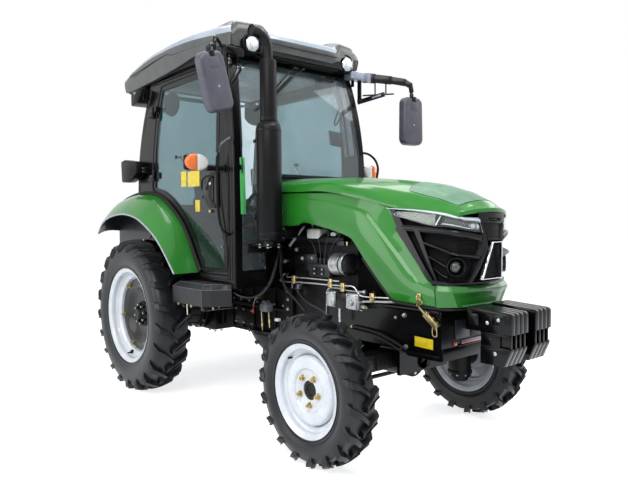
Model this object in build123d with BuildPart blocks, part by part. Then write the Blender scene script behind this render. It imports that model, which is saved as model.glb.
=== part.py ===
from build123d import *

import os
from math import hypot

os.makedirs("parts", exist_ok=True)

# A compact four-wheel-drive tractor with a cab, in millimetres.
# +X is forward, +Y is the tractor's left, +Z is up, and z = 0 is the ground.
# Places along the tractor are measured forward from the rear axle.
# Pieces that come in pairs are drawn on the left and mirrored to the right.

# ---- overall sizes
WHEELBASE = 1861
FRONT_REACH = 2640  # rear axle to the front of the weights
REAR_REACH = 860  # rear axle to the ends of the lower links
AXLE_X = (REAR_REACH - FRONT_REACH) / 2  # puts the origin under the middle

# ---- wheels
REAR_TRACK = 1286
REAR_RADIUS = 525
REAR_TYRE_WIDTH = 244
REAR_RIM_WIDTH = 210
REAR_SEAT_R = 305
REAR_WELL_R = 268
FRONT_RADIUS = 364
FRONT_TYRE_WIDTH = 166
FRONT_RIM_WIDTH = 140
FRONT_SEAT_R = 205
FRONT_WELL_R = 181
FLANGE_HEIGHT = 20  # rim flange above the bead seat
RIM_WALL = 8
TYRE_WALL = 22

# ---- axles and steering
KINGPIN_Y = 530
WHEEL_OFFSET = 89  # kingpin to the middle of the front tyre
HUB_OFFSET = 82  # kingpin to the inner face of the front hub
KNUCKLE_R = 66
KNUCKLE_LOW_Z = 236
KNUCKLE_TOP_Z = 440
KINGPIN_R = 22
BEAM_DEPTH = 100
BEAM_LOW_Z = 396
BEAM_TOP_Z = 480
BEAM_END_Z = 500
AXLE_PIVOT_Z = 430
AXLE_PIVOT_R = 40
FRONT_DIFF_R = 94
STEER_ARM = 128  # kingpin to tie-rod pin
TIE_ROD_Z = 307
TIE_ROD_R = 12
TIE_PIN_R = 9
STUB_R = 28
REAR_SHAFT_R = 35
RUNNING_FIT = 0.05  # radial clearance of pins and shafts
OPEN_FIT = 2  # radial clearance where a linkage is opened
AIR = 6  # gap between pieces that move past each other

# ---- chassis
RAIL_Y = 200  # outer face of the front side rails
RAIL_WALL = 12
RAIL_LOW_Z = 500
RAIL_TOP_Z = 750
RAIL_REAR_X = 1500
RAIL_FRONT_X = 2290
WEIGHT_COUNT = 4  # on each side
WEIGHT_PLATE = 33
WEIGHT_PITCH = 35
WEIGHT_FIRST_Y = 47
BELL_FRONT_X = 1150
ENGINE_FRONT_X = 1700

# ---- cab
CAB_HALF = 535  # half width at the waist
CAB_WALL = 45
CAB_LEAN = 42  # how far each side leans in at the top
CAB_FRONT_X = 1058
CAB_REAR_X = -250
FLOOR_Z = 800
FLOOR_WALL = 25
WAIST_Z = 1488
CAB_TOP_Z = 2185
GLASS = 6
GLASS_INSET = 6  # door glass below the outer face
DOOR_WALL = 26
DOOR_BORDER = 34
DOOR_GAP = 6
DOOR_HINGE_X = 30
DOOR_HINGE_Y = 545
WHEEL_WALL_Y = CAB_HALF - 35  # outer face of the walls beside the rear wheels
ROOF_LOW_Z = 2236
ROOF_EDGE_Z = 2305  # where the roof's side turns in
ROOF_DECK_Z = 2353  # rim of the roof's crown
ROOF_TOP_Z = 2388

# ---- hood
HOOD_REAR_X = 1084
HOOD_HINGE_X = 1096
HOOD_HINGE_Z = 1405
HOOD_WALL = 10
HINGE_PIN_R = 6  # door and hood hinges
EXHAUST_X = 1210
EXHAUST_Y = -400

# ---- rear hitch
LINK_PIVOT_X = -90
LINK_PIVOT_Z = REAR_RADIUS - 125
LINK_EYE_BOSS_R = 27
LINK_END_X = LINK_EYE_BOSS_R - REAR_REACH
LINK_END_Y = 345
LINK_END_Z = LINK_PIVOT_Z + 20
LINK_EYE_R = 11.2
LINK_WALL = 18
LIFT_SHAFT_X = -300
LIFT_SHAFT_Z = REAR_RADIUS + 195
LIFT_ARM = 230
LIFT_ARM_DROP = 20  # arm tip below the rockshaft at rest
LIFT_SHAFT_R = 26
TOP_PIN_X = -385
TOP_PIN_Z = REAR_RADIUS + 115
TOP_LINK_R = 9.65
TOP_LINK_LENGTH = 420
PTO_R = 17.45
HOUSING_LOW_Z = REAR_RADIUS - 140
PTO_Z = REAR_RADIUS - 20


def side(y):
    """Plane at y, drawn with x forward from the rear axle and z up."""
    return Plane(origin=(AXLE_X, y, 0), x_dir=(1, 0, 0), z_dir=(0, -1, 0))


def cross(x):
    """Plane at x forward of the rear axle, drawn with y and z; faces forward."""
    return Plane(origin=(AXLE_X + x, 0, 0), x_dir=(0, 1, 0), z_dir=(1, 0, 0))


def deck(z):
    """Level plane at z, drawn with x forward from the rear axle and y."""
    return Plane(origin=(AXLE_X, 0, z))


def at(x, y, z):
    """A place given forward of the rear axle, as a model point."""
    return (AXLE_X + x, y, z)


def block(x, y, z):
    """Add a box from its x, y and z ranges."""
    with BuildSketch(deck(z[0])) as base:
        with Locations(((x[0] + x[1]) / 2, (y[0] + y[1]) / 2)):
            Rectangle(x[1] - x[0], y[1] - y[0])
    extrude(base.sketch, amount=z[1] - z[0])


def rod_y(x, z, r, y, mode=Mode.ADD):
    """Add a round bar along y from its centre, radius and y range."""
    with BuildSketch(side(y[1])) as end:
        with Locations((x, z)):
            Circle(r)
    extrude(end.sketch, amount=y[1] - y[0], mode=mode)


def rod_x(y, z, r, x, mode=Mode.ADD):
    """Add a round bar along x."""
    with BuildSketch(cross(x[0])) as end:
        with Locations((y, z)):
            Circle(r)
    extrude(end.sketch, amount=x[1] - x[0], mode=mode)


def rod_z(x, y, r, z, mode=Mode.ADD):
    """Add an upright round bar."""
    with BuildSketch(deck(z[0])) as end:
        with Locations((x, y)):
            Circle(r)
    extrude(end.sketch, amount=z[1] - z[0], mode=mode)


def write(piece, name):
    piece.part.label = name
    export_step(piece.part, f"parts/{name}.step")


def write_pair(piece, name):
    """Write a left-hand piece and its mirrored right-hand twin."""
    write(piece, f"{name}_left")
    with BuildPart() as twin:
        mirror(piece.part, about=Plane.XZ)
    write(twin, f"{name}_right")


# ---- wheels: pressed rims and hollow tyres


def rim_face(middle, axle_z, half, seat, well):
    """Half section of a drop-centre rim of one wall thickness."""
    flange = seat + FLANGE_HEIGHT
    ledge = half * 0.5
    floor = half * 0.3
    outline = [
        (-half, flange),
        (-half + RIM_WALL, flange),
        (-half + RIM_WALL, seat),
        (-ledge, seat),
        (-floor, well),
        (floor, well),
        (ledge, seat),
        (half - RIM_WALL, seat),
        (half - RIM_WALL, flange),
        (half, flange),
        (half, seat - RIM_WALL),
        (ledge + RIM_WALL, seat - RIM_WALL),
        (floor + RIM_WALL, well - RIM_WALL),
        (-floor - RIM_WALL, well - RIM_WALL),
        (-ledge - RIM_WALL, seat - RIM_WALL),
        (-half, seat - RIM_WALL),
    ]
    with BuildSketch() as face:
        with BuildLine():
            Polyline([(middle + y, axle_z + r) for y, r in outline], close=True)
        make_face()
    return face.sketch


def tyre_face(middle, axle_z, half, rim_half, seat, radius):
    """Half section of a tyre casing that sits inside the rim's flanges."""
    bead = rim_half - RIM_WALL
    lip = seat + FLANGE_HEIGHT
    bulge = lip + 0.38 * (radius - lip)
    shoulder = radius - 0.16 * (radius - lip)
    tread = 0.9 * half

    def place(y, r):
        return (middle + y, axle_z + r)

    with BuildSketch() as face:
        with BuildLine():
            Line(place(-bead, seat), place(-bead, lip))
            ThreePointArc(place(-bead, lip), place(-half, bulge), place(-tread, shoulder))
            Line(place(-tread, shoulder), place(-tread, radius - 12))
            ThreePointArc(place(-tread, radius - 12), place(0, radius), place(tread, radius - 12))
            Line(place(tread, radius - 12), place(tread, shoulder))
            ThreePointArc(place(tread, shoulder), place(half, bulge), place(bead, lip))
            Line(place(bead, lip), place(bead, seat))
            Line(place(bead, seat), place(bead - TYRE_WALL, seat))
            inside = place(bead - TYRE_WALL, seat)
            inner_top = radius - 2.2 * TYRE_WALL
            reach = tread - TYRE_WALL
            ThreePointArc(inside, place(half - TYRE_WALL, bulge), place(reach, inner_top))
            ThreePointArc(place(reach, inner_top), place(0, inner_top + 10), place(-reach, inner_top))
            outside = place(TYRE_WALL - bead, seat)
            ThreePointArc(place(-reach, inner_top), place(TYRE_WALL - half, bulge), outside)
            Line(outside, place(-bead, seat))
        make_face()
    return face.sketch


rear_y = REAR_TRACK / 2
rear_half = REAR_RIM_WIDTH / 2
rear_spin = Axis(at(0, 0, REAR_RADIUS), (0, 1, 0))
front_y = KINGPIN_Y + WHEEL_OFFSET
front_half = FRONT_RIM_WIDTH / 2
front_spin = Axis(at(WHEELBASE, 0, FRONT_RADIUS), (0, 1, 0))

with BuildPart() as rear_tyre:
    with BuildSketch(cross(0)):
        half_width = REAR_TYRE_WIDTH / 2
        add(tyre_face(rear_y, REAR_RADIUS, half_width, rear_half, REAR_SEAT_R, REAR_RADIUS))
    revolve(axis=rear_spin)
write_pair(rear_tyre, "rear_tyre")

with BuildPart() as rear_rim:
    with BuildSketch(cross(0)):
        add(rim_face(rear_y, REAR_RADIUS, rear_half, REAR_SEAT_R, REAR_WELL_R))
    revolve(axis=rear_spin)
write_pair(rear_rim, "rear_rim")

# The rear disc is dished inwards; its hub carries the axle shaft.
REAR_HUB_Y = 525  # inner face of the hub
REAR_HUB_R = 84
REAR_SHAFT_LENGTH = 90
rear_disc_r = REAR_WELL_R - RIM_WALL
disc_y = rear_y + 12
with BuildPart() as rear_disc:
    with BuildSketch(cross(0)):
        with BuildLine():
            Polyline(
                [
                    (disc_y, REAR_RADIUS + rear_disc_r),
                    (disc_y + 10, REAR_RADIUS + rear_disc_r),
                    (disc_y + 10, REAR_RADIUS + 190),
                    (disc_y - 18, REAR_RADIUS + 140),
                    (disc_y - 18, REAR_RADIUS + 60),
                    (disc_y - 28, REAR_RADIUS + 60),
                    (disc_y - 28, REAR_RADIUS + 146),
                    (disc_y, REAR_RADIUS + 196),
                ],
                close=True,
            )
        make_face()
    revolve(axis=rear_spin)
    rod_y(0, REAR_RADIUS, REAR_HUB_R, (REAR_HUB_Y, disc_y - 10))
    rod_y(0, REAR_RADIUS, 52, (disc_y - 12, disc_y + 22))
    rod_y(0, REAR_RADIUS, REAR_SHAFT_R, (REAR_HUB_Y - REAR_SHAFT_LENGTH, REAR_HUB_Y + 2))
write_pair(rear_disc, "rear_disc")

with BuildPart() as front_tyre:
    with BuildSketch(cross(WHEELBASE)):
        half_width = FRONT_TYRE_WIDTH / 2
        add(tyre_face(front_y, FRONT_RADIUS, half_width, front_half, FRONT_SEAT_R, FRONT_RADIUS))
    revolve(axis=front_spin)
write_pair(front_tyre, "front_tyre")

# The front rim, its welded disc and the hub flange turn as one piece.
FRONT_HUB_Y = KINGPIN_Y + HUB_OFFSET
front_disc_y = front_y + 23
front_disc_r = FRONT_WELL_R - RIM_WALL
with BuildPart() as front_rim:
    with BuildSketch(cross(WHEELBASE)):
        add(rim_face(front_y, FRONT_RADIUS, front_half, FRONT_SEAT_R, FRONT_WELL_R))
    revolve(axis=front_spin)
    with BuildSketch(cross(WHEELBASE)):
        with BuildLine():
            Polyline(
                [
                    (front_disc_y + 10, FRONT_RADIUS + 40),
                    (front_disc_y + 10, FRONT_RADIUS + 104),
                    (front_disc_y - 18, FRONT_RADIUS + 140),
                    (front_disc_y - 18, FRONT_RADIUS + front_disc_r + 2),
                    (front_disc_y - 26, FRONT_RADIUS + front_disc_r + 2),
                    (front_disc_y - 26, FRONT_RADIUS + 136),
                    (front_disc_y + 2, FRONT_RADIUS + 100),
                    (front_disc_y + 2, FRONT_RADIUS + 40),
                ],
                close=True,
            )
        make_face()
    revolve(axis=front_spin)
    rod_y(WHEELBASE, FRONT_RADIUS, 90, (FRONT_HUB_Y, front_disc_y + 3))
    rod_y(WHEELBASE, FRONT_RADIUS, 42, (FRONT_HUB_Y, front_disc_y + 22))
    rod_y(WHEELBASE, FRONT_RADIUS, STUB_R, (FRONT_HUB_Y - 50, FRONT_HUB_Y + 2))
write_pair(front_rim, "front_rim")

# ---- front axle: beam, steered knuckles and tie rod

with BuildPart() as front_axle_beam:
    depth = (WHEELBASE - BEAM_DEPTH / 2, WHEELBASE + BEAM_DEPTH / 2)
    beam_end = KINGPIN_Y - KNUCKLE_R - AIR - 4
    block(depth, (-beam_end, beam_end), (BEAM_LOW_Z, BEAM_TOP_Z))
    cap_low = KNUCKLE_TOP_Z + AIR
    for s in (1, -1):
        block(depth, sorted((s * (beam_end - 40), s * KINGPIN_Y)), (cap_low, BEAM_END_Z))
        rod_z(WHEELBASE, s * KINGPIN_Y, BEAM_DEPTH / 2, (cap_low, BEAM_END_Z))
        pin_hole = KINGPIN_R + RUNNING_FIT
        rod_z(WHEELBASE, s * KINGPIN_Y, pin_hole, (cap_low, BEAM_END_Z), Mode.SUBTRACT)
    diff = (WHEELBASE - FRONT_DIFF_R, WHEELBASE + FRONT_DIFF_R)
    rod_x(0, AXLE_PIVOT_Z, FRONT_DIFF_R, diff)
    rod_x(0, AXLE_PIVOT_Z, AXLE_PIVOT_R, (diff[0] - 66, diff[1] + 66))
write(front_axle_beam, "front_axle_beam")

with BuildPart() as knuckle:
    with BuildSketch(deck(KNUCKLE_LOW_Z)):
        with Locations((WHEELBASE, KINGPIN_Y)):
            Circle(KNUCKLE_R)
    extrude(amount=KNUCKLE_TOP_Z - KNUCKLE_LOW_Z)
    rod_z(WHEELBASE, KINGPIN_Y, KINGPIN_R, (KNUCKLE_TOP_Z - 2, BEAM_END_Z - 4))
    boss = (KINGPIN_Y, FRONT_HUB_Y - 5)
    rod_y(WHEELBASE, FRONT_RADIUS, 74, boss)
    hub_hole = (FRONT_HUB_Y - 52, FRONT_HUB_Y)
    rod_y(WHEELBASE, FRONT_RADIUS, STUB_R + RUNNING_FIT, hub_hole, Mode.SUBTRACT)
    arm_low = TIE_ROD_Z + TIE_ROD_R + 4
    arm_x = WHEELBASE - STEER_ARM
    block((arm_x, WHEELBASE - KNUCKLE_R + 8), (KINGPIN_Y - 15, KINGPIN_Y + 15), (arm_low, arm_low + 20))
    rod_z(arm_x, KINGPIN_Y, 18, (arm_low, arm_low + 20))
    rod_z(arm_x, KINGPIN_Y, TIE_PIN_R, (TIE_ROD_Z - TIE_ROD_R - 4, arm_low + 2))
write_pair(knuckle, "knuckle")

with BuildPart() as tie_rod:
    rod_y(arm_x, TIE_ROD_Z, TIE_ROD_R, (14 - KINGPIN_Y, KINGPIN_Y - 14))
    for s, fit in ((-1, RUNNING_FIT), (1, OPEN_FIT)):
        eye = (TIE_ROD_Z - TIE_ROD_R - 1, TIE_ROD_Z + TIE_ROD_R + 1)
        rod_z(arm_x, s * KINGPIN_Y, 19, eye)
        rod_z(arm_x, s * KINGPIN_Y, TIE_PIN_R + fit, eye, Mode.SUBTRACT)
write(tie_rod, "tie_rod")

# ---- front frame: two rails, axle hangers, front plate and weight rail

RAIL_ARCH_Z = 530
FRONT_PLATE = 12
WEIGHT_RAIL_X = (2436, 2480)
WEIGHT_RAIL_Z = (702, 748)
with BuildPart() as front_frame:
    for s in (1, -1):
        with BuildSketch(side(s * RAIL_Y if s > 0 else -RAIL_Y + RAIL_WALL)):
            with BuildLine():
                Polyline(
                    [
                        (RAIL_REAR_X, 610),
                        (1660, RAIL_ARCH_Z),
                        (2040, RAIL_ARCH_Z),
                        (2080, RAIL_LOW_Z),
                        (RAIL_FRONT_X, RAIL_LOW_Z),
                        (RAIL_FRONT_X, RAIL_TOP_Z),
                        (RAIL_REAR_X, 727),
                    ],
                    close=True,
                )
            make_face()
        extrude(amount=RAIL_WALL)
    inner = RAIL_Y - RAIL_WALL
    for x in (diff[0] - 66, diff[1] + 46):
        block((x, x + 20), (-inner - 2, inner + 2), (384, 560))
        pivot_hole = AXLE_PIVOT_R + RUNNING_FIT
        rod_x(0, AXLE_PIVOT_Z, pivot_hole, (x, x + 20), Mode.SUBTRACT)
    front = (RAIL_FRONT_X, RAIL_FRONT_X + FRONT_PLATE)
    block(front, (-RAIL_Y - 15, RAIL_Y + 15), (RAIL_LOW_Z + 6, RAIL_TOP_Z - 6))
    block((front[1], WEIGHT_RAIL_X[0]), (-26, 26), (640, WEIGHT_RAIL_Z[1]))
    weights_half = WEIGHT_FIRST_Y + WEIGHT_COUNT * WEIGHT_PITCH - 10
    block(WEIGHT_RAIL_X, (-weights_half, weights_half), WEIGHT_RAIL_Z)
write(front_frame, "front_frame")

# Each weight is a cast plate that hooks over the weight rail.
HOOK = 26
with BuildPart() as front_weights:
    for s in (1, -1):
        for i in range(WEIGHT_COUNT):
            y = s * (WEIGHT_FIRST_Y + i * WEIGHT_PITCH)
            with BuildSketch(side(y + WEIGHT_PLATE / 2)):
                with BuildLine():
                    Polyline(
                        [
                            (WEIGHT_RAIL_X[1] + 2, 526),
                            (FRONT_REACH - 35, 526),
                            (FRONT_REACH - 8, 606),
                            (FRONT_REACH - 8, 660),
                            (FRONT_REACH, 668),
                            (FRONT_REACH, 752),
                            (FRONT_REACH - 14, 766),
                            (WEIGHT_RAIL_X[0] - HOOK, 776),
                            (WEIGHT_RAIL_X[0] - HOOK, 712),
                            (WEIGHT_RAIL_X[0] - 2, 712),
                            (WEIGHT_RAIL_X[0] - 2, WEIGHT_RAIL_Z[1] + 1),
                            (WEIGHT_RAIL_X[1] + 2, WEIGHT_RAIL_Z[1] + 1),
                        ],
                        close=True,
                    )
                make_face()
            extrude(amount=WEIGHT_PLATE)
write(front_weights, "front_weights")

# ---- driveline castings

with BuildPart() as engine_block:
    block((BELL_FRONT_X, ENGINE_FRONT_X), (-165, 165), (560, 1060))
    block((BELL_FRONT_X + 40, ENGINE_FRONT_X - 60), (-110, 110), (482, 562))
    block((BELL_FRONT_X + 40, ENGINE_FRONT_X - 40), (-115, 115), (1058, 1150))
    mount_face = RAIL_Y - RAIL_WALL
    block((RAIL_REAR_X + 10, RAIL_REAR_X + 110), (-mount_face, mount_face), (620, 710))
write(engine_block, "engine_block")

with BuildPart() as radiator:
    block((1960, 2040), (-212, 212), (RAIL_TOP_Z, 1165))
    rod_x(0, 960, 180, (1880, 1962))
write(radiator, "radiator")

TRANS_Y = 150
TRANS_REAR_X = 232
TRANS_LOW_Z = 425
TRANS_TOP_Z = 740
with BuildPart() as transmission_case:
    block((1060, BELL_FRONT_X), (-188, 188), (480, 760))
    block((TRANS_REAR_X, 1062), (-TRANS_Y, TRANS_Y), (TRANS_LOW_Z, TRANS_TOP_Z))
    block((560, 1062), (-66, 66), (386, 430))
write(transmission_case, "transmission_case")

with BuildPart() as front_drive_shaft:
    rod_x(0, AXLE_PIVOT_Z, 30, (1062, diff[0] - 66))
    rod_x(0, AXLE_PIVOT_Z, 42, (1062, 1100))
write(front_drive_shaft, "front_drive_shaft")

axle_end = REAR_HUB_Y - 5
with BuildPart() as rear_axle_housing:
    block((-225, TRANS_REAR_X), (-175, 175), (HOUSING_LOW_Z, REAR_RADIUS + 210))
    rod_y(0, REAR_RADIUS, 150, (-188, 188))
    rod_y(0, REAR_RADIUS, 82, (-axle_end, axle_end))
    for s in (1, -1):
        bore = sorted((s * (axle_end - REAR_SHAFT_LENGTH), s * axle_end))
        rod_y(0, REAR_RADIUS, REAR_SHAFT_R + RUNNING_FIT, bore, Mode.SUBTRACT)
    # hydraulic lift housing with the rockshaft bore, and the top link bracket
    block((-345, -223), (-128, 128), (REAR_RADIUS + 75, LIFT_SHAFT_Z + 45))
    rod_y(LIFT_SHAFT_X, LIFT_SHAFT_Z, LIFT_SHAFT_R + RUNNING_FIT, (-130, 130), Mode.SUBTRACT)
    for s in (1, -1):
        ear = sorted((s * 26, s * 40))
        block((TOP_PIN_X - 26, -340), ear, (TOP_PIN_Z - 28, TOP_PIN_Z + 28))
        rod_y(TOP_PIN_X, TOP_PIN_Z, TOP_LINK_R, ear)
        # lower link trunnion
        trunnion = sorted((s * 170, s * 222))
        rod_y(LINK_PIVOT_X, LINK_PIVOT_Z, 16, trunnion)
    rod_y(TOP_PIN_X, TOP_PIN_Z, TOP_LINK_R, (-40, 40))
write(rear_axle_housing, "rear_axle_housing")

with BuildPart() as pto_shaft:
    rod_x(0, PTO_Z, PTO_R, (-305, -225))
write(pto_shaft, "pto_shaft")

DRAWBAR_HOLE_X = -520
DRAWBAR_HOLE_R = 13
with BuildPart() as drawbar:
    bar = (HOUSING_LOW_Z - 55, HOUSING_LOW_Z - 23)
    block((DRAWBAR_HOLE_X - 35, -40), (-32, 32), bar)
    block((-200, -60), (-60, 60), (HOUSING_LOW_Z - 25, HOUSING_LOW_Z))
    rod_z(DRAWBAR_HOLE_X, 0, DRAWBAR_HOLE_R, bar, Mode.SUBTRACT)
write(drawbar, "drawbar")

# ---- three-point hitch

LIFT_ROD_X = LIFT_SHAFT_X - LIFT_ARM
LIFT_TIP_Z = LIFT_SHAFT_Z - LIFT_ARM_DROP
ARM_Y = 215  # middle of each lift arm
ARM_WALL = 20
with BuildPart() as lift_arms:
    rod_y(LIFT_SHAFT_X, LIFT_SHAFT_Z, LIFT_SHAFT_R, (-ARM_Y - 10, ARM_Y + 10))
    for s in (1, -1):
        with BuildSketch(side(s * ARM_Y + ARM_WALL / 2)):
            with BuildLine():
                Polyline(
                    [
                        (LIFT_SHAFT_X + 10, LIFT_SHAFT_Z + 38),
                        (LIFT_SHAFT_X + 10, LIFT_SHAFT_Z - 38),
                        (LIFT_ROD_X, LIFT_TIP_Z - 20),
                        (LIFT_ROD_X, LIFT_TIP_Z + 20),
                    ],
                    close=True,
                )
            make_face()
            with Locations((LIFT_SHAFT_X, LIFT_SHAFT_Z)):
                Circle(42)
            with Locations((LIFT_ROD_X, LIFT_TIP_Z)):
                Circle(20)
        extrude(amount=ARM_WALL)
        tip_pin = sorted((s * (ARM_Y + ARM_WALL / 2 - 2), s * (ARM_Y + ARM_WALL / 2 + 20)))
        rod_y(LIFT_ROD_X, LIFT_TIP_Z, 8, tip_pin)
write(lift_arms, "lift_arms")

# Each lower link is a flat bar that spreads outwards to its eye.
link_start_y = 205
reach = LINK_PIVOT_X - LINK_END_X
with BuildPart() as lower_links:
    for s in (1, -1):
        with BuildSketch(deck(LINK_PIVOT_Z - 22)):
            with BuildLine():
                half = LINK_WALL / 2
                Polyline(
                    [
                        (LINK_PIVOT_X, s * (link_start_y - half)),
                        (LINK_PIVOT_X, s * (link_start_y + half)),
                        (LINK_PIVOT_X - 90, s * (link_start_y + half)),
                        (LINK_END_X + 90, s * (LINK_END_Y + half)),
                        (LINK_END_X, s * (LINK_END_Y + half)),
                        (LINK_END_X, s * (LINK_END_Y - half)),
                        (LINK_END_X + 90, s * (LINK_END_Y - half)),
                        (LINK_PIVOT_X - 90, s * (link_start_y - half)),
                    ],
                    close=True,
                )
            make_face()
        extrude(amount=44 + LINK_END_Z - LINK_PIVOT_Z)
        face = sorted((s * (link_start_y - half), s * (link_start_y + half)))
        eye = sorted((s * (LINK_END_Y - half), s * (LINK_END_Y + half)))
        rod_y(LINK_PIVOT_X, LINK_PIVOT_Z, 30, face)
        rod_y(LINK_END_X, LINK_END_Z, LINK_EYE_BOSS_R, eye)
        rod_y(LINK_PIVOT_X, LINK_PIVOT_Z, 16 + RUNNING_FIT, face, Mode.SUBTRACT)
        rod_y(LINK_END_X, LINK_END_Z, LINK_EYE_R, eye, Mode.SUBTRACT)
write(lower_links, "lower_links")

# The lift rods hang from the arms; each fork ends just outside its link.
ROD_Y = ARM_Y + ARM_WALL / 2 + 14
link_slope = (LINK_END_Y - link_start_y) / (reach - 180)
link_y_at_rod = link_start_y + link_slope * (LINK_PIVOT_X - 90 - LIFT_ROD_X)
with BuildPart() as lift_rods:
    for s in (1, -1):
        top_eye = sorted((s * (ROD_Y - 10), s * (ROD_Y + 10)))
        foot_y = link_y_at_rod + LINK_WALL + 18
        path_top = at(LIFT_ROD_X, s * ROD_Y, LIFT_TIP_Z - 14)
        path_low = at(LIFT_ROD_X, s * foot_y, LINK_PIVOT_Z + 48)
        axis_dir = (0, path_low[1] - path_top[1], path_low[2] - path_top[2])
        with BuildSketch(Plane(origin=path_top, x_dir=(1, 0, 0), z_dir=axis_dir)):
            Circle(13)
        extrude(amount=hypot(axis_dir[1], axis_dir[2]))
        foot = sorted((s * (foot_y - 7), s * (foot_y + 7)))
        block((LIFT_ROD_X - 18, LIFT_ROD_X + 18), foot, (LINK_PIVOT_Z - 14, LINK_PIVOT_Z + 56))
        rod_y(LIFT_ROD_X, LIFT_TIP_Z, 20, top_eye)
        rod_y(LIFT_ROD_X, LIFT_TIP_Z, 8 + RUNNING_FIT, top_eye, Mode.SUBTRACT)
write(lift_rods, "lift_rods")

top_end_x = TOP_PIN_X - TOP_LINK_LENGTH
with BuildPart() as top_link:
    rod_x(0, TOP_PIN_Z, 15, (top_end_x + 16, TOP_PIN_X - 16))
    for x, hole in ((TOP_PIN_X, TOP_LINK_R + RUNNING_FIT), (top_end_x, TOP_LINK_R)):
        rod_y(x, TOP_PIN_Z, 24, (-20, 20))
        rod_y(x, TOP_PIN_Z, hole, (-20, 20), Mode.SUBTRACT)
write(top_link, "top_link")

# ---- rear fenders: three cross sections from the cab out to the lip

FENDER_WALL = 8
FENDER_SEAL = 6  # rubber-filled gap between fender and cab
# columns: y, then (x, z) of tail, tail bend, crown start, crown, crown end,
# front bend and front foot
FENDER_SECTIONS = [
    (
        WHEEL_WALL_Y,
        *((-690, 1110), (-610, 1262), (-430, 1336), (-150, 1366)),
        *((130, 1332), (430, 1150), (640, 852)),
    ),
    (
        640,
        *((-640, 1110), (-560, 1232), (-400, 1305), (-140, 1338)),
        *((140, 1300), (430, 1126), (652, 852)),
    ),
    (
        725,
        *((-560, 1090), (-475, 1170), (-330, 1216), (-100, 1236)),
        *((150, 1196), (425, 1062), (656, 852)),
    ),
]


def thinned(point):
    """The same place one wall nearer the rear axle."""
    x, z = point
    length = hypot(x, z - REAR_RADIUS)
    keep = 1 - FENDER_WALL / length
    return (x * keep, REAR_RADIUS + (z - REAR_RADIUS) * keep)


def fender_face(points):
    """One fender section: three arcs out and the same three back."""
    inner = [thinned(p) for p in points]
    with BuildSketch() as face:
        with BuildLine():
            ThreePointArc(points[0], points[1], points[2])
            ThreePointArc(points[2], points[3], points[4])
            ThreePointArc(points[4], points[5], points[6])
            Line(points[6], inner[6])
            ThreePointArc(inner[6], inner[5], inner[4])
            ThreePointArc(inner[4], inner[3], inner[2])
            ThreePointArc(inner[2], inner[1], inner[0])
            Line(inner[0], points[0])
        make_face()
    return face.sketch


def under_fender(grow):
    """Face below the fender's edge at the cab, grown by a gap."""
    y, *points = FENDER_SECTIONS[0]
    with BuildSketch() as face:
        with BuildLine():
            ThreePointArc(points[0], points[1], points[2])
            ThreePointArc(points[2], points[3], points[4])
            ThreePointArc(points[4], points[5], points[6])
            Polyline([points[6], (points[6][0], 300), (points[0][0], 300), points[0]])
        make_face()
        if grow:
            offset(amount=grow, kind=Kind.INTERSECTION)
    return face.sketch


with BuildPart() as fender:
    for y, *points in FENDER_SECTIONS:
        with BuildSketch(side(y)):
            add(fender_face(points))
    loft(ruled=True)
write_pair(fender, "fender")

# ---- step boxes beside the cab

STEP_Y = CAB_HALF + 3  # inner face of the boxes
with BuildPart() as step_box:
    for z, edge in ((668, 0), (768, 0), (798, 34)):
        with BuildSketch(deck(z)):
            with BuildLine():
                Polyline(
                    [
                        (545 + edge, STEP_Y),
                        (545 + edge, 680 - edge),
                        (905 - edge, 680 - edge),
                        (950 - edge, 640 - edge),
                        (1010, STEP_Y),
                    ],
                    close=True,
                )
            make_face()
    loft(ruled=True)
write_pair(step_box, "step_box")

# ---- cab shell: every side piece is one curved band cut by its outline


def cab_band(outer, inner):
    """Section of the cab's side, from outer to inner depth below its face."""
    skin, back = CAB_HALF - outer, CAB_HALF - inner
    low = FLOOR_Z - FLOOR_WALL - 20
    lean_mid = CAB_LEAN / 4
    middle_z = (WAIST_Z + CAB_TOP_Z) / 2
    with BuildSketch() as face:
        with BuildLine():
            Line((skin, low), (skin, WAIST_Z))
            ThreePointArc(
                (skin, WAIST_Z), (skin - lean_mid, middle_z), (skin - CAB_LEAN, CAB_TOP_Z)
            )
            Line((skin - CAB_LEAN, CAB_TOP_Z), (back - CAB_LEAN, CAB_TOP_Z))
            ThreePointArc(
                (back - CAB_LEAN, CAB_TOP_Z), (back - lean_mid, middle_z), (back, WAIST_Z)
            )
            Polyline([(back, WAIST_Z), (back, low), (skin, low)])
        make_face()
    return face.sketch


def cab_inside(gap):
    """Cross section of the space between the two cab sides, less a gap."""
    low_y = CAB_HALF - CAB_WALL - gap
    top_y = low_y - CAB_LEAN
    mid_y = low_y - CAB_LEAN / 4
    middle_z = (WAIST_Z + CAB_TOP_Z) / 2
    with BuildSketch() as face:
        with BuildLine():
            Line((low_y, 600), (low_y, WAIST_Z))
            ThreePointArc((low_y, WAIST_Z), (mid_y, middle_z), (top_y, CAB_TOP_Z))
            Line((top_y, CAB_TOP_Z), (-top_y, CAB_TOP_Z))
            ThreePointArc((-top_y, CAB_TOP_Z), (-mid_y, middle_z), (-low_y, WAIST_Z))
            Polyline([(-low_y, WAIST_Z), (-low_y, 600), (low_y, 600)])
        make_face()
    return face.sketch


FRONT_RAKE = 112  # how far the windscreen leans back at the top
REAR_RAKE = 170
REAR_BEND_Z = 1376
SILL_Z = 846
DOOR_TOP_Z = 2132


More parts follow.
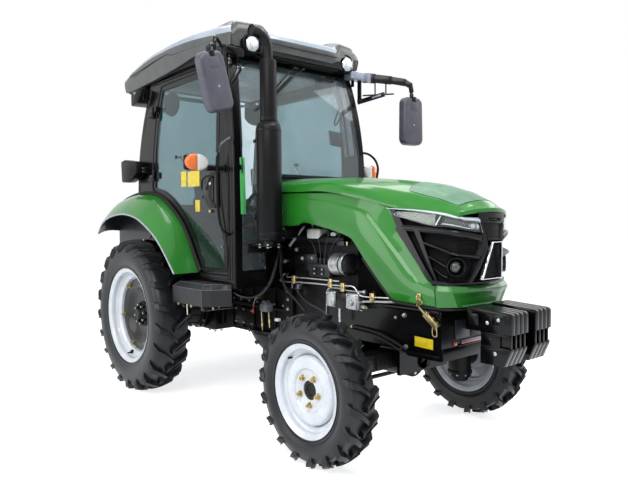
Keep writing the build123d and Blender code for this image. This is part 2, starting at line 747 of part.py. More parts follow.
def cab_outline(front_back=0):
    """Side view of the cab from the windscreen face to the rear window face."""
    front = CAB_FRONT_X - front_back
    middle_z = (WAIST_Z + CAB_TOP_Z) / 2
    low = FLOOR_Z - FLOOR_WALL
    with BuildSketch() as face:
        with BuildLine():
            Line((front, low), (front, WAIST_Z))
            ThreePointArc(
                (front, WAIST_Z), (front - 0.3 * FRONT_RAKE, middle_z), (front - FRONT_RAKE, CAB_TOP_Z)
            )
            Line((front - FRONT_RAKE, CAB_TOP_Z), (CAB_REAR_X + REAR_RAKE, CAB_TOP_Z))
            ThreePointArc(
                (CAB_REAR_X + REAR_RAKE, CAB_TOP_Z), (CAB_REAR_X + 42, 1740), (CAB_REAR_X, REAR_BEND_Z)
            )
            Line((CAB_REAR_X, REAR_BEND_Z), (CAB_REAR_X, low))
            Line((CAB_REAR_X, low), (front, low))
        make_face()
    return face.sketch


def door_outline(shrink):
    """The door opening, or the door itself with a gap all round."""
    with BuildSketch() as face:
        with BuildLine():
            Polyline(
                [
                    (966, SILL_Z),
                    (966, 1050),
                    (892, 1300),
                    (884, DOOR_TOP_Z),
                    (74, DOOR_TOP_Z),
                    (42, 1960),
                    (6, 1690),
                    (-8, 1430),
                    (-8, SILL_Z),
                ],
                close=True,
            )
        make_face()
        add(under_fender(FENDER_SEAL + 18), mode=Mode.SUBTRACT)
        if shrink:
            offset(amount=-shrink, kind=Kind.INTERSECTION)
    return face.sketch


CAB_RUN = CAB_FRONT_X - CAB_REAR_X + 60  # length of band that covers the cab
HINGE_TALL = 34
# columns: barrel foot z, root y, rear and front x of the door's leaf
HINGES = ((1500, CAB_HALF - 7, 4, 34), (1950, CAB_HALF - 30, 50, 76))
with BuildPart() as cab_side:
    with BuildSketch(side(CAB_HALF + 20)):
        add(cab_outline())
        add(door_outline(0), mode=Mode.SUBTRACT)
        add(under_fender(FENDER_SEAL), mode=Mode.SUBTRACT)
    extrude(amount=CAB_WALL * 3)
    with BuildSketch(cross(CAB_REAR_X - 20)):
        add(cab_band(0, CAB_WALL))
    extrude(amount=CAB_RUN, mode=Mode.INTERSECT)
    # wall beside the rear wheel, below the fender
    with BuildSketch(side(WHEEL_WALL_Y)):
        add(under_fender(FENDER_SEAL))
        with Locations(((CAB_REAR_X + 640) / 2, 1090)):
            Rectangle(640 - CAB_REAR_X, 2 * (1090 - FLOOR_Z + FLOOR_WALL), mode=Mode.INTERSECT)
    extrude(amount=12)
    for z, root_y, _, _ in HINGES:
        leaf = (z - HINGE_TALL, z - 1)
        block((-45, DOOR_HINGE_X + 4), (CAB_HALF + 5, DOOR_HINGE_Y + 11), leaf)
        block((-45, -12), (root_y, CAB_HALF + 7), leaf)
        rod_z(DOOR_HINGE_X, DOOR_HINGE_Y, HINGE_PIN_R, (z - 5, z + HINGE_TALL))
write_pair(cab_side, "cab_side")

with BuildPart() as door_frame:
    with BuildSketch(side(CAB_HALF + 20)):
        add(door_outline(DOOR_GAP))
        add(door_outline(DOOR_GAP + DOOR_BORDER), mode=Mode.SUBTRACT)
    extrude(amount=CAB_WALL * 3)
    with BuildSketch(cross(CAB_REAR_X - 20)):
        add(cab_band(0, DOOR_WALL))
    extrude(amount=CAB_RUN, mode=Mode.INTERSECT)
    for z, root_y, rear, front in HINGES:
        barrel = (z, z + HINGE_TALL)
        block((rear, front), (root_y, DOOR_HINGE_Y), barrel)
        block((min(rear, DOOR_HINGE_X), front), (CAB_HALF + 3, DOOR_HINGE_Y), barrel)
        rod_z(DOOR_HINGE_X, DOOR_HINGE_Y, HINGE_PIN_R + 4, barrel)
        rod_z(DOOR_HINGE_X, DOOR_HINGE_Y, HINGE_PIN_R + RUNNING_FIT, barrel, Mode.SUBTRACT)
write_pair(door_frame, "door_frame")

with BuildPart() as door_glass:
    with BuildSketch(side(CAB_HALF + 20)):
        add(door_outline(DOOR_GAP + DOOR_BORDER))
    extrude(amount=CAB_WALL * 3)
    with BuildSketch(cross(CAB_REAR_X - 20)):
        add(cab_band(GLASS_INSET, GLASS_INSET + GLASS))
    extrude(amount=CAB_RUN, mode=Mode.INTERSECT)
write_pair(door_glass, "door_glass")

front_inner = CAB_HALF - CAB_WALL
screen_half = front_inner - 1
SCREEN_LOW_Z = 882
SCREEN_NOTCH_Y = 322
SCREEN_NOTCH_Z = 1450
with BuildPart() as windshield:
    with BuildSketch(side(screen_half)):
        add(cab_outline())
        add(cab_outline(GLASS), mode=Mode.SUBTRACT)
        with Locations((0, 1500)):
            Rectangle(1500, 1600, mode=Mode.SUBTRACT)
        with Locations((CAB_FRONT_X, SCREEN_LOW_Z - 200)):
            Rectangle(100, 400, mode=Mode.SUBTRACT)
    extrude(amount=2 * screen_half)
    with BuildSketch(cross(CAB_FRONT_X - 40)):
        with Locations((0, SCREEN_NOTCH_Z - 400)):
            Rectangle(2 * SCREEN_NOTCH_Y, 800)
    extrude(amount=80, mode=Mode.SUBTRACT)
    with BuildSketch(cross(CAB_FRONT_X - 200)):
        add(cab_inside(1))
    extrude(amount=300, mode=Mode.INTERSECT)
write(windshield, "windshield")

with BuildPart() as cab_front_wall:
    half = SCREEN_NOTCH_Y - 3
    low_z = FLOOR_Z - FLOOR_WALL
    back_x = CAB_FRONT_X - 28
    block((back_x, CAB_FRONT_X - 4), (-screen_half, screen_half), (low_z, SCREEN_LOW_Z - 2))
    block((back_x, CAB_FRONT_X), (-half, half), (low_z, SCREEN_NOTCH_Z - 3))
    # hinge brackets and pins for the hood
    for s in (1, -1):
        arm = sorted((s * 100, s * 112))
        pin = sorted((s * 110, s * 142))
        post = (HOOD_HINGE_X - 8, HOOD_HINGE_X + 8)
        block((CAB_FRONT_X - 2, post[1]), arm, (HOOD_HINGE_Z - 70, HOOD_HINGE_Z - 30))
        block(post, arm, (HOOD_HINGE_Z - 32, HOOD_HINGE_Z + 8))
        rod_y(HOOD_HINGE_X, HOOD_HINGE_Z, HINGE_PIN_R, pin)
write(cab_front_wall, "cab_front_wall")

REAR_SILL_Z = 1300
with BuildPart() as cab_rear_wall:
    block((CAB_REAR_X, CAB_REAR_X + 24), (-screen_half + 2, screen_half - 2), (FLOOR_Z, REAR_SILL_Z))
write(cab_rear_wall, "cab_rear_wall")

with BuildPart() as rear_window:
    with BuildSketch(side(screen_half)):
        add(cab_outline())
        with Locations((GLASS, 0)):
            add(cab_outline(), mode=Mode.SUBTRACT)
        with Locations((600, 1500)):
            Rectangle(1400, 1600, mode=Mode.SUBTRACT)
        with Locations((CAB_REAR_X, REAR_SILL_Z - 298)):
            Rectangle(100, 600, mode=Mode.SUBTRACT)
    extrude(amount=2 * screen_half)
    with BuildSketch(cross(CAB_REAR_X - 50)):
        add(cab_inside(3))
    extrude(amount=400, mode=Mode.INTERSECT)
write(rear_window, "rear_window")

with BuildPart() as cab_floor:
    inner_y = WHEEL_WALL_Y - 12
    block((CAB_REAR_X + 26, CAB_FRONT_X - 30), (-inner_y, inner_y), (FLOOR_Z - FLOOR_WALL, FLOOR_Z))
write(cab_floor, "cab_floor")

# ---- roof: a moulded shell over a flat liner, notched for the front lamps

ROOF_LAMP_Y = 390
ROOF_LAMP_X = 1069
ROOF_LAMP_Z = 2236
# columns: z, front centre x, front corner x, side y, rear x, rear y
ROOF_RINGS = [
    (ROOF_LOW_Z + 1, 1064, 1000, 532, -470, 505),
    (ROOF_EDGE_Z, 1074, 1010, 530, -505, 495),
    (ROOF_DECK_Z, 1010, 930, 470, -400, 430),
    (ROOF_TOP_Z, 640, 570, 350, -160, 330),
]


def roof_ring(front, corner, side_y, rear, rear_y, shrink):
    """Plan outline of the roof at one height."""
    with BuildSketch() as face:
        with BuildLine():
            Polyline(
                [
                    (front - shrink, -320),
                    (front - shrink, 320),
                    (corner - shrink, side_y - shrink),
                    (rear + 120, side_y - shrink),
                    (rear + shrink, rear_y - 60),
                    (rear + shrink, -rear_y + 60),
                    (rear + 120, shrink - side_y),
                    (corner - shrink, shrink - side_y),
                ],
                close=True,
            )
        make_face()
    return face.sketch


def lamp_notch():
    """Cut the two openings for the front roof lamps."""
    for s in (1, -1):
        with BuildSketch(cross(980)) as opening:
            with Locations((s * ROOF_LAMP_Y, ROOF_LAMP_Z)):
                Rectangle(112, 92)
        extrude(opening.sketch, amount=200, mode=Mode.SUBTRACT)


ROOF_WALL = 14
with BuildPart() as roof_hollow:
    for z, *ring in ROOF_RINGS:
        with BuildSketch(deck(z - ROOF_WALL)):
            add(roof_ring(*ring, ROOF_WALL))
    loft(ruled=True)

with BuildPart() as roof_shell:
    for z, *ring in ROOF_RINGS:
        with BuildSketch(deck(z)):
            add(roof_ring(*ring, 0))
    loft(ruled=True)
    add(roof_hollow.part, mode=Mode.SUBTRACT)
    lamp_notch()
write(roof_shell, "roof_shell")

with BuildPart() as roof_liner:
    with BuildSketch(deck(CAB_TOP_Z + 1)):
        with BuildLine():
            Polyline(
                [
                    (1052, -318),
                    (1052, 318),
                    (985, 512),
                    (-340, 512),
                    (-455, 430),
                    (-455, -430),
                    (-340, -512),
                    (985, -512),
                ],
                close=True,
            )
        make_face()
    extrude(amount=ROOF_LOW_Z - CAB_TOP_Z - 1)
    lamp_notch()
write(roof_liner, "roof_liner")

with BuildPart() as lamps:
    for s in (1, -1):
        # front roof lamps
        rod_x(s * ROOF_LAMP_Y, ROOF_LAMP_Z, 40, (980, ROOF_LAMP_X))
        # rear work lamps hung under the roof's corners
        block((-330, -220), sorted((s * 395, s * 505)), (2045, 2165))
        block((-290, -260), sorted((s * 440, s * 460)), (2160, CAB_TOP_Z + 1))
        # turn lamps on arms from the front pillars
        block((905, 950), sorted((s * 622, s * 776)), (1440, 1538))
        block((925, 945), sorted((s * (CAB_HALF + 1), s * 630)), (1478, 1502))
        # tail lamps on arms beside the rear pillars
        block((-330, -200), sorted((s * 545, s * 602)), (1462, 1600))
        block((-210, -60), sorted((s * 556, s * 580)), (1530, 1570))
        block((-100, -60), sorted((s * (CAB_HALF + 1), s * 560)), (1530, 1570))
write(lamps, "lamps")

# ---- inside the cab

with BuildPart() as seat_frame:
    block((60, 420), (-180, 180), (FLOOR_Z, 1020))
write(seat_frame, "seat_frame")

with BuildPart() as seat_cushion:
    block((10, 500), (-235, 235), (1022, 1130))
    fillet(seat_cushion.edges().filter_by(Axis.Z), 60)
    fillet(seat_cushion.faces().sort_by(Axis.Z)[-1].edges(), 30)
write(seat_cushion, "seat_cushion")

with BuildPart() as seat_back:
    with BuildSketch(side(225)):
        with BuildLine():
            Polyline([(10, 1134), (110, 1134), (10, 1640), (-80, 1640)], close=True)
        make_face()
    extrude(amount=450)
    fillet(seat_back.edges().filter_by(Axis.Y), 22)
write(seat_back, "seat_back")

WHEEL_HUB = (700, 1320)  # steering wheel centre: x, z
COLUMN_DIR = (-0.62, 0, 0.785)
with BuildPart() as dash_console:
    with BuildSketch(side(170)):
        with BuildLine():
            Polyline(
                [(740, FLOOR_Z), (1028, FLOOR_Z), (1028, 1330), (900, 1330), (720, 1210)],
                close=True,
            )
        make_face()
    extrude(amount=340)
    with BuildSketch(Plane(origin=at(WHEEL_HUB[0] + 62, 0, WHEEL_HUB[1] - 78.5), z_dir=COLUMN_DIR)):
        Circle(30)
    extrude(amount=78)
    with BuildSketch(Plane(origin=at(WHEEL_HUB[0] + 62, 0, WHEEL_HUB[1] - 78.5), z_dir=COLUMN_DIR)):
        Circle(30)
    extrude(amount=-80)
write(dash_console, "dash_console")

wheel_plane = Plane(origin=at(WHEEL_HUB[0], 0, WHEEL_HUB[1]), z_dir=COLUMN_DIR)
STEERING_RIM_R = 185
with BuildPart() as steering_wheel:
    with BuildSketch(wheel_plane.offset(-16)):
        Circle(48)
    extrude(amount=32)
    with BuildSketch(wheel_plane.offset(2)):
        Rectangle(24, 2 * STEERING_RIM_R)
        with Locations((STEERING_RIM_R / 2, 0)):
            Rectangle(STEERING_RIM_R, 24)
    extrude(amount=12)
    with BuildSketch(Plane(origin=wheel_plane.origin, x_dir=wheel_plane.x_dir, z_dir=wheel_plane.y_dir)):
        with Locations((STEERING_RIM_R, -8)):
            Circle(15)
    revolve(axis=Axis(wheel_plane.origin, wheel_plane.z_dir))
write(steering_wheel, "steering_wheel")

# ---- exhaust stack and mirrors

with BuildPart() as exhaust_stack:
    rod_z(EXHAUST_X, EXHAUST_Y, 72, (1060, 1730))
    rod_z(EXHAUST_X, EXHAUST_Y, 45, (1729, 2100))
    with BuildSketch(Plane(origin=at(EXHAUST_X, EXHAUST_Y, 2099))):
        Circle(28)
    with BuildLine() as bend:
        FilletPolyline(
            [
                at(EXHAUST_X, EXHAUST_Y, 2099),
                at(EXHAUST_X, EXHAUST_Y, 2200),
                at(EXHAUST_X, EXHAUST_Y - 115, 2275),
            ],
            radius=70,
        )
    sweep(path=bend.line)
    rod_y(EXHAUST_X, 1100, 30, (EXHAUST_Y + 20, -160))
write(exhaust_stack, "exhaust_stack")

MIRROR = (1268, 790)  # middle of each mirror head: x, y
MIRROR_TALL = 330
ARM_ROOT = (922, 501, 2163)
for s, middle_z, name in ((1, 1858, "mirror_left"), (-1, 1915, "mirror_right")):
    with BuildPart() as mirror_piece:
        with BuildSketch(cross(MIRROR[0] - 30)):
            with Locations((s * MIRROR[1], middle_z)):
                RectangleRounded(180, MIRROR_TALL, 40)
        extrude(amount=60)
        fillet(mirror_piece.faces().sort_by(Axis.X)[-1].edges(), 22)
        with BuildSketch(side(s * ARM_ROOT[1])):
            with Locations((ARM_ROOT[0], ARM_ROOT[2])):
                Circle(11)
        with BuildLine() as arm_line:
            FilletPolyline(
                [
                    at(ARM_ROOT[0], s * ARM_ROOT[1], ARM_ROOT[2]),
                    at(ARM_ROOT[0], s * (ARM_ROOT[1] + 70), ARM_ROOT[2]),
                    at(MIRROR[0], s * MIRROR[1], ARM_ROOT[2]),
                    at(MIRROR[0], s * MIRROR[1], middle_z + MIRROR_TALL / 2 - 10),
                ],
                radius=30,
            )
        sweep(path=arm_line.line)
    write(mirror_piece, name)

# ---- hood: lofted top, bent side panels, grille and nose band

# columns: x, half width, edge z, shoulder z, crown z
HOOD_STATIONS = [
    (HOOD_REAR_X, 300, 1346, 1408, 1438),
    (1620, 303, 1332, 1392, 1416),
    (1900, 294, 1283, 1352, 1388),
    (2130, 250, 1226, 1300, 1354),
    (2388, 190, 1190, 1226, 1268),
    (2446, 70, 1187, 1197, 1222),
]


def hood_section(half, edge, shoulder, crown):
    with BuildSketch() as face:
        with BuildLine():
            Polyline([(half - 16, shoulder), (half, edge), (-half, edge), (16 - half, shoulder)])
            ThreePointArc((16 - half, shoulder), (0, crown), (half - 16, shoulder))
        make_face()
    return face.sketch


with BuildPart() as hood_hollow:
    for x, half, edge, shoulder, crown in HOOD_STATIONS:
        inner = [half - HOOD_WALL, edge - 2 * HOOD_WALL, shoulder - HOOD_WALL, crown - HOOD_WALL]
        with BuildSketch(cross(x - HOOD_WALL)):
            add(hood_section(*inner))
    loft(ruled=True)

with BuildPart() as hood_top:
    for x, *sizes in HOOD_STATIONS:
        with BuildSketch(cross(x)):
            add(hood_section(*sizes))
    loft(ruled=True)
    add(hood_hollow.part, mode=Mode.SUBTRACT)
    # hinge lugs under the rear edge
    for s in (1, -1):
        lug = sorted((s * 120, s * 136))
        block((HOOD_HINGE_X, HOOD_HINGE_X + 60), lug, (HOOD_HINGE_Z - 12, HOOD_HINGE_Z + 18))
        rod_y(HOOD_HINGE_X, HOOD_HINGE_Z, 12, lug)
        rod_y(HOOD_HINGE_X, HOOD_HINGE_Z, HINGE_PIN_R + RUNNING_FIT, lug, Mode.SUBTRACT)
write(hood_top, "hood_top")

# Plan of the side panels at a low and a high level: knee and nose corner.
# columns: z, rear y, knee x, knee y, nose x, nose y
SIDE_PLANS = [
    (700, 308, 1850, 308, 2360, 250),
    (1420, 297, 1850, 290, 2392, 170),
]
with BuildPart() as side_skin:
    for z, back_y, knee_x, knee_y, nose_x, nose_y in SIDE_PLANS:
        with BuildSketch(deck(z)):
            with BuildLine():
                Polyline(
                    [
                        (HOOD_REAR_X - 5, back_y),
                        (knee_x, knee_y),
                        (nose_x, nose_y),
                        (nose_x, nose_y - HOOD_WALL),
                        (knee_x, knee_y - HOOD_WALL),
                        (HOOD_REAR_X - 5, back_y - HOOD_WALL),
                    ],
                    close=True,
                )
            make_face()
    loft(ruled=True)

with BuildPart() as hood_side:
    with BuildSketch(side(400)):
        with BuildLine():
            Polyline(
                [
                    (HOOD_REAR_X, 1342),
                    (1620, 1327),
                    (1900, 1278),
                    (2000, 1244),
                    (2235, 888),
                    (2296, 882),
                    (2296, 768),
                    (2090, 784),
                    (1800, 1075),
                    (1740, 1100),
                    (1390, 1165),
                    (1330, 1145),
                    (HOOD_REAR_X, 1141),
                ],
                close=True,
            )
        make_face()
    extrude(amount=400)
    add(side_skin.part, mode=Mode.INTERSECT)
write_pair(hood_side, "hood_side")

# The nose band wraps the lower front; its ridge stands proud.
# columns: z, corner x, corner y, centre x, flank y
NOSE_RINGS = [
    (766, 2372, 187, 2390, 252),
    (840, 2374, 231, 2398, 260),
    (866, 2362, 222, 2388, 256),
]
NOSE_WALL = 12
with BuildPart() as nose_band:
    for z, corner_x, corner_y, centre_x, flank_y in NOSE_RINGS:
        with BuildSketch(deck(z)):
            with BuildLine():
                Polyline(
                    [
                        (2300, flank_y),
                        (corner_x, corner_y),
                        (centre_x, 0),
                        (corner_x, -corner_y),
                        (2300, -flank_y),
                        (2300, NOSE_WALL - flank_y),
                        (corner_x - NOSE_WALL, NOSE_WALL - corner_y),
                        (centre_x - NOSE_WALL, 0),
                        (corner_x - NOSE_WALL, corner_y - NOSE_WALL),
                        (2300, flank_y - NOSE_WALL),
                    ],
                    close=True,
                )
            make_face()
    loft(ruled=True)
write(nose_band, "nose_band")

# columns: z, back x, back y, corner x, corner y, centre x
GRILLE_RINGS = [
    (870, 2250, 234, 2364, 214, 2402),
    (1184, 2062, 240, 2384, 180, 2440),
]
GRILLE_WALL = 22
with BuildPart() as hood_grille:
    for z, back_x, back_y, corner_x, corner_y, centre_x in GRILLE_RINGS:
        with BuildSketch(deck(z)):
            with BuildLine():
                Polyline(
                    [
                        (back_x, back_y),
                        (corner_x, corner_y),
                        (centre_x, 0),
                        (corner_x, -corner_y),
                        (back_x, -back_y),
                        (back_x, GRILLE_WALL - back_y),
                        (corner_x - GRILLE_WALL, GRILLE_WALL - corner_y),
                        (centre_x - GRILLE_WALL, 0),
                        (corner_x - GRILLE_WALL, corner_y - GRILLE_WALL),
                        (back_x, back_y - GRILLE_WALL),
                    ],
                    close=True,
                )
            make_face()
    loft(ruled=True)
write(hood_grille, "hood_grille")
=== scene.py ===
from math import atan2, cos, hypot, pi, radians, sin

import bmesh
import bpy
from mathutils import Euler, Matrix, Vector


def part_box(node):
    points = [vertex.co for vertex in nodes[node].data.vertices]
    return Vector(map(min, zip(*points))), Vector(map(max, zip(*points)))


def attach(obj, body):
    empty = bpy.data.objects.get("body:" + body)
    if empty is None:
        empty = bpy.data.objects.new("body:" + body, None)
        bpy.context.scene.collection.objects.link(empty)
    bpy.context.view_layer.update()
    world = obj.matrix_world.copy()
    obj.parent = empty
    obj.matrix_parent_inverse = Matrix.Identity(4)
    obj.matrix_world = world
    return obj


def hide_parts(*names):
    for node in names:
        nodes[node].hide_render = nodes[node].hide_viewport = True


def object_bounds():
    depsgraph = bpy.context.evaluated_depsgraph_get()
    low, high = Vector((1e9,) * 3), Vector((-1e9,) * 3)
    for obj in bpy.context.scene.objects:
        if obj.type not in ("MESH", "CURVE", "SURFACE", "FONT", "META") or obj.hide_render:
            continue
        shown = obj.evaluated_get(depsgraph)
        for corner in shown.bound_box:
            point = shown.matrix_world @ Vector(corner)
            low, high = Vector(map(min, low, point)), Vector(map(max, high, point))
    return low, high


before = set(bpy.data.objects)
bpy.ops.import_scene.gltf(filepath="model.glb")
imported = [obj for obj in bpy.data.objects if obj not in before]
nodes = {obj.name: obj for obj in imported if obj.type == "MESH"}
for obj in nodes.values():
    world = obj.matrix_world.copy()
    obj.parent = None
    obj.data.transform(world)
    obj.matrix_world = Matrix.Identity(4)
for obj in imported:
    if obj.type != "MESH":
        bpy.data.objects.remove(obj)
cad_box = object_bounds()
scene = bpy.context.scene

# ---- camera
# A long look at the tractor's front right corner from about chest height,
# close enough that the near wheels stand out from the far ones.
camera_data = bpy.data.cameras.new("camera")
camera_data.sensor_width = 36.0
camera_data.lens = 35.23
camera = bpy.data.objects.new("camera", camera_data)
scene.collection.objects.link(camera)
TRIPOD = (3.204, -2.523, 1.178)
PAN, DIP, ROLL = 0.8645, 0.0334, -0.0088  # radians
camera_turn = Euler((pi / 2 - DIP, 0.0, PAN)).to_matrix().to_4x4()
camera.matrix_world = Matrix.Translation(TRIPOD) @ camera_turn @ Matrix.Rotation(ROLL, 4, "Z")
scene.camera = camera


# ---- studio
# A white cove with one wide soft box over the near side, two strip lights high
# over the tractor for the paint's highlights, and a weak fill from the far side.


def add_node(tree, kind, **settings):
    """Add a shader node. A setting is a socket's value, the output it is wired to, or a property."""
    new = tree.nodes.new("ShaderNode" + kind)
    for name, value in settings.items():
        socket = new.inputs.get(name.replace("_", " "))
        if socket is None:
            setattr(new, name, value)
        elif isinstance(value, bpy.types.NodeSocket):
            tree.links.new(value, socket)
        else:
            socket.default_value = value
    return new


def tint(red, green, blue):
    """A shader colour from the paint shop's 0 to 255 values."""
    mixed = [channel / 255 for channel in (red, green, blue)]
    return (*(c / 12.92 if c < 0.04 else ((c + 0.055) / 1.055) ** 2.4 for c in mixed), 1.0)


def seen_in_glass(tree):
    """How much a ray comes straight from the eye, off metal or through glass."""
    light_path = add_node(tree, "LightPath")
    seen = light_path.outputs["Is Camera Ray"]
    for ray in ("Is Glossy Ray", "Is Transmission Ray"):
        either = add_node(tree, "Math", operation="MAXIMUM", Value=seen)
        tree.links.new(light_path.outputs[ray], either.inputs[1])
        seen = either.outputs[0]
    return seen


world = bpy.data.worlds.new("cove")
scene.world = world
world.use_nodes = True
tree = world.node_tree
ambient = tree.nodes["Background"]
ambient.inputs["Color"].default_value = tint(225, 232, 240)
ambient.inputs["Strength"].default_value = 0.5
backdrop = add_node(tree, "Background", Color=(1, 1, 1, 1), Strength=1.0)
pick = add_node(tree, "MixShader", Fac=seen_in_glass(tree))
tree.links.new(ambient.outputs[0], pick.inputs[1])
tree.links.new(backdrop.outputs[0], pick.inputs[2])
tree.links.new(pick.outputs[0], tree.nodes["World Output"].inputs["Surface"])

# columns: name, place, aimed at, width, height, watts
SOFT_BOXES = (
    ("key_box", (2.6, -3.6, 4.6), (0.2, -0.3, 0.9), 3.6, 2.6, 190),
    ("hood_strip", (2.0, 0.1, 4.3), (0.2, -0.3, 1.0), 2.6, 0.8, 62),
    ("rear_strip", (-1.0, 0.5, 4.5), (0.4, -0.2, 1.2), 3.0, 1.2, 45),
    ("side_box", (-1.6, -5.0, 2.2), (-0.4, -0.4, 1.0), 3.0, 2.4, 75),
    ("fill_box", (1.5, 4.8, 3.4), (0.0, 0.3, 0.9), 4.0, 3.0, 70),
)
for name, place, aim, width, height, watts in SOFT_BOXES:
    lamp = bpy.data.lights.new(name, "AREA")
    lamp.shape = "RECTANGLE"
    lamp.size = width
    lamp.size_y = height
    lamp.energy = watts
    stand = bpy.data.objects.new(name, lamp)
    stand.location = place
    stand.rotation_euler = (Vector(aim) - stand.location).to_track_quat("-Z", "Y").to_euler()
    scene.collection.objects.link(stand)

bm = bmesh.new()
bmesh.ops.create_grid(bm, x_segments=1, y_segments=1, size=30)
mesh = bpy.data.meshes.new("floor")
bm.to_mesh(mesh)
bm.free()
floor = bpy.data.objects.new("floor", mesh)
scene.collection.objects.link(floor)
floor_paint = bpy.data.materials.new("floor_paint")
floor_paint.use_nodes = True
tree = floor_paint.node_tree
matt = add_node(tree, "BsdfDiffuse", Color=tint(232, 234, 236))
glow = add_node(tree, "Emission", Color=(1, 1, 1, 1), Strength=0.74)
none = add_node(tree, "Emission", Color=(0, 0, 0, 1), Strength=0.0)
lift = add_node(tree, "MixShader", Fac=seen_in_glass(tree))
both = add_node(tree, "AddShader")
tree.links.new(none.outputs[0], lift.inputs[1])
tree.links.new(glow.outputs[0], lift.inputs[2])
tree.links.new(matt.outputs[0], both.inputs[0])
tree.links.new(lift.outputs[0], both.inputs[1])
tree.links.new(both.outputs[0], tree.nodes["Material Output"].inputs["Surface"])
mesh.materials.append(floor_paint)

# ---- driveline castings
# The gearbox, engine block and rear axle are iron castings bolted end to end
# and sprayed black as one, with ribs, cover plates and zinc-plated bolts.
REAR_AXLE_X = (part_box("rear_tyre_left")[0].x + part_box("rear_tyre_left")[1].x) / 2
SIDES = (1, -1)  # left, right
REAR_AXLE_Z = 0.525


def ahead(x, y, z):
    """A place given forward of the rear axle."""
    return Vector((REAR_AXLE_X + x, y, z))


def at(place):
    """A place for a shape: a tuple is given forward of the rear axle, a Vector is there already."""
    return place if isinstance(place, Vector) else ahead(*place)


def turns(count, first=0.0):
    """Angles spread evenly over a full turn."""
    return [first + 2 * pi * i / count for i in range(count)]


def off_axle(radius, y, angle):
    """How far a place lies from the middle of an axle, at this radius, angle and distance across."""
    return Vector((radius * cos(angle), y, radius * sin(angle)))


def finish(name, colour, rough, metal=0.0, coat=0.0, vary=0.12, patch=7.0, grain=260.0, bump=0.0, dark=None,
           shine=0.5):
    """A finish whose colour and gloss wander in patches, with a fine grain in its surface."""
    made = bpy.data.materials.new(name)
    made.use_nodes = True
    tree = made.node_tree
    surface = tree.nodes["Principled BSDF"]
    surface.inputs["Metallic"].default_value = metal
    surface.inputs["Coat Weight"].default_value = coat
    surface.inputs["Coat Roughness"].default_value = 0.04
    surface.inputs["Specular IOR Level"].default_value = shine
    place = add_node(tree, "TexCoord").outputs["Object"]
    cloud = add_node(tree, "TexNoise", Scale=patch, Detail=5.0, Roughness=0.6, Vector=place)
    speck = add_node(tree, "TexNoise", Scale=grain, Detail=3.0, Vector=place).outputs["Fac"]
    spread = add_node(tree, "MapRange", From_Min=0.3, From_Max=0.62, Value=cloud.outputs["Fac"])
    colours = add_node(tree, "Mix", data_type="RGBA", Factor=spread.outputs[0])
    shade = dark or [channel * (1 - 2.4 * vary) for channel in colour]
    colours.inputs["A"].default_value = tint(*shade)
    colours.inputs["B"].default_value = tint(*colour)
    tree.links.new(colours.outputs["Result"], surface.inputs["Base Color"])
    gloss = add_node(tree, "MapRange", From_Min=0.25, From_Max=0.75, Value=speck)
    gloss.inputs["To Min"].default_value = max(rough - 0.5 * vary, 0.01)
    gloss.inputs["To Max"].default_value = min(rough + 0.5 * vary, 1.0)
    tree.links.new(gloss.outputs[0], surface.inputs["Roughness"])
    if bump:
        relief = add_node(tree, "Bump", Strength=bump, Distance=0.001, Height=speck)
        tree.links.new(relief.outputs[0], surface.inputs["Normal"])
    return made


def dress(made, *names):
    """Give CAD nodes a finish."""
    for name in names:
        nodes[name].data.materials.clear()
        nodes[name].data.materials.append(made)


def merge(bm, shape, paint=0, place=None):
    """Add a finished shape to a piece's bmesh, in one of the piece's finishes."""
    if place:
        shape.transform(place)
    for face in shape.faces:
        face.material_index = paint
    mesh = bpy.data.meshes.new("shape")
    shape.to_mesh(mesh)
    shape.free()
    bm.from_mesh(mesh)
    bpy.data.meshes.remove(mesh)


def ease(shape, edges, size, rounds=2):
    """Round edges off."""
    bmesh.ops.bevel(
        shape, geom=edges, offset=size, segments=rounds, profile=0.5, affect="EDGES", material=-1
    )


def slab(bm, low, high, paint=0, edge=0.003, place=None, rounds=2):
    """A block with eased edges between two corners, which are its own when it is given a place."""
    low, high = (Vector(low), Vector(high)) if place else (at(low), at(high))
    low, high = [Vector(map(pick, low, high)) for pick in (min, max)]
    shape = bmesh.new()
    bmesh.ops.create_cube(shape, size=1)
    bmesh.ops.scale(shape, vec=high - low, verts=shape.verts)
    bmesh.ops.translate(shape, vec=(low + high) / 2, verts=shape.verts)
    edge = min(edge, 0.45 * min(high - low))
    ease(shape, shape.edges[:], edge, rounds)
    merge(bm, shape, paint, place)


def facing(start, end):
    """Turn and move that stands a +Z shape on the line between two places, at its middle."""
    start, end = at(start), at(end)
    turn = (end - start).to_track_quat("Z", "Y").to_matrix().to_4x4()
    return Matrix.Translation((start + end) / 2) @ turn


def rod(bm, start, end, radius, paint=0, tip=None, sides=20, edge=0.0):
    """A round or tapered bar between two places, its ends eased by edge."""
    shape = bmesh.new()
    start, end = at(start), at(end)
    length = (end - start).length
    tip = radius if tip is None else tip
    bmesh.ops.create_cone(shape, cap_ends=True, segments=sides, radius1=radius, radius2=tip, depth=length)
    if edge:
        rims = [e for e in shape.edges if abs(e.verts[0].co.z - e.verts[1].co.z) < 1e-6]
        ease(shape, rims, edge)
    merge(bm, shape, paint, facing(start, end))


def bolt(bm, seat, out, size, paint=0, washer=True):
    """A hexagon head on a washer, standing out of its seat."""
    seat, out = at(seat), Vector(out).normalized()
    foot = 0.0
    if washer:
        rod(bm, seat, seat + out * 0.25 * size, 1.15 * size, paint, sides=16)
        foot = 0.25 * size
    rod(
        bm, seat + out * foot, seat + out * (foot + 0.75 * size), 0.95 * size, paint, sides=6,
        edge=0.12 * size
    )


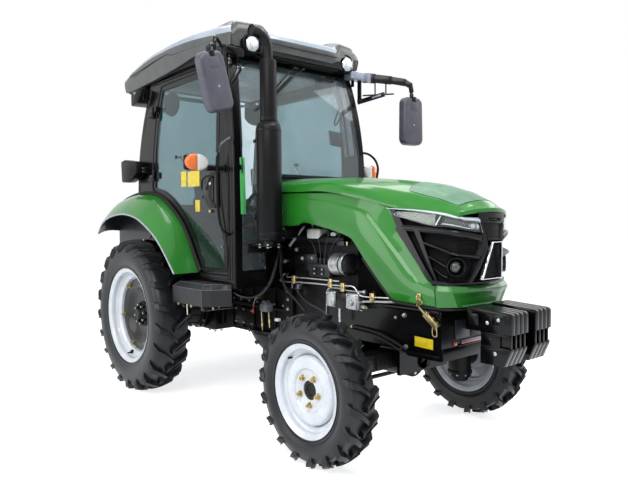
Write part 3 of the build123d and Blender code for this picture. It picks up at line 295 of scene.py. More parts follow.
def piece(name, bm, body, slot, *finishes, stands_for=(), crease=32):
    """Make a bmesh a piece of the tractor that moves with one of its bodies."""
    bmesh.ops.recalc_face_normals(bm, faces=bm.faces)
    for face in bm.faces:
        face.smooth = True
    mesh = bpy.data.meshes.new(name)
    bm.to_mesh(mesh)
    bm.free()
    mesh.set_sharp_from_angle(angle=radians(crease))
    for made in finishes:
        mesh.materials.append(made)
    thing = bpy.data.objects.new(name, mesh)
    scene.collection.objects.link(thing)
    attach(thing, body)
    if stands_for:
        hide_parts(*stands_for)
    return thing


cast_black = finish(
    "cast_black", (14, 14, 16), 0.46, coat=0.04, vary=0.2, patch=16, grain=620, bump=0.3, shine=0.16
)
frame_black = finish(
    "frame_black", (7, 7, 9), 0.24, coat=0.07, vary=0.1, patch=9, grain=700, bump=0.03, shine=0.18
)
zinc = finish("zinc", (196, 198, 196), 0.32, metal=1.0, vary=0.1, patch=60, grain=400, bump=0.08)
dress(cast_black, "engine_block", "transmission_case", "rear_axle_housing", "front_axle_beam")
dress(frame_black, "front_frame", "front_drive_shaft")

axle = ahead(0, 0, REAR_AXLE_Z)
bm = bmesh.new()
for s in SIDES:
    wall = s * 0.15
    # upright ribs, the lengthwise bolting flange and the side cover
    for i in range(6):
        x = 0.3 + 0.125 * i
        slab(bm, (x, wall - 0.004 * s, 0.44), (x + 0.012, wall + 0.011 * s, 0.72))
    slab(bm, (0.24, wall - 0.004 * s, 0.6), (1.05, wall + 0.016 * s, 0.618), 0, 0.004)
    slab(bm, (0.48, wall - 0.004 * s, 0.47), (0.7, wall + 0.02 * s, 0.585), 0, 0.008)
    for x in (0.495, 0.59, 0.685):
        for z in (0.483, 0.572):
            bolt(bm, (x, wall + 0.02 * s, z), (0, s, 0), 0.008, 1)
    for i in range(9):
        bolt(bm, (0.27 + 0.095 * i, wall + 0.016 * s, 0.64), (0, s, 0), 0.008, 1)
    # clutch housing flange and its ring of bolts
    for z in (0.51, 0.57, 0.63, 0.69, 0.74):
        bolt(bm, (1.105, s * 0.188, z), (0, s, 0), 0.01, 1)
    # rear axle trumpets: flange, drain boss and ribs along the tube
    for y, radius in ((0.192, 0.15), (0.214, 0.132)):
        rod(
            bm, axle + off_axle(0, s * (y - 0.006), 0), axle + off_axle(0, s * (y + 0.012), 0), radius,
            sides=40, edge=0.003
        )
    for angle in turns(10):
        bolt(bm, axle + off_axle(0.138, s * 0.204, angle), (0, s, 0), 0.009, 1)
    inner, outer = s * 0.226, s * 0.36
    rod(bm, axle + off_axle(0, inner, 0), axle + off_axle(0, outer, 0), 0.118, tip=0.086, sides=36)
    for angle in turns(8, pi / 8):
        rod(bm, axle + off_axle(0.12, inner, angle), axle + off_axle(0.084, outer, angle), 0.006, sides=8)
    inner = s * 0.486
    rod(bm, axle + off_axle(0, inner, 0), axle + off_axle(0, s * 0.512, 0), 0.102, sides=36, edge=0.004)
    for angle in turns(8):
        bolt(bm, axle + off_axle(0.091, inner, angle), (0, -s, 0), 0.008, 1)
piece("driveline_fittings", bm, "chassis", "casting", cast_black, zinc)

# ---- tyres
# Moulded rubber with bars that slope from the middle of the tread over both
# shoulders, a smooth sidewall, and a bead ring that sits on the rim.
HANDS = ((1, "left"), (-1, "right"))


def spun(bm, profile, centre, axis, paint=0, steps=48, closed=False):
    """A turned shape: profile points are (radius, distance along the axis from centre)."""
    shape = bmesh.new()
    dots = [shape.verts.new((radius, 0, along)) for radius, along in profile]
    ends = zip(dots, dots[1:] + dots[:1]) if closed else zip(dots, dots[1:])
    lines = [shape.edges.new(pair) for pair in ends]
    bmesh.ops.spin(
        shape, geom=dots + lines, cent=(0, 0, 0), axis=(0, 0, 1), angle=2 * pi, steps=steps, use_merge=True
    )
    bmesh.ops.remove_doubles(shape, verts=shape.verts, dist=1e-5)
    bmesh.ops.recalc_face_normals(shape, faces=shape.faces)
    turn = Vector(axis).to_track_quat("Z", "Y").to_matrix().to_4x4()
    merge(bm, shape, paint, Matrix.Translation(at(centre)) @ turn)


def along_route(route, t):
    """The place a share t of the way along a list of evenly spaced rows."""
    at_row = min(max(t, 0.0), 1.0) * (len(route) - 1)
    row = min(int(at_row), len(route) - 2)
    rest = at_row - row
    return [a + (b - a) * rest for a, b in zip(route[row], route[row + 1])]


BAR_EDGE = 0.0035


def tyre_bar(bm, route, twist, width, side, tread_r):
    """One bar. Route rows are: across, radius, lean outwards, height, share of the width."""
    shape = bmesh.new()
    bmesh.ops.create_cube(shape, size=1)
    lengthwise = [e for e in shape.edges if abs(e.verts[0].co.x - e.verts[1].co.x) > 0.5]
    bmesh.ops.subdivide_edges(shape, edges=lengthwise, cuts=2 * len(route) - 3)
    rims = [e for e in shape.edges if min(v.co.z for v in e.verts) > 0.4]
    rims = [e for e in rims if any(f.normal.z < 0.5 for f in e.link_faces)]
    rims = [e for e in rims if abs(e.verts[0].co.y - e.verts[1].co.y) < 0.5 or abs(e.verts[0].co.x) > 0.4]
    for vert in shape.verts:
        across, radius, lean, height, share = along_route(route, vert.co.x + 0.5)
        up = (height + 0.006) * (vert.co.z + 0.5) - 0.006
        half_width = 0.5 * width * share * (1.3 if vert.co.z < 0 else 1.0)
        angle = twist * (vert.co.x + 0.5) ** 0.8 + 2 * vert.co.y * half_width / tread_r
        out = radius + up * cos(lean)
        vert.co = Vector((out * cos(angle), side * (across + up * sin(lean)), out * sin(angle)))
    ease(shape, rims, BAR_EDGE)
    bmesh.ops.recalc_face_normals(shape, faces=shape.faces)
    merge(bm, shape)


def tyre(name, body, centre, half, radius, seat, bars, bar_width, depth, roll):
    """A tyre about its axle, from its half width, radius and bead seat."""
    lip = seat + 0.02
    tread = radius - depth
    wall = tread - lip
    bead = half - 0.025
    flank = [
        (seat + 0.002, bead - 0.004),
        (lip - 0.004, bead),
        (lip + 0.004, bead + 0.006),
        (lip + 0.012, bead + 0.008),
        (lip + 0.014, bead + 0.013),
        (lip + 0.02, bead + 0.013),
        (lip + 0.022, bead + 0.011),
        (lip + 0.32 * wall, half - 0.004),
        (lip + 0.5 * wall, half),
        (lip + 0.68 * wall, half - 0.003),
        (lip + 0.84 * wall, half - 0.011),
        (lip + 0.94 * wall, 0.82 * half),
        (lip + 0.985 * wall, 0.62 * half),
    ]
    profile = flank + [(tread, 0.0)] + [(r, -y) for r, y in reversed(flank)]
    bm = bmesh.new()
    spun(bm, profile, Vector(), (0, 1, 0), steps=96)
    route = (
        (-0.1 * half, tread, 0.0, depth, 0.8),
        (0.2 * half, tread, 0.02, depth, 0.9),
        (0.48 * half, tread - 0.003, 0.12, depth, 1.0),
        (0.8 * half, tread - 0.06 * wall - 0.002, 0.42, 0.94 * depth, 1.15),
        (0.93 * half, tread - 0.16 * wall, 0.95, 0.42 * depth, 1.0),
        (half - 0.002, tread - 0.34 * wall, 1.35, 0.0, 0.35),
    )
    for side in SIDES:
        ring = bmesh.new()
        tyre_bar(ring, route, 1.05 * half / radius, bar_width, side, tread)
        if side < 0:
            bmesh.ops.rotate(
                ring, verts=ring.verts, cent=(0, 0, 0), matrix=Matrix.Rotation(pi / bars, 3, "Y")
            )
        bmesh.ops.spin(
            ring,
            geom=ring.verts[:] + ring.edges[:] + ring.faces[:],
            cent=(0, 0, 0),
            axis=(0, 1, 0),
            angle=2 * pi * (bars - 1) / bars,
            steps=bars - 1,
            use_duplicate=True,
        )
        merge(bm, ring)
    bm.transform(Matrix.Translation(centre) @ Matrix.Rotation(roll, 4, "Y"))
    piece(name + "_lugged", bm, body, "tyre_rubber", tyre_black, stands_for=[name], crease=40)


tyre_black = finish(
    "tyre_black", (25, 26, 30), 0.4, vary=0.16, patch=11, grain=340, bump=0.18, dark=(16, 17, 20),
    shine=0.36
)
REAR_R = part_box("rear_tyre_left")[1].z / 2
FRONT_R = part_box("front_tyre_left")[1].z / 2
REAR_MID_Y = (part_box("rear_tyre_left")[0].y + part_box("rear_tyre_left")[1].y) / 2
FRONT_MID_Y = (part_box("front_tyre_left")[0].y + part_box("front_tyre_left")[1].y) / 2
REAR_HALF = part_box("rear_tyre_left")[1].y - REAR_MID_Y
FRONT_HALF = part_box("front_tyre_left")[1].y - FRONT_MID_Y
FRONT_AXLE_X = (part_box("front_tyre_left")[0].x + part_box("front_tyre_left")[1].x) / 2
REAR_SEAT_R = 0.305
FRONT_SEAT_R = 0.205
for s, hand in HANDS:
    rear_hub = Vector((REAR_AXLE_X, s * REAR_MID_Y, REAR_R))
    tyre(
        f"rear_tyre_{hand}", f"rear_wheel_{hand}", rear_hub, REAR_HALF, REAR_R, REAR_SEAT_R, 21, 0.03,
        0.029, 0.1
    )
    front_hub = Vector((FRONT_AXLE_X, s * FRONT_MID_Y, FRONT_R))
    tyre(
        f"front_tyre_{hand}", f"front_wheel_{hand}", front_hub, FRONT_HALF, FRONT_R, FRONT_SEAT_R, 18,
        0.031, 0.025, 0.05
    )

# ---- rims and wheel discs
# Rolled steel rims sprayed white, with a pressed disc welded in at the front
# and a black dished disc bolted in at the rear, held by gold-passivated nuts.
brass_zinc = finish(
    "brass_zinc", (196, 178, 128), 0.36, metal=1.0, vary=0.14, patch=50, grain=400, bump=0.08
)
rubber = finish("rubber", (14, 14, 15), 0.6, shine=0.3, vary=0.15, patch=30, grain=700, bump=0.12)
wheel_white = finish(
    "wheel_white", (218, 222, 228), 0.28, coat=0.6, vary=0.03, patch=12, grain=120, bump=0.03
)
wheel_black = finish(
    "wheel_black", (17, 17, 19), 0.3, coat=0.14, shine=0.3, vary=0.14, patch=20, grain=240, bump=0.12
)
hub_black = finish("hub_black", (10, 10, 12), 0.45, shine=0.25, vary=0.2, patch=40, grain=500, bump=0.3)


def rim_profile(half, seat, well):
    """Closed section of a drop-centre rim with a rolled edge: radius, distance from the middle."""
    outer = [
        (seat + 0.0215, half - 0.004),
        (seat + 0.0225, half - 0.0005),
        (seat + 0.021, half + 0.0005),
        (seat + 0.015, half - 0.002),
        (seat + 0.006, half - 0.006),
        (seat - 0.004, half - 0.012),
        (seat - 0.008, half - 0.02),
        (seat - 0.0085, 0.52 * half),
        (well - 0.002, 0.38 * half),
        (well - 0.008, 0.31 * half),
    ]
    inner = [
        (well, 0.3 * half),
        (seat - 0.001, 0.5 * half),
        (seat, half - 0.01),
        (seat + 0.006, half - 0.0065),
    ]
    face = outer + [(r, -y) for r, y in reversed(outer)]
    back = [(r, -y) for r, y in inner] + list(reversed(inner))
    return face + back


for s, hand in HANDS:
    out = Vector((0, s, 0))
    hub = Vector((FRONT_AXLE_X, s * FRONT_MID_Y, FRONT_R))
    bm = bmesh.new()
    spun(bm, rim_profile(0.07, FRONT_SEAT_R, 0.181), hub, out, steps=72, closed=True)
    disc = [
        (0.0465, 0.026), (0.0465, 0.034), (0.049, 0.0365), (0.096, 0.0365), (0.101, 0.0385),
        (0.105, 0.045), (0.111, 0.048), (0.15, 0.0485), (0.16, 0.0455), (0.166, 0.039),
        (0.1685, 0.028), (0.169, 0.015), (0.174, 0.008), (0.174, -0.006), (0.164, -0.006),
        (0.161, 0.018), (0.156, 0.036), (0.11, 0.04), (0.099, 0.029), (0.094, 0.027),
    ]
    spun(bm, disc, hub, out, steps=72, closed=True)
    # hub end inside the bore, nuts with cone washers, and the valve
    spun(bm, [(0.0, 0.024), (0.026, 0.024), (0.03, 0.031), (0.0458, 0.031), (0.0458, -0.03)], hub, out, 2)
    for angle in turns(5, -0.23):
        seat = hub + off_axle(0.07, s * 0.0365, angle)
        rod(bm, seat - out * 0.001, seat + out * 0.005, 0.0165, 1, tip=0.0135)
        rod(bm, seat + out * 0.004, seat + out * 0.018, 0.0125, 1, sides=6, edge=0.0015)
        rod(bm, seat + out * 0.017, seat + out * 0.027, 0.0065, 1, sides=14, edge=0.001)
    valve = hub + Vector((-0.136, s * 0.045, 0.136))
    rod(bm, valve - out * 0.03, valve + out * 0.012, 0.006, 2, tip=0.0045, sides=12, edge=0.001)
    piece(
        f"front_wheel_steel_{hand}", bm, f"front_wheel_{hand}", "wheel_white", wheel_white, brass_zinc,
        rubber, stands_for=[f"front_rim_{hand}"]
    )

    hub = Vector((REAR_AXLE_X, s * REAR_MID_Y, REAR_R))
    bm = bmesh.new()
    spun(bm, rim_profile(0.105, REAR_SEAT_R, 0.268), hub, out, steps=84, closed=True)
    # six lugs welded round the well carry the disc
    for angle in turns(6, 0.1):
        turn = Matrix.Translation(hub) @ Matrix.Rotation(-angle, 4, "Y")
        slab(bm, (0.222, s * 0.002, -0.028), (0.262, s * 0.012, 0.028), 0, 0.004, turn)
    valve = hub + Vector((-0.06, s * 0.052, -0.276))
    rod(bm, valve - out * 0.012, valve + out * 0.004, 0.018, 2, edge=0.002)
    rod(bm, valve, valve + out * 0.03, 0.006, 2, tip=0.0045, sides=12, edge=0.001)
    piece(
        f"rear_rim_steel_{hand}", bm, f"rear_wheel_{hand}", "wheel_white", wheel_white, brass_zinc, rubber,
        stands_for=[f"rear_rim_{hand}"]
    )

    bm = bmesh.new()
    dish = [
        (0.25, 0.012), (0.25, 0.019), (0.246, 0.0215), (0.206, 0.0215), (0.192, 0.018),
        (0.18, 0.008), (0.152, -0.012), (0.14, -0.016), (0.086, -0.016), (0.086, -0.025),
        (0.144, -0.025), (0.156, -0.02), (0.186, 0.0), (0.198, 0.011), (0.206, 0.012),
    ]
    spun(bm, dish, hub, out, steps=72, closed=True)
    boss = [
        (0.0, 0.034), (0.03, 0.034), (0.036, 0.028), (0.04, 0.006), (0.047, -0.002),
        (0.084, -0.004), (0.088, -0.008), (0.088, -0.118), (0.0, -0.118),
    ]
    spun(bm, boss, hub, out, 2)
    for angle in turns(8, 0.2):
        seat = hub + off_axle(0.066, -s * 0.003, angle)
        rod(bm, seat, seat + out * 0.014, 0.0125, 2, sides=6, edge=0.0015)
        rod(bm, seat + out * 0.013, seat + out * 0.026, 0.007, 3, sides=12, edge=0.001)
    for angle in turns(6, 0.1):
        seat = hub + off_axle(0.232, s * 0.0215, angle)
        rod(bm, seat, seat + out * 0.004, 0.017, 1)
        rod(bm, seat + out * 0.003, seat + out * 0.016, 0.0135, 1, sides=6, edge=0.0015)
        rod(bm, seat + out * 0.015, seat + out * 0.026, 0.007, 1, sides=12, edge=0.001)
    rod(bm, hub - out * 0.11, hub - out * 0.2, 0.034, 3, sides=24)
    piece(
        f"rear_disc_steel_{hand}", bm, f"rear_wheel_{hand}", "wheel_black", wheel_black, brass_zinc,
        hub_black, zinc, stands_for=[f"rear_disc_{hand}"]
    )

# ---- front axle and steering
# Cast steering knuckles hang under the ends of the axle beam, each with a
# bolted kingpin case, and a tie rod with booted ball ends joins their arms.
UP = Vector((0, 0, 1))


def sided(s, route):
    """A route given for the left side, as it is for s = 1 and on the right for s = -1."""
    return [(x, s * y, z) for x, y, z in route]


def pipe(bm, route, radius, paint=0, sides=2, straight=False):
    """A round pipe or hose along a smooth route."""
    curve = bpy.data.curves.new("route", "CURVE")
    curve.dimensions = "3D"
    curve.bevel_depth = radius
    curve.bevel_resolution = sides
    curve.use_fill_caps = True
    spline = curve.splines.new("POLY" if straight else "NURBS")
    spline.points.add(len(route) - 1)
    for point, place in zip(spline.points, route):
        point.co = (*at(place), 1)
    if not straight:
        spline.order_u = 3
        spline.use_endpoint_u = True
        spline.resolution_u = 6
    holder = bpy.data.objects.new("route", curve)
    mesh = bpy.data.meshes.new_from_object(holder)
    shape = bmesh.new()
    shape.from_mesh(mesh)
    bpy.data.objects.remove(holder)
    bpy.data.curves.remove(curve)
    bpy.data.meshes.remove(mesh)
    merge(bm, shape, paint)


dress(cast_black, "knuckle_left", "knuckle_right")
dress(frame_black, "tie_rod")
KINGPIN_X, KINGPIN_Y = 1.861, 0.53
TIE_X, TIE_Z = 1.733, 0.307
PIVOT_Z = 0.438  # the beam's pivot on the front frame


def bolt_ring(bm, centre, axis, radius, count, size, paint=1):
    """Bolts round a flange, their heads standing out along its axis."""
    turn = Vector(axis).to_track_quat("Z", "Y").to_matrix()
    for angle in turns(count, pi / count):
        offset = turn @ Vector((radius * cos(angle), radius * sin(angle), 0))
        bolt(bm, at(centre) + offset, axis, size, paint)


for s, hand in HANDS:
    bm = bmesh.new()
    foot = ahead(KINGPIN_X, s * KINGPIN_Y, 0)
    case = [
        (0.0, 0.206), (0.04, 0.206), (0.046, 0.212), (0.052, 0.242), (0.058, 0.248), (0.0705, 0.25),
        (0.0725, 0.254), (0.0725, 0.268), (0.07, 0.272), (0.0665, 0.274), (0.067, 0.3), (0.0, 0.301),
    ]
    spun(bm, case, foot, UP, steps=40)
    bolt_ring(bm, foot + UP * 0.251, (0, 0, -1), 0.062, 8, 0.007)
    collar = [
        (0.0665, 0.395), (0.074, 0.398), (0.0755, 0.402), (0.0755, 0.42), (0.0735, 0.424), (0.0665, 0.426)
    ]
    spun(bm, collar, foot, UP, steps=40)
    bolt_ring(bm, foot + UP * 0.424, UP, 0.069, 8, 0.0055)
    rod(bm, foot + UP * 0.43, foot + UP * 0.452, 0.02, tip=0.016, edge=0.003)
    for z in (0.33, 0.37):
        slab(bm, foot + Vector((-0.072, -0.012, z)), foot + Vector((0.072, 0.012, z + 0.01)))
    spun(bm, [(0.06, 0.0), (0.083, 0.002), (0.085, 0.006), (0.085, 0.014), (0.06, 0.016)],
         (KINGPIN_X, s * 0.575, 0.43), (0, s, 0), steps=40)
    piece(f"knuckle_case_{hand}", bm, f"knuckle_{hand}", "casting", cast_black, zinc)

bm = bmesh.new()
for s in SIDES:
    ball = ahead(TIE_X, s * 0.5, TIE_Z)
    boot = [
        (0.0, 0.029), (0.011, 0.028), (0.013, 0.022), (0.0165, 0.019), (0.0145, 0.016), (0.019, 0.012),
        (0.0, 0.011)
    ]
    spun(bm, boot, ball, UP, 1, steps=24)
    rod(bm, (TIE_X, s * 0.468, TIE_Z), (TIE_X, s * 0.424, TIE_Z), 0.0155, sides=6, edge=0.002)
    rod(bm, (TIE_X, s * 0.422, TIE_Z), (TIE_X, s * 0.412, TIE_Z), 0.0175, 2, sides=6, edge=0.001)
    rod(bm, (TIE_X, s * 0.38, TIE_Z), (TIE_X, s * 0.4, TIE_Z), 0.0145, 2, sides=24)
piece("tie_rod_ends", bm, "tie_rod", "bare_steel", frame_black, rubber, zinc)

bm = bmesh.new()
nose = [
    (0.0, 0.017), (0.03, 0.016), (0.05, 0.01), (0.058, 0.004), (0.086, 0.003), (0.0875, 0.0),
    (0.0875, -0.02)
]
spun(bm, nose, (1.955, 0, 0.43), (1, 0, 0), steps=40)
bolt_ring(bm, (1.957, 0, 0.43), (1, 0, 0), 0.073, 10, 0.008)
bolt(bm, (1.968, 0, 0.405), (1, 0, 0), 0.01, 1)
for s in SIDES:
    spun(bm, [(0.0, 0.0), (0.058, 0.0), (0.061, 0.003), (0.061, 0.013), (0.058, 0.016), (0.0, 0.016)],
         (KINGPIN_X, s * 0.452, PIVOT_Z), (0, -s, 0), steps=36)
    bolt_ring(bm, (KINGPIN_X, s * 0.437, PIVOT_Z), (0, -s, 0), 0.05, 8, 0.006)
    for x in (1.701, 2.021):
        out = 1 if x > KINGPIN_X else -1
        rod(bm, (x, 0, PIVOT_Z), (x + 0.006 * out, 0, PIVOT_Z), 0.048, sides=32, edge=0.002)
    for y in (0.14, 0.24, 0.34):
        slab(bm, (1.806, s * y, 0.4), (1.916, s * (y + 0.008), 0.476))
    # steering cylinder's oil hoses, looped from the frame down to the axle
    hose = [
        (1.7, 0.212, 0.6), (1.86, 0.218, 0.598), (1.97, 0.222, 0.575), (2.05, 0.215, 0.545),
        (2.08, 0.206, 0.53)
    ]
    pipe(bm, sided(s, hose), 0.0065, 2)
    pipe(bm, [(x - 0.02, s * (y + 0.001), z - 0.018) for x, y, z in hose], 0.0065, 2)
    bolt(bm, (2.071, s * 0.2, 0.541), (0, s, 0), 0.011, 1)
piece("front_axle_fittings", bm, "chassis", "casting", cast_black, zinc, rubber)

# ---- front frame
# Two thick steel side rails and a cross box at the nose, welded, painted
# gloss black and bolted to the engine; the plates on it are left blank.


def at_y(y, outline):
    """An outline of (x, z) places in the plane along the tractor at this y."""
    return [(x, y, z) for x, z in outline]


def cut_plate(bm, outline, depth, paint=0, edge=0.002, rounds=2):
    """A plate of any outline: the outline's places in space, thickened by the vector depth."""
    shape = bmesh.new()
    face = shape.faces.new([shape.verts.new(at(place)) for place in outline])
    grown = bmesh.ops.extrude_face_region(shape, geom=[face])
    moved = [item for item in grown["geom"] if isinstance(item, bmesh.types.BMVert)]
    bmesh.ops.translate(shape, vec=depth, verts=moved)
    bmesh.ops.recalc_face_normals(shape, faces=shape.faces)
    if edge:
        ease(shape, shape.edges[:], edge, rounds)
    merge(bm, shape, paint)


panel_grey = finish(
    "panel_grey", (40, 42, 48), 0.42, coat=0.1, shine=0.35, vary=0.1, patch=14, grain=500, bump=0.06
)
plate_yellow = finish("plate_yellow", (232, 204, 28), 0.35, coat=0.5, vary=0.05, patch=40, grain=300)
reflector_red = finish("reflector_red", (196, 78, 58), 0.25, coat=0.8, patch=300, grain=900, bump=0.1)
reflector_blue = finish("reflector_blue", (62, 104, 142), 0.3, coat=0.8, patch=300, grain=900, bump=0.1)
bm = bmesh.new()
for s in SIDES:
    face = s * 0.2
    for x, z, size in (
        (2.004, 0.681, 0.007), (2.064, 0.699, 0.011), (1.6, 0.7, 0.011), (1.68, 0.7, 0.011),
        (1.76, 0.7, 0.011)
    ):
        bolt(bm, (x, face, z), (0, s, 0), size, 1)
    bolt(bm, (1.689, face, 0.594), (0, s, 0), 0.01, 2)
    slab(bm, (1.52, face - 0.003 * s, 0.722), (2.285, face + 0.01 * s, 0.742), 0, 0.004)
    slab(bm, (1.9, face - 0.003 * s, 0.512), (2.285, face + 0.006 * s, 0.524))
    for x in (2.276, 2.292):
        slab(bm, (x, s * 0.198, 0.708), (x + 0.009, s * 0.216, 0.738), 0, 0.002)
    cut_plate(
        bm,
        at_y(face + 0.002 * s, ((2.13, 0.555), (2.243, 0.552), (2.243, 0.601), (2.13, 0.604))),
        (0, s * 0.0015, 0), 3, 0.0005
    )
# nose panel with its folded edge, step below, red and blue reflective strips
slab(bm, (2.3, -0.112, 0.6), (2.308, 0.0, 0.693), 4)
slab(bm, (2.298, 0.0, 0.6), (2.306, 0.108, 0.693))
slab(bm, (2.298, -0.212, 0.505), (2.311, 0.212, 0.562), 0, 0.004)
slab(bm, (2.298, -0.095, 0.562), (2.309, 0.105, 0.572), 0, 0.002)
slab(bm, (2.3, -0.064, 0.573), (2.3095, 0.1, 0.585), 5, 0.001)
slab(bm, (2.3, -0.064, 0.585), (2.3095, 0.1, 0.592), 6, 0.001)
slab(bm, (2.3, -0.124, 0.57), (2.3105, -0.104, 0.588), 5)
bolt_ring(bm, (2.3005, 0, 0.725), (1, 0, 0), 0.03, 4, 0.008)
# weight carrier: its two side cheeks and the cross tube's end caps
for s in SIDES:
    slab(bm, (2.302, s * 0.026, 0.652), (2.435, s * 0.034, 0.742))
    slab(bm, (2.434, s * 0.176, 0.7), (2.482, s * 0.184, 0.75))
piece("front_frame_fittings", bm, "chassis", "chassis_black", frame_black, zinc, brass_zinc, plate_yellow,
      panel_grey, reflector_red, reflector_blue)

# ---- hood latches
# A zinc-plated wire loop and toggle each side pull the nose of the hood
# down; the loop drops from a hook riveted to the hood's lower corner.
for s, hand in HANDS:
    bm = bmesh.new()
    slab(bm, (2.196, s * 0.262, 0.786), (2.222, s * 0.268, 0.826), 0, 0.002)
    pipe(
        bm,
        sided(s, (
                (2.208, 0.266, 0.818), (2.208, 0.282, 0.818), (2.21, 0.284, 0.8), (2.212, 0.272, 0.796)
            )),
        0.0035
    )
    for z in (0.794, 0.82):
        rod(bm, (2.201, s * 0.266, z), (2.201, s * 0.2705, z), 0.0032, tip=0.002, sides=12)
    piece(f"hood_hook_{hand}", bm, "hood", "bare_steel", brass_zinc)
    bm = bmesh.new()
    loop = (
        (2.216, 0.277, 0.803), (2.245, 0.272, 0.788), (2.202, 0.266, 0.768), (2.214, 0.25, 0.748),
        (2.226, 0.234, 0.722)
    )
    pipe(bm, sided(s, loop), 0.003)
    pipe(bm, [(x - 0.014, s * (y - 0.002), z + 0.004) for x, y, z in loop], 0.003)
    pipe(
        bm,
        sided(s, (
                (2.262, 0.229, 0.668), (2.262, 0.236, 0.634), (2.28, 0.237, 0.622), (2.296, 0.236, 0.634),
                (2.282, 0.229, 0.67)
            )),
        0.003
    )
    start, end = ahead(2.206, s * 0.219, 0.73), ahead(2.284, s * 0.219, 0.664)
    lean = facing(start, end)
    for across in (-0.014, 0.014):
        slab(bm, (-0.006, across - 0.0015, -0.05), (0.012, across + 0.0015, 0.05), 0, 0.001, lean)
    slab(bm, (-0.009, -0.016, -0.046), (-0.006, 0.016, 0.046), 0, 0.001, lean)
    for along in (-0.036, 0.0, 0.03):
        rod(
            bm, lean @ Vector((0.003, -0.02, along)), lean @ Vector((0.003, 0.02, along)), 0.005, sides=12,
            edge=0.001
        )
    slab(bm, (0.006, -0.01, -0.03), (0.016, 0.01, 0.046), 1, 0.003, lean)
    piece(f"hood_latch_{hand}", bm, "chassis", "bare_steel", brass_zinc, zinc)

# ---- front weights
# Eight cast-iron suitcase plates in two blocks of four, hooked over the rail
# and dipped in gloss black, with a waist between their thick top and foot.
weight_black = finish(
    "weight_black", (6, 6, 8), 0.2, coat=0.1, vary=0.15, patch=10, grain=300, bump=0.12, shine=0.18
)
PLATE_THICK = 0.033
PLATE_TOP = (
    (2.482, 0.662), (2.64, 0.668), (2.64, 0.752), (2.632, 0.763), (2.41, 0.776), (2.41, 0.712),
    (2.434, 0.712), (2.434, 0.749), (2.482, 0.749)
)
PLATE_WAIST = ((2.484, 0.604), (2.632, 0.604), (2.632, 0.672), (2.484, 0.672))
PLATE_FOOT = ((2.482, 0.526), (2.603, 0.526), (2.634, 0.596), (2.634, 0.608), (2.482, 0.606))
bm = bmesh.new()
for s in SIDES:
    for i in range(4):
        y = s * (0.047 + 0.035 * i)
        for outline, thick in ((PLATE_TOP, PLATE_THICK), (PLATE_WAIST, 0.014), (PLATE_FOOT, PLATE_THICK)):
            half = thick / 2
            cut_plate(bm, at_y(y - half, outline), (0, thick, 0), 0, 0.003)
        # the waist's solid rear half, where the hook's root is
        slab(bm, (2.484, y - 0.016, 0.6), (2.585, y + 0.016, 0.674))
    face = s * (0.047 + 3 * 0.035 + PLATE_THICK / 2)
    for z in (0.606, 0.664):
        slab(bm, (2.49, face - 0.004 * s, z - 0.004), (2.628, face + 0.002 * s, z + 0.004), 0, 0.0015)
    slab(bm, (2.545, face - 0.004 * s, 0.708), (2.612, face + 0.0025 * s, 0.752), 0, 0.002)
    grip = [(0.0, 0.0015), (0.017, 0.001), (0.02, 0.0035), (0.023, 0.003), (0.024, -0.003)]
    spun(bm, grip, (2.576, face, 0.731), (0, s, 0), steps=28)
    spun(
        bm, [(0.0, 0.007), (0.006, 0.0065), (0.009, 0.003), (0.009, -0.002)], (2.576, face, 0.731),
        (0, s, 0), 1, steps=20
    )
    slab(bm, (2.522, face - 0.002 * s, 0.624), (2.548, face + 0.0012 * s, 0.642), 0, 0.0005)
for x, z in ((2.52, 0.712), (2.56, 0.58)):
    rod(bm, (x, -0.172, z), (x, 0.172, z), 0.009, 1, sides=16, edge=0.001)
rod(bm, (2.52, -0.026, 0.712), (2.52, 0.026, 0.712), 0.015, 1, sides=6, edge=0.002)
slab(bm, (2.49, -0.03, 0.59), (2.545, 0.03, 0.612))
piece("suitcase_weights", bm, "chassis", "casting", weight_black, zinc, stands_for=["front_weights"])

# ---- engine fittings
# What is bolted to the block: a pressed rocker cover, manifolds, injection
# pump and its pipes, filters, alternator, starter, pulleys, hoses and wiring.
alloy = finish("alloy", (182, 186, 188), 0.36, metal=0.9, vary=0.14, patch=30, grain=420, bump=0.15)
hose_black = finish("hose_black", (13, 13, 14), 0.42, coat=0.1, patch=40, grain=900, bump=0.08, shine=0.25)
pump_grey = finish(
    "pump_grey", (52, 54, 58), 0.4, metal=0.4, vary=0.16, patch=30, grain=420, bump=0.2, shine=0.3
)
tag_red = finish("tag_red", (196, 34, 26), 0.4, coat=0.3, vary=0.08, patch=60)
radiator_black = finish(
    "radiator_black", (12, 12, 13), 0.5, shine=0.2, vary=0.2, patch=60, grain=1200, bump=0.5
)
dress(radiator_black, "radiator")

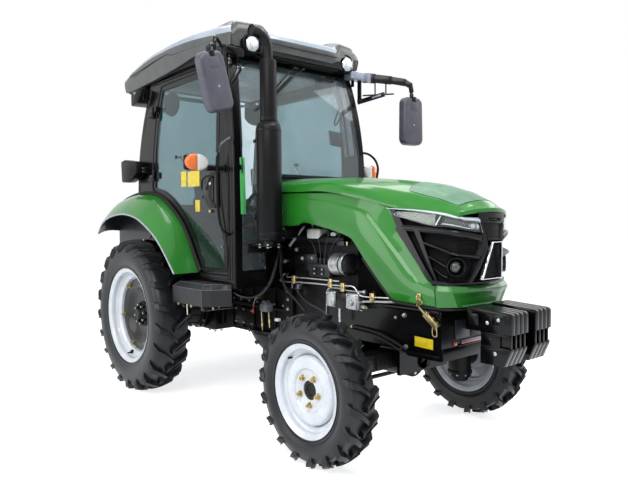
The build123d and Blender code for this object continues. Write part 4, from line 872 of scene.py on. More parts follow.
bm = bmesh.new()
slab(bm, (1.205, -0.09, 1.14), (1.645, 0.09, 1.206), 0, 0.016)
slab(bm, (1.195, -0.104, 1.144), (1.655, 0.104, 1.154))
spun(
    bm, [(0.0, 0.026), (0.024, 0.025), (0.03, 0.02), (0.03, 0.006), (0.022, 0.004), (0.022, 0.0)],
    (1.56, 0, 1.204), UP, 2
)
for i in range(4):
    x = 1.26 + 0.105 * i
    for s in SIDES:
        bolt(bm, (x + 0.05, s * 0.098, 1.154), UP, 0.007, 1)
    # injectors with their fuel pipes down to the pump, exhaust and intake branches
    rod(bm, (x, -0.104, 1.12), (x, -0.128, 1.186), 0.011, 3, tip=0.008, sides=12, edge=0.002)
    pump = ahead(1.4 + 0.035 * i, -0.205, 0.945)
    pipe(
        bm,
        [(x, -0.128, 1.188), (x, -0.165, 1.19), (x + 0.03, -0.195, 1.1), pump + UP * 0.06, pump],
        0.0032, 5, 1
    )
    rod(bm, pump - UP * 0.03, pump + UP * 0.014, 0.011, 5, sides=6, edge=0.002)
    rod(bm, (x, -0.11, 1.07), (x, -0.165, 1.066), 0.026)
    rod(bm, (x, 0.11, 1.09), (x, 0.158, 1.096), 0.024, 3)
rod(bm, (1.2, -0.17, 1.068), (1.62, -0.17, 1.064), 0.03, sides=24, edge=0.006)
slab(bm, (1.22, 0.14, 1.068), (1.62, 0.186, 1.13), 3, 0.014)
rod(bm, (1.21, -0.15, 1.075), (1.21, -0.2, 1.1), 0.033, sides=24, edge=0.004)
slab(bm, (1.36, -0.236, 0.85), (1.545, -0.176, 0.928), 5, 0.01)
slab(bm, (1.405, -0.24, 0.862), (1.5, -0.234, 0.908), 0, 0.004)
for x in (1.42, 1.485):
    for z in (0.872, 0.898):
        bolt(bm, (x, -0.24, z), (0, -1, 0), 0.005, 1)
# oil filter canister with its black band, on a cast head
for x, profile, paint in (
    (1.545, ((0.0, 0.0), (0.05, 0.001), (0.058, 0.006), (0.0625, 0.012), (0.0625, 0.078), (0.06, 0.08)), 3),
    (1.625, ((0.06, 0.0), (0.0605, 0.001), (0.0605, 0.014), (0.06, 0.015)), 2),
    (1.64, ((0.06, 0.0), (0.064, 0.001), (0.064, 0.016), (0.06, 0.02)), 3),
    (1.658, ((0.06, 0.0), (0.061, 0.004), (0.056, 0.03), (0.035, 0.046), (0.0, 0.05)), 0)
):
    spun(bm, profile, (x, -0.196, 0.932), (1, 0, 0), paint)
slab(bm, (1.52, -0.2, 0.89), (1.55, -0.15, 0.975), 0, 0.005)
# fuel filters on the left, alternator, starter, dipstick, crank and fan pulleys with the belt
for x in (1.34, 1.43):
    spun(
        bm, [(0.0, 0.0), (0.03, 0.001), (0.036, 0.008), (0.036, 0.105), (0.034, 0.11), (0.0, 0.111)],
        (x, 0.232, 0.89), UP, steps=32
    )
    rod(bm, (x, 0.232, 1.0), (x, 0.232, 1.022), 0.03, 3, sides=24, edge=0.004)
slab(bm, (1.3, 0.188, 1.0), (1.47, 0.262, 1.02), 3, 0.005)
ALTERNATOR_Y, ALTERNATOR_Z = 0.19, 0.9
rod(
    bm, (1.62, ALTERNATOR_Y, ALTERNATOR_Z), (1.745, ALTERNATOR_Y, ALTERNATOR_Z), 0.066, 3, sides=32,
    edge=0.01
)
for angle in turns(12):
    y, z = ALTERNATOR_Y + 0.064 * cos(angle), ALTERNATOR_Z + 0.064 * sin(angle)
    slab(bm, (1.655, y - 0.003, z - 0.003), (1.715, y + 0.003, z + 0.003), 2, 0.001)
rod(bm, (1.17, 0.215, 0.64), (1.39, 0.215, 0.64), 0.045, sides=28, edge=0.006)
rod(bm, (1.2, 0.205, 0.712), (1.32, 0.205, 0.712), 0.026, sides=24, edge=0.004)
pipe(bm, [(1.5, 0.18, 0.7), (1.5, 0.215, 0.8), (1.5, 0.2, 1.02)], 0.004, 3, 1)
rod(bm, (1.5, 0.2, 1.02), (1.5, 0.2, 1.045), 0.01, 4, sides=12, edge=0.003)
PULLEYS = ((0.0, 0.66, 0.075), (0.0, 0.96, 0.058), (ALTERNATOR_Y, ALTERNATOR_Z, 0.036))
for y, z, radius in PULLEYS:
    groove = [
        (0.0, 0.0), (radius, 0.0), (radius, 0.004), (radius - 0.008, 0.01), (radius - 0.008, 0.014),
        (radius, 0.02), (radius, 0.024), (0.0, 0.024)
    ]
    spun(bm, groove, (1.752, y, z), (1, 0, 0), steps=36)
rod(bm, (1.69, 0, 0.66), (1.77, 0, 0.66), 0.024)
rod(bm, (1.69, 0, 0.96), (1.885, 0, 0.96), 0.02)
belt = (
    (0.066, 0.628), (0.0, 0.59), (-0.07, 0.65), (-0.054, 0.98), (0.0, 1.014), (0.17, 0.938), (0.222, 0.905),
    (0.205, 0.866), (0.066, 0.628)
)
pipe(bm, [(1.764, y, z) for y, z in belt], 0.006, 2, 1)
# coolant hoses to the radiator, its header tank and cap
pipe(bm, [(1.66, -0.06, 1.11), (1.76, -0.09, 1.13), (1.86, -0.12, 1.15), (1.962, -0.13, 1.12)], 0.022, 2)
pipe(bm, [(1.68, 0.1, 0.74), (1.76, 0.14, 0.7), (1.86, 0.15, 0.8), (1.962, 0.14, 0.82)], 0.022, 2)
slab(bm, (1.958, -0.2, 1.15), (2.042, 0.2, 1.185), 0, 0.01)
spun(
    bm, [(0.0, 0.02), (0.024, 0.019), (0.027, 0.014), (0.027, 0.004), (0.02, 0.0)], (2.0, 0.05, 1.184), UP,
    3
)
for s in SIDES:
    slab(bm, (1.955, s * 0.206, 0.752), (2.045, s * 0.216, 1.16))
piece("engine_fittings", bm, "chassis", "casting", cast_black, zinc, hose_black, alloy, tag_red, pump_grey)

# ---- oil lines and controls
# Steel oil lines run along both sides in plated clamps to a three-part alloy
# valve block, with wiring, a coolant bottle, stays and the gearbox's levers.
tank_white = finish("tank_white", (222, 224, 214), 0.4, coat=0.2, vary=0.06, patch=20, grain=200)
plug_grey = finish("plug_grey", (120, 126, 132), 0.42, patch=40, grain=500, bump=0.1)
bm = bmesh.new()
for s in SIDES:
    side = s * 0.25

    def line(route, radius=0.0045, paint=1, side=side, s=s):
        pipe(bm, [(x, side + s * off, z) for x, off, z in route], radius, paint, 1)

    line(
        (
            (1.107, -0.04, 0.852), (1.106, 0, 0.818), (1.112, 0, 0.806), (1.16, 0, 0.806),
            (1.245, 0, 0.812), (1.42, 0, 0.816), (1.57, 0, 0.816), (1.7, 0, 0.822), (1.745, 0, 0.824),
            (1.765, 0, 0.815), (1.79, 0, 0.785), (1.815, 0, 0.774), (1.89, 0, 0.777), (2.04, 0, 0.786)
        )
    )
    line(
        (
            (1.15, -0.03, 0.853), (1.162, 0, 0.838), (1.19, 0, 0.836), (1.245, 0, 0.84), (1.44, 0, 0.842),
            (1.64, 0, 0.842)
        )
    )
    line(
        (
            (1.532, 0, 0.64), (1.535, 0, 0.74), (1.537, 0, 0.78), (1.55, 0, 0.797), (1.58, 0, 0.803),
            (1.66, 0, 0.804), (1.7, 0, 0.793), (1.83, 0, 0.8)
        )
    )
    line(((1.64, 0, 0.7), (1.64, 0, 0.655), (1.642, 0, 0.62)), 0.006)
    line(((1.782, 0, 0.728), (1.8, 0, 0.742), (1.84, 0, 0.752), (1.95, 0, 0.76), (2.06, 0, 0.768)), 0.0055)
    for x, z in ((1.245, 0.826), (1.567, 0.828), (1.669, 0.812), (1.89, 0.775)):
        slab(bm, (x - 0.016, side - 0.01 * s, z - 0.024), (x + 0.016, side + 0.008 * s, z + 0.024), 2)
        bolt(bm, (x, side + 0.008 * s, z), (0, s, 0), 0.006, 2)
    rod(bm, (1.822, side, 0.801), (1.845, side, 0.802), 0.011, 1, sides=6, edge=0.002)
    # valve block
    slab(bm, (1.547, side - 0.036 * s, 0.7), (1.624, side + 0.02 * s, 0.788), 3, 0.012, rounds=3)
    slab(bm, (1.622, side - 0.036 * s, 0.696), (1.708, side + 0.016 * s, 0.782), 0, 0.004)
    slab(bm, (1.706, side - 0.036 * s, 0.7), (1.799, side + 0.02 * s, 0.788), 3, 0.01, rounds=3)
    for x in (1.56, 1.612, 1.72, 1.786):
        for z in (0.712, 0.776):
            bolt(bm, (x, side + 0.02 * s, z), (0, s, 0), 0.005, 1)
    rod(
        bm, (1.752, side + 0.018 * s, 0.735), (1.752, side + 0.03 * s, 0.735), 0.016, 3, tip=0.013,
        edge=0.002
    )
    rod(bm, (1.8, side - 0.01 * s, 0.722), (1.835, side - 0.01 * s, 0.716), 0.012, 3, sides=6, edge=0.002)
    rod(bm, (1.848, side - 0.01 * s, 0.718), (1.835, side - 0.01 * s, 0.716), 0.007, 2, sides=12)
    # hood stay, brace with its nut, cover bolts
    pipe(bm, [(1.293, s * 0.206, 1.14), (1.152, s * 0.206, 1.017)], 0.0045, 1, straight=True)
    pipe(bm, [(1.275, s * 0.2, 1.14), (1.134, s * 0.2, 1.022)], 0.0035, 1, straight=True)
    pipe(bm, [(1.062, s * 0.222, 0.997), (1.313, s * 0.222, 1.004)], 0.006, straight=True)
    rod(bm, (1.228, s * 0.222, 1.0015), (1.252, s * 0.222, 1.0023), 0.012, 1, sides=6, edge=0.002)
    for x, z, size in ((1.101, 0.928, 0.014), (1.271, 0.951, 0.01), (1.36, 0.955, 0.008)):
        bolt(bm, (x, s * 0.205, z), (0, s, 0), size, 1)
    slab(bm, (1.075, s * 0.176, 0.88), (1.39, s * 0.206, 0.985), 0, 0.006)
    # hoses and wiring
    line(
        (
            (0.62, 0.05, 0.735), (0.7, 0.055, 0.7), (0.86, 0.06, 0.688), (0.99, 0.055, 0.718),
            (1.075, 0.045, 0.8), (1.108, 0.03, 0.9), (1.095, -0.02, 1.02)
        ),
        0.013, 4
    )
    line(
        (
            (1.09, -0.01, 1.05), (1.13, 0.0, 0.97), (1.12, 0.01, 0.87), (1.16, 0.0, 0.76),
            (1.24, -0.02, 0.7), (1.3, -0.04, 0.64)
        ),
        0.009, 4
    )
    line(
        (
            (1.235, -0.03, 0.765), (1.262, -0.03, 0.728), (1.34, -0.03, 0.69), (1.45, -0.04, 0.665),
            (1.52, -0.06, 0.62)
        ),
        0.0075, 4
    )
    for i in range(4):
        line(
            (
                (1.255, -0.04, 0.792 - 0.01 * i), (1.3, -0.03 + 0.006 * i, 0.785 - 0.014 * i),
                (1.345, -0.05, 0.755 - 0.01 * i)
            ),
            0.0022, 0
        )
    slab(bm, (1.185, s * 0.192, 0.766), (1.255, s * 0.226, 0.798), 5, 0.005)
    slab(bm, (1.205, s * 0.222, 0.762), (1.24, s * 0.23, 0.802), 0, 0.002)
    # bracket that carries the lines off the block
    for x in (1.245, 1.669, 1.89):
        slab(bm, (x - 0.01, s * 0.186, 0.8), (x + 0.01, side - 0.008 * s, 0.806), 0, 0.002)
piece("oil_lines", bm, "chassis", "bare_steel", frame_black, zinc, brass_zinc, alloy, hose_black, plug_grey)

bm = bmesh.new()
slab(bm, (1.3, -0.2, 1.058), (1.422, -0.126, 1.128), 0, 0.014, rounds=3)
slab(bm, (1.335, -0.178, 1.124), (1.372, -0.146, 1.142), 1, 0.006)
slab(bm, (1.5, -0.19, 1.072), (1.545, -0.15, 1.108), 0, 0.008)
slab(bm, (1.582, -0.214, 1.036), (1.64, -0.206, 1.058), 2, 0.001)
slab(bm, (1.655, -0.214, 1.036), (1.668, -0.204, 1.058), 3, 0.002)
for s in SIDES:
    # gearbox levers, brake knob and tag
    slab(bm, (0.9, s * 0.205, 0.6), (0.975, s * 0.262, 0.652), 4, 0.01)
    cut_plate(
        bm, at_y(s * 0.215, ((0.906, 0.648), (0.968, 0.648), (0.95, 0.672), (0.924, 0.672))),
        (0, s * 0.038, 0), 4, 0.004
    )
    for x, low in ((0.884, 0.47), (0.962, 0.5)):
        rod(bm, (x, s * 0.232, 0.602), (x, s * 0.226, low), 0.005, 3, sides=12)
        rod(bm, (x, s * 0.226, low + 0.03), (x, s * 0.226, low + 0.05), 0.009, 3, sides=6, edge=0.001)
    slab(bm, (0.76, s * 0.186, 0.462), (1.0, s * 0.252, 0.474), 5)
    rod(bm, (0.847, s * 0.18, 0.685), (0.847, s * 0.252, 0.685), 0.011, 3, sides=14, edge=0.003)
    slab(bm, (0.796, s * 0.238, 0.575), (0.812, s * 0.243, 0.628), 6)
    pipe(bm, [(0.847, s * 0.25, 0.68), (0.822, s * 0.248, 0.655), (0.806, s * 0.241, 0.622)], 0.0015)
    slab(bm, (1.06, s * 0.236, 0.556), (1.094, s * 0.262, 0.574), 0, 0.004)
piece(
    "bay_and_levers", bm, "chassis", "lamp_black", tank_white, hose_black, panel_grey, brass_zinc,
    plug_grey, frame_black, tag_red
)

# ---- hood top
# One pressed steel cover that hinges at the cab, two-stage painted green, with
# a sharp shoulder down each side, a hemmed front lip and a matt panel let in.


def smooth_row(rows, t, ease=1.0):
    """Like along_route, but eased towards a smooth curve through the rows (Catmull-Rom)."""
    at_row = min(max(t, 0.0), 1.0) * (len(rows) - 1)
    row = min(int(at_row), len(rows) - 2)
    f = at_row - row
    a, b, c, d = [rows[min(max(row + i, 0), len(rows) - 1)] for i in (-1, 0, 1, 2)]
    return [
        (q + 0.5 * f * (r - p + f * (2 * p - 5 * q + 4 * r - s + f * (3 * (q - r) + s - p)))) * ease
        + (q + f * (r - q)) * (1 - ease)
        for p, q, r, s in zip(a, b, c, d)
    ]


def row_at(rows, x):
    """The smooth row at a value of the rows' first column."""
    for i, (a, b) in enumerate(zip(rows, rows[1:])):
        if x <= b[0] or i == len(rows) - 2:
            return smooth_row(rows, (i + (x - a[0]) / (b[0] - a[0])) / (len(rows) - 1))


def skin(bm, place, across, along, out, paint=0, wall=0.004):
    """A sheet bent to shape, place(u, v) giving each point with u and v from 0 to 1.
    Its good side is on the whole towards out, and its wall grows the other way."""
    shape = bmesh.new()
    bmesh.ops.create_grid(shape, x_segments=across, y_segments=along, size=0.5)
    for vert in shape.verts:
        vert.co = place(vert.co.x + 0.5, vert.co.y + 0.5)
    bmesh.ops.remove_doubles(shape, verts=shape.verts, dist=1e-5)
    bmesh.ops.recalc_face_normals(shape, faces=shape.faces)
    shown = sum((face.normal * face.calc_area() for face in shape.faces), Vector())
    if shown.dot(Vector(out)) < 0:
        bmesh.ops.reverse_faces(shape, faces=shape.faces)
    if wall:
        bmesh.ops.solidify(shape, geom=shape.faces[:], thickness=wall)
    merge(bm, shape, paint)


body_green = finish(
    "body_green", (38, 122, 36), 0.3, coat=0.5, vary=0.04, patch=3, grain=60, bump=0.015, shine=0.25
)
matt_green = finish("matt_green", (92, 138, 108), 0.5, coat=0.15, vary=0.06, patch=9, grain=300, bump=0.12)
trim_black = finish(
    "trim_black", (15, 15, 18), 0.34, coat=0.12, shine=0.25, vary=0.1, patch=14, grain=420, bump=0.08
)

HOOD_REAR_X = 1.084
LIP_CORNER_X = 2.386
LIP_CENTRE_X = 2.446
LIP_HALF = 0.193
# columns: x at the centre line, half width, edge z, shoulder z, crown z
HOOD_ROWS = (
    (1.084, 0.3, 1.346, 1.396, 1.438),
    (1.35, 0.302, 1.34, 1.39, 1.429),
    (1.62, 0.303, 1.332, 1.382, 1.416),
    (1.9, 0.294, 1.286, 1.338, 1.389),
    (2.13, 0.252, 1.232, 1.276, 1.354),
    (2.3, 0.212, 1.203, 1.236, 1.308),
    (2.4, 0.196, 1.19, 1.216, 1.262),
    (2.446, 0.193, 1.187, 1.207, 1.228),
)


def lip_x(y):
    """How far forward the hood reaches at a distance from its centre line."""
    return LIP_CENTRE_X - (LIP_CENTRE_X - LIP_CORNER_X) * min(abs(y) / LIP_HALF, 1.3) ** 1.7


def hood_point(share, x_centre):
    """A place on the hood: share runs from -1 at the right edge to 1 at the left."""
    _, half, edge, shoulder, crown = row_at(HOOD_ROWS, x_centre)
    t = abs(share)
    # columns: share of the half width, height
    section = (
        (1.0, edge), (0.985, edge + 0.5 * (shoulder - edge)), (0.94, shoulder),
        (0.8, shoulder + 0.42 * (crown - shoulder))
    )
    section += ((0.5, shoulder + 0.8 * (crown - shoulder)), (0.2, crown - 0.001), (0.0, crown))
    steps = (1.0, 0.94, 0.86, 0.72, 0.42, 0.16, 0.0)
    for (a, b), (p, q) in zip(zip(steps, steps[1:]), zip(section, section[1:])):
        if t >= b:
            f = (a - t) / (a - b)
            wide, z = p[0] + (q[0] - p[0]) * f, p[1] + (q[1] - p[1]) * f
            break
    y = half * wide * (1 if share >= 0 else -1)
    along = (x_centre - HOOD_REAR_X) / (LIP_CENTRE_X - HOOD_REAR_X)
    return ahead(HOOD_REAR_X + along * (lip_x(y) - HOOD_REAR_X), y, z)


HOOD_RUN = LIP_CENTRE_X - HOOD_REAR_X
bm = bmesh.new()
skin(bm, lambda u, v: hood_point(2 * u - 1, HOOD_REAR_X + HOOD_RUN * v), 50, 90, UP)
# the lip turns down and back under itself
LIP_ROWS = ((0.0, 0.0), (0.002, -0.01), (0.001, -0.019), (-0.006, -0.021), (-0.03, -0.02))


def lip_point(u, v):
    y = (2 * u - 1) * LIP_HALF * 0.995
    forward, drop = along_route(LIP_ROWS, v)
    edge_z = 1.228 - 0.021 * min(abs(y) / LIP_HALF, 1) ** 2
    return ahead(lip_x(y) + forward, y, edge_z + drop * (1 - 0.1 * abs(y) / LIP_HALF))


skin(bm, lip_point, 40, 4, (1, 0, -0.2), 0, 0.003)
piece("hood_cover", bm, "hood", "body_green", body_green, stands_for=["hood_top"], crease=24)

# the matt panel let into the hood's top, on a dark rim that shows as a line round it
bm = bmesh.new()
for grow, rise, paint in ((0.004, 0.0006, 1), (0.0, 0.0016, 0)):
    def panel_point(u, v, grow=grow, rise=rise):
        side = 2 * u - 1
        centre_x = 2.075 - grow + (0.315 + 2 * grow) * v
        taper = 0.34 + 0.3 * min(v / 0.16, 1.0) ** 0.7 + 0.06 * max(v - 0.16, 0)
        place = hood_point(side * (taper + 1.6 * grow), centre_x - 0.05 * (1 - v) * (1 - abs(side)))
        return place + UP * rise
    skin(bm, panel_point, 24, 30, UP, paint, 0.003)
piece("hood_panel", bm, "hood", "body_green", matt_green, trim_black)

# ---- hood sides
# A pressed panel each side, arched over the engine, with a ledge that runs
# from the knee down to the nose and a rolled lower edge.
# columns: lower x, z; ledge x, z; upper x, z; depth of the ledge
SIDE_ROWS = (
    (1.084, 1.141, 1.084, 1.29, 1.084, 1.341, 0.001),
    (1.2, 1.141, 1.22, 1.296, 1.225, 1.338, 0.001),
    (1.325, 1.146, 1.34, 1.298, 1.35, 1.335, 0.002),
    (1.39, 1.164, 1.434, 1.292, 1.47, 1.331, 0.003),
    (1.56, 1.134, 1.6, 1.272, 1.63, 1.325, 0.005),
    (1.7, 1.102, 1.74, 1.245, 1.78, 1.304, 0.008),
    (1.768, 1.08, 1.842, 1.222, 1.895, 1.281, 0.011),
    (1.8, 1.052, 1.882, 1.2, 1.96, 1.262, 0.012),
    (1.856, 0.99, 1.925, 1.152, 2.0, 1.243, 0.012),
    (1.917, 0.922, 1.974, 1.1, 2.05, 1.172, 0.012),
    (1.985, 0.848, 2.055, 1.015, 2.122, 1.066, 0.012),
    (2.04, 0.792, 2.128, 0.935, 2.19, 0.968, 0.011),
    (2.062, 0.78, 2.162, 0.902, 2.226, 0.914, 0.009),
    (2.13, 0.774, 2.2, 0.872, 2.252, 0.886, 0.005),
    (2.296, 0.766, 2.297, 0.842, 2.298, 0.88, 0.003),
)
# share of the way from lower to ledge or from ledge to upper, side (0 or 1), inward step share, extra inset
SIDE_STRIPS = (
    (0.0, 0, 0.0, 0.012), (0.03, 0, 0.0, 0.004), (0.1, 0, 0.0, 0.0), (0.55, 0, 0.0, -0.003),
    (0.97, 0, 0.0, 0.0), (1.0, 0, 0.15, 0.0), (0.12, 1, 0.9, 0.0), (0.17, 1, 1.0, 0.001),
    (0.9, 1, 1.0, 0.0), (1.0, 1, 1.0, 0.005),
)


def side_y(x, z):
    """Half width of the hood at its sides."""
    low = 0.306 - 0.06 * max((x - 1.84) / 0.52, 0) ** 1.35
    high = 0.296 - 0.006 * min(x / 1.85, 1) - 0.115 * max((x - 1.85) / 0.542, 0) ** 1.25
    return low + (high - low) * (z - 0.7) / 0.72


for s, hand in HANDS:
    bm = bmesh.new()

    def side_point(u, v, s=s):
        low_x, low_z, ledge_x, ledge_z, up_x, up_z, step = smooth_row(SIDE_ROWS, v, 0.6)
        share, upper, inward, inset = SIDE_STRIPS[round(u * (len(SIDE_STRIPS) - 1))]
        if upper:
            x, z = ledge_x + (up_x - ledge_x) * share, ledge_z + (up_z - ledge_z) * share
        else:
            x, z = low_x + (ledge_x - low_x) * share, low_z + (ledge_z - low_z) * share
        return ahead(x, s * (side_y(x, z) - step * inward - inset), z)

    skin(bm, side_point, len(SIDE_STRIPS) - 1, 96, (0, s, 0))
    piece(
        f"hood_side_panel_{hand}", bm, "hood", "body_green", body_green, stands_for=[f"hood_side_{hand}"],
        crease=26
    )

# ---- nose band
# A green moulding that wraps the nose below the grille, with a sloped top,
# blunt corners, a shallow scoop in front and a black rubber strip beneath.
# columns: z, corner x, corner y, centre x, flank y
BAND_ROWS = (
    (0.762, 2.352, 0.18, 2.368, 0.238),
    (0.766, 2.371, 0.188, 2.389, 0.252),
    (0.8, 2.373, 0.208, 2.394, 0.256),
    (0.836, 2.375, 0.23, 2.399, 0.261),
    (0.844, 2.375, 0.232, 2.399, 0.262),
    (0.866, 2.362, 0.222, 2.387, 0.255),
    (0.872, 2.348, 0.214, 2.372, 0.248),
)


def band_point(u, v):
    z, corner_x, corner_y, centre_x, flank_y = along_route(BAND_ROWS, v)
    side = 2 * u - 1
    t = abs(side)
    # plan: flank, rounded corner, slightly bowed front
    plan = [(0.0, centre_x), (0.6 * corner_y, centre_x - 0.2 * (centre_x - corner_x))]
    plan += [(corner_y - 0.022, corner_x + 0.004), (corner_y - 0.006, corner_x - 0.001)]
    plan += [(corner_y + 0.002, corner_x - 0.01), (0.5 * (corner_y + flank_y), 0.5 * (corner_x + 2.3))]
    plan += [(flank_y, 2.3)]
    y, x = along_route(plan, t)
    if t < 0.34 and 0.774 < z < 0.826:
        x -= 0.004 * min(1.0, (0.34 - t) / 0.05)
    return ahead(x, y * (1 if side >= 0 else -1), z)


bm = bmesh.new()
skin(bm, band_point, 96, 24, (1, 0, 0))
# joint line against each hood side
for s in (0, 1):
    line = [band_point(s, i / 10) for i in range(11)]
    pipe(bm, line + [(2.326, 0.24 if s else -0.24, 0.884)], 0.0021, 1)
piece(
    "nose_moulding", bm, "hood", "body_green", body_green, trim_black, stands_for=["nose_band"], crease=24
)

bm = bmesh.new()
for s in SIDES:
    low_run = [row[:2] for row in SIDE_ROWS[8:]]
    route = [ahead(x, s * (side_y(x, z) - 0.012), z - 0.008) for x, z in low_run]
    route += [ahead(2.352, s * 0.19, 0.756), ahead(2.366, s * 0.1, 0.756), ahead(2.368, 0, 0.756)]
    pipe(bm, route, 0.0075)
piece("hood_seal", bm, "hood", "grille_black", rubber)

# ---- grille
# Black injection-moulded plastic: a finely ribbed screen set back in a deep
# surround, with curved blades each side that stand out at the nose's corners.
# columns: z, centre x, corner x, corner y, back x, back y
NOSE_ROWS = (
    (0.86, 2.406, 2.35, 0.216, 2.284, 0.247),
    (0.96, 2.432, 2.362, 0.209, 2.205, 0.248),
    (1.07, 2.447, 2.374, 0.199, 2.122, 0.249),
    (1.13, 2.446, 2.38, 0.192, 2.075, 0.25),
    (1.19, 2.438, 2.384, 0.186, 2.03, 0.251),
    (1.25, 2.438, 2.386, 0.184, 1.985, 0.252),
)


def nose_at(u, z, depth=0.0):
    """A place on the grille's face: u is 0 at the middle, about 0.5 at the corner and 1 at the back edge."""
    _, centre_x, corner_x, corner_y, back_x, back_y = row_at(NOSE_ROWS, z)
    t = min(abs(u), 1.04)
    side = 1 if u >= 0 else -1
    if t <= 0.5:
        y = corner_y * t / 0.5 * 0.93
        x = centre_x - (centre_x - corner_x) * (t / 0.5) ** 1.8 * 0.9
    else:
        f = (t - 0.5) / 0.5
        bend = 1 - (1 - min(f / 0.16, 1.0)) ** 2
        y = corner_y * 0.93 + (0.07 * corner_y) * bend + (back_y - corner_y) * max(f - 0.06, 0) / 0.94
        x = centre_x - (centre_x - corner_x) * 0.9
        x += (back_x - x) * (0.45 * f + 0.55 * f ** 1.6)
    lean = radians(14 * min(t / 0.42, 1.0) + 58 * min(max(t - 0.42, 0) / 0.16, 1.0))
    return ahead(x - depth * cos(lean), side * (y - depth * sin(lean)), z)


def blade(bm, spine, tall, proud, paint=0, steps=30):
    """A fin along the face. Spine rows are u, z and a share of how proud it stands."""
    # columns: how far out of the face, height above the spine
    rim = (
        (-0.022, 0.8), (0.35, 0.95), (0.85, 0.62), (1.0, 0.15), (0.96, -0.35), (0.6, -0.9), (-0.022, -1.0),
        (-0.022, 0.8)
    )

    def blade_point(u, v):
        along_u, z, share = smooth_row(spine, v)
        out, height = along_route(rim, u)
        depth = 0.022 if out < 0 else -out * proud * share
        return nose_at(along_u, z + height * tall / 2, depth)

    shape = bmesh.new()
    bmesh.ops.create_grid(shape, x_segments=len(rim) - 1, y_segments=steps, size=0.5)
    for vert in shape.verts:
        vert.co = blade_point(vert.co.x + 0.5, vert.co.y + 0.5)
    bmesh.ops.remove_doubles(shape, verts=shape.verts, dist=1e-5)
    bmesh.ops.holes_fill(shape, edges=[e for e in shape.edges if e.is_boundary], sides=0)
    bmesh.ops.recalc_face_normals(shape, faces=shape.faces)
    merge(bm, shape, paint)


grille_black = finish(
    "grille_black", (13, 13, 17), 0.3, coat=0.1, shine=0.22, vary=0.1, patch=20, grain=420, bump=0.1
)
screen_black = finish("screen_black", (9, 9, 11), 0.55, shine=0.2, vary=0.2, patch=40, grain=900, bump=0.4)
SCREEN_RIBS = 46
# columns: height, how proud it stands, then u, z and share along it
BLADES = (
    (0.03, 0.013, ((0.97, 1.136, 0.5), (0.75, 1.124, 1.0), (0.5, 1.108, 1.3), (0.24, 1.088, 0.7))),
    (
        0.017, 0.017,
        ((0.9, 1.072, 0.4), (0.72, 1.04, 0.9), (0.52, 1.014, 1.6), (0.36, 1.003, 1.0), (0.24, 1.0, 0.5))
    ),
    (0.01, 0.009, ((0.86, 1.0, 0.3), (0.72, 0.968, 0.8), (0.63, 0.952, 0.7))),
    (0.009, 0.009, ((0.84, 0.944, 0.3), (0.74, 0.918, 0.8), (0.62, 0.905, 0.7))),
    (
        0.02, 0.01,
        ((1.0, 0.882, 0.8), (0.75, 0.878, 1.0), (0.5, 0.874, 1.0), (0.2, 0.874, 1.0), (0.0, 0.874, 1.0))
    ),
)
bm = bmesh.new()


def screen_point(u, v):
    rib = round(v * 2 * SCREEN_RIBS) % 2
    z = 0.872 + 0.312 * v
    return nose_at((2 * u - 1) * 0.985, z, 0.02 + 0.0022 * rib)


skin(bm, screen_point, 72, 2 * SCREEN_RIBS, (1, 0, 0), 1, 0.002)
for s in SIDES:
    # bar under the lamp, two blades, the side frame, the bottom rail
    for tall, proud, spine in BLADES:
        blade(bm, [(s * u, z, share) for u, z, share in spine], tall, proud)

    def edge_strip(outer, inner, top_z, low_z, rise, s=s):
        """An upright band of the surround between two shares of the face."""
        def strip_point(u, v):
            out = along_route(((-0.02,), (rise,), (rise,), (-0.02,)), u)[0]
            share = along_route(((outer,), (outer - 0.004,), (inner + 0.004,), (inner,)), u)[0]
            return nose_at(s * share, low_z + (top_z - low_z) * v, -out)
        skin(bm, strip_point, 6, 24, (0.3, s, 0), 0, 0.002)

    edge_strip(1.03, 0.955, 1.236, 0.866, 0.004)
    edge_strip(0.9, 0.855, 1.128, 0.884, 0.01)

    # flank bars of the middle column, narrow at the waist
    def column_point(u, v, s=s):
        z = 1.16 - 0.288 * v
        near = along_route(((0.206,), (0.158,), (0.11,), (0.15,), (0.196,), (0.248,)), v)[0]
        share = near + 0.105 * u
        depth = along_route(((0.02,), (-0.008,), (-0.01,), (-0.006,), (0.02,)), u)[0]
        return nose_at(s * share, z, depth)

    skin(bm, column_point, 8, 20, (1, 0, 0), 0, 0.002)


# the cap under the hood's lip, with its slot, and the dark shield below it
def cap_point(u, v):
    z = 1.206 - 0.05 * v
    half = 0.31 - 0.06 * v
    slot = 0.01 if 0.55 < v < 0.8 and 0.22 < u < 0.78 else 0.0
    return nose_at((2 * u - 1) * half, z, -0.012 + slot)


skin(bm, cap_point, 32, 10, (1, 0, 0), 0, 0.008)


def shield_point(u, v):
    z = 1.156 - 0.08 * v
    half = 0.208 - 0.068 * v
    edge = 0.006 if min(u, 1 - u, v, 1 - v) > 0.06 else 0.0
    return nose_at((2 * u - 1) * half, z, -0.004 + edge)


skin(bm, shield_point, 34, 18, (1, 0, 0), 1, 0.006)
piece(
    "grille", bm, "hood", "grille_black", grille_black, screen_black, stands_for=["hood_grille"], crease=35
)

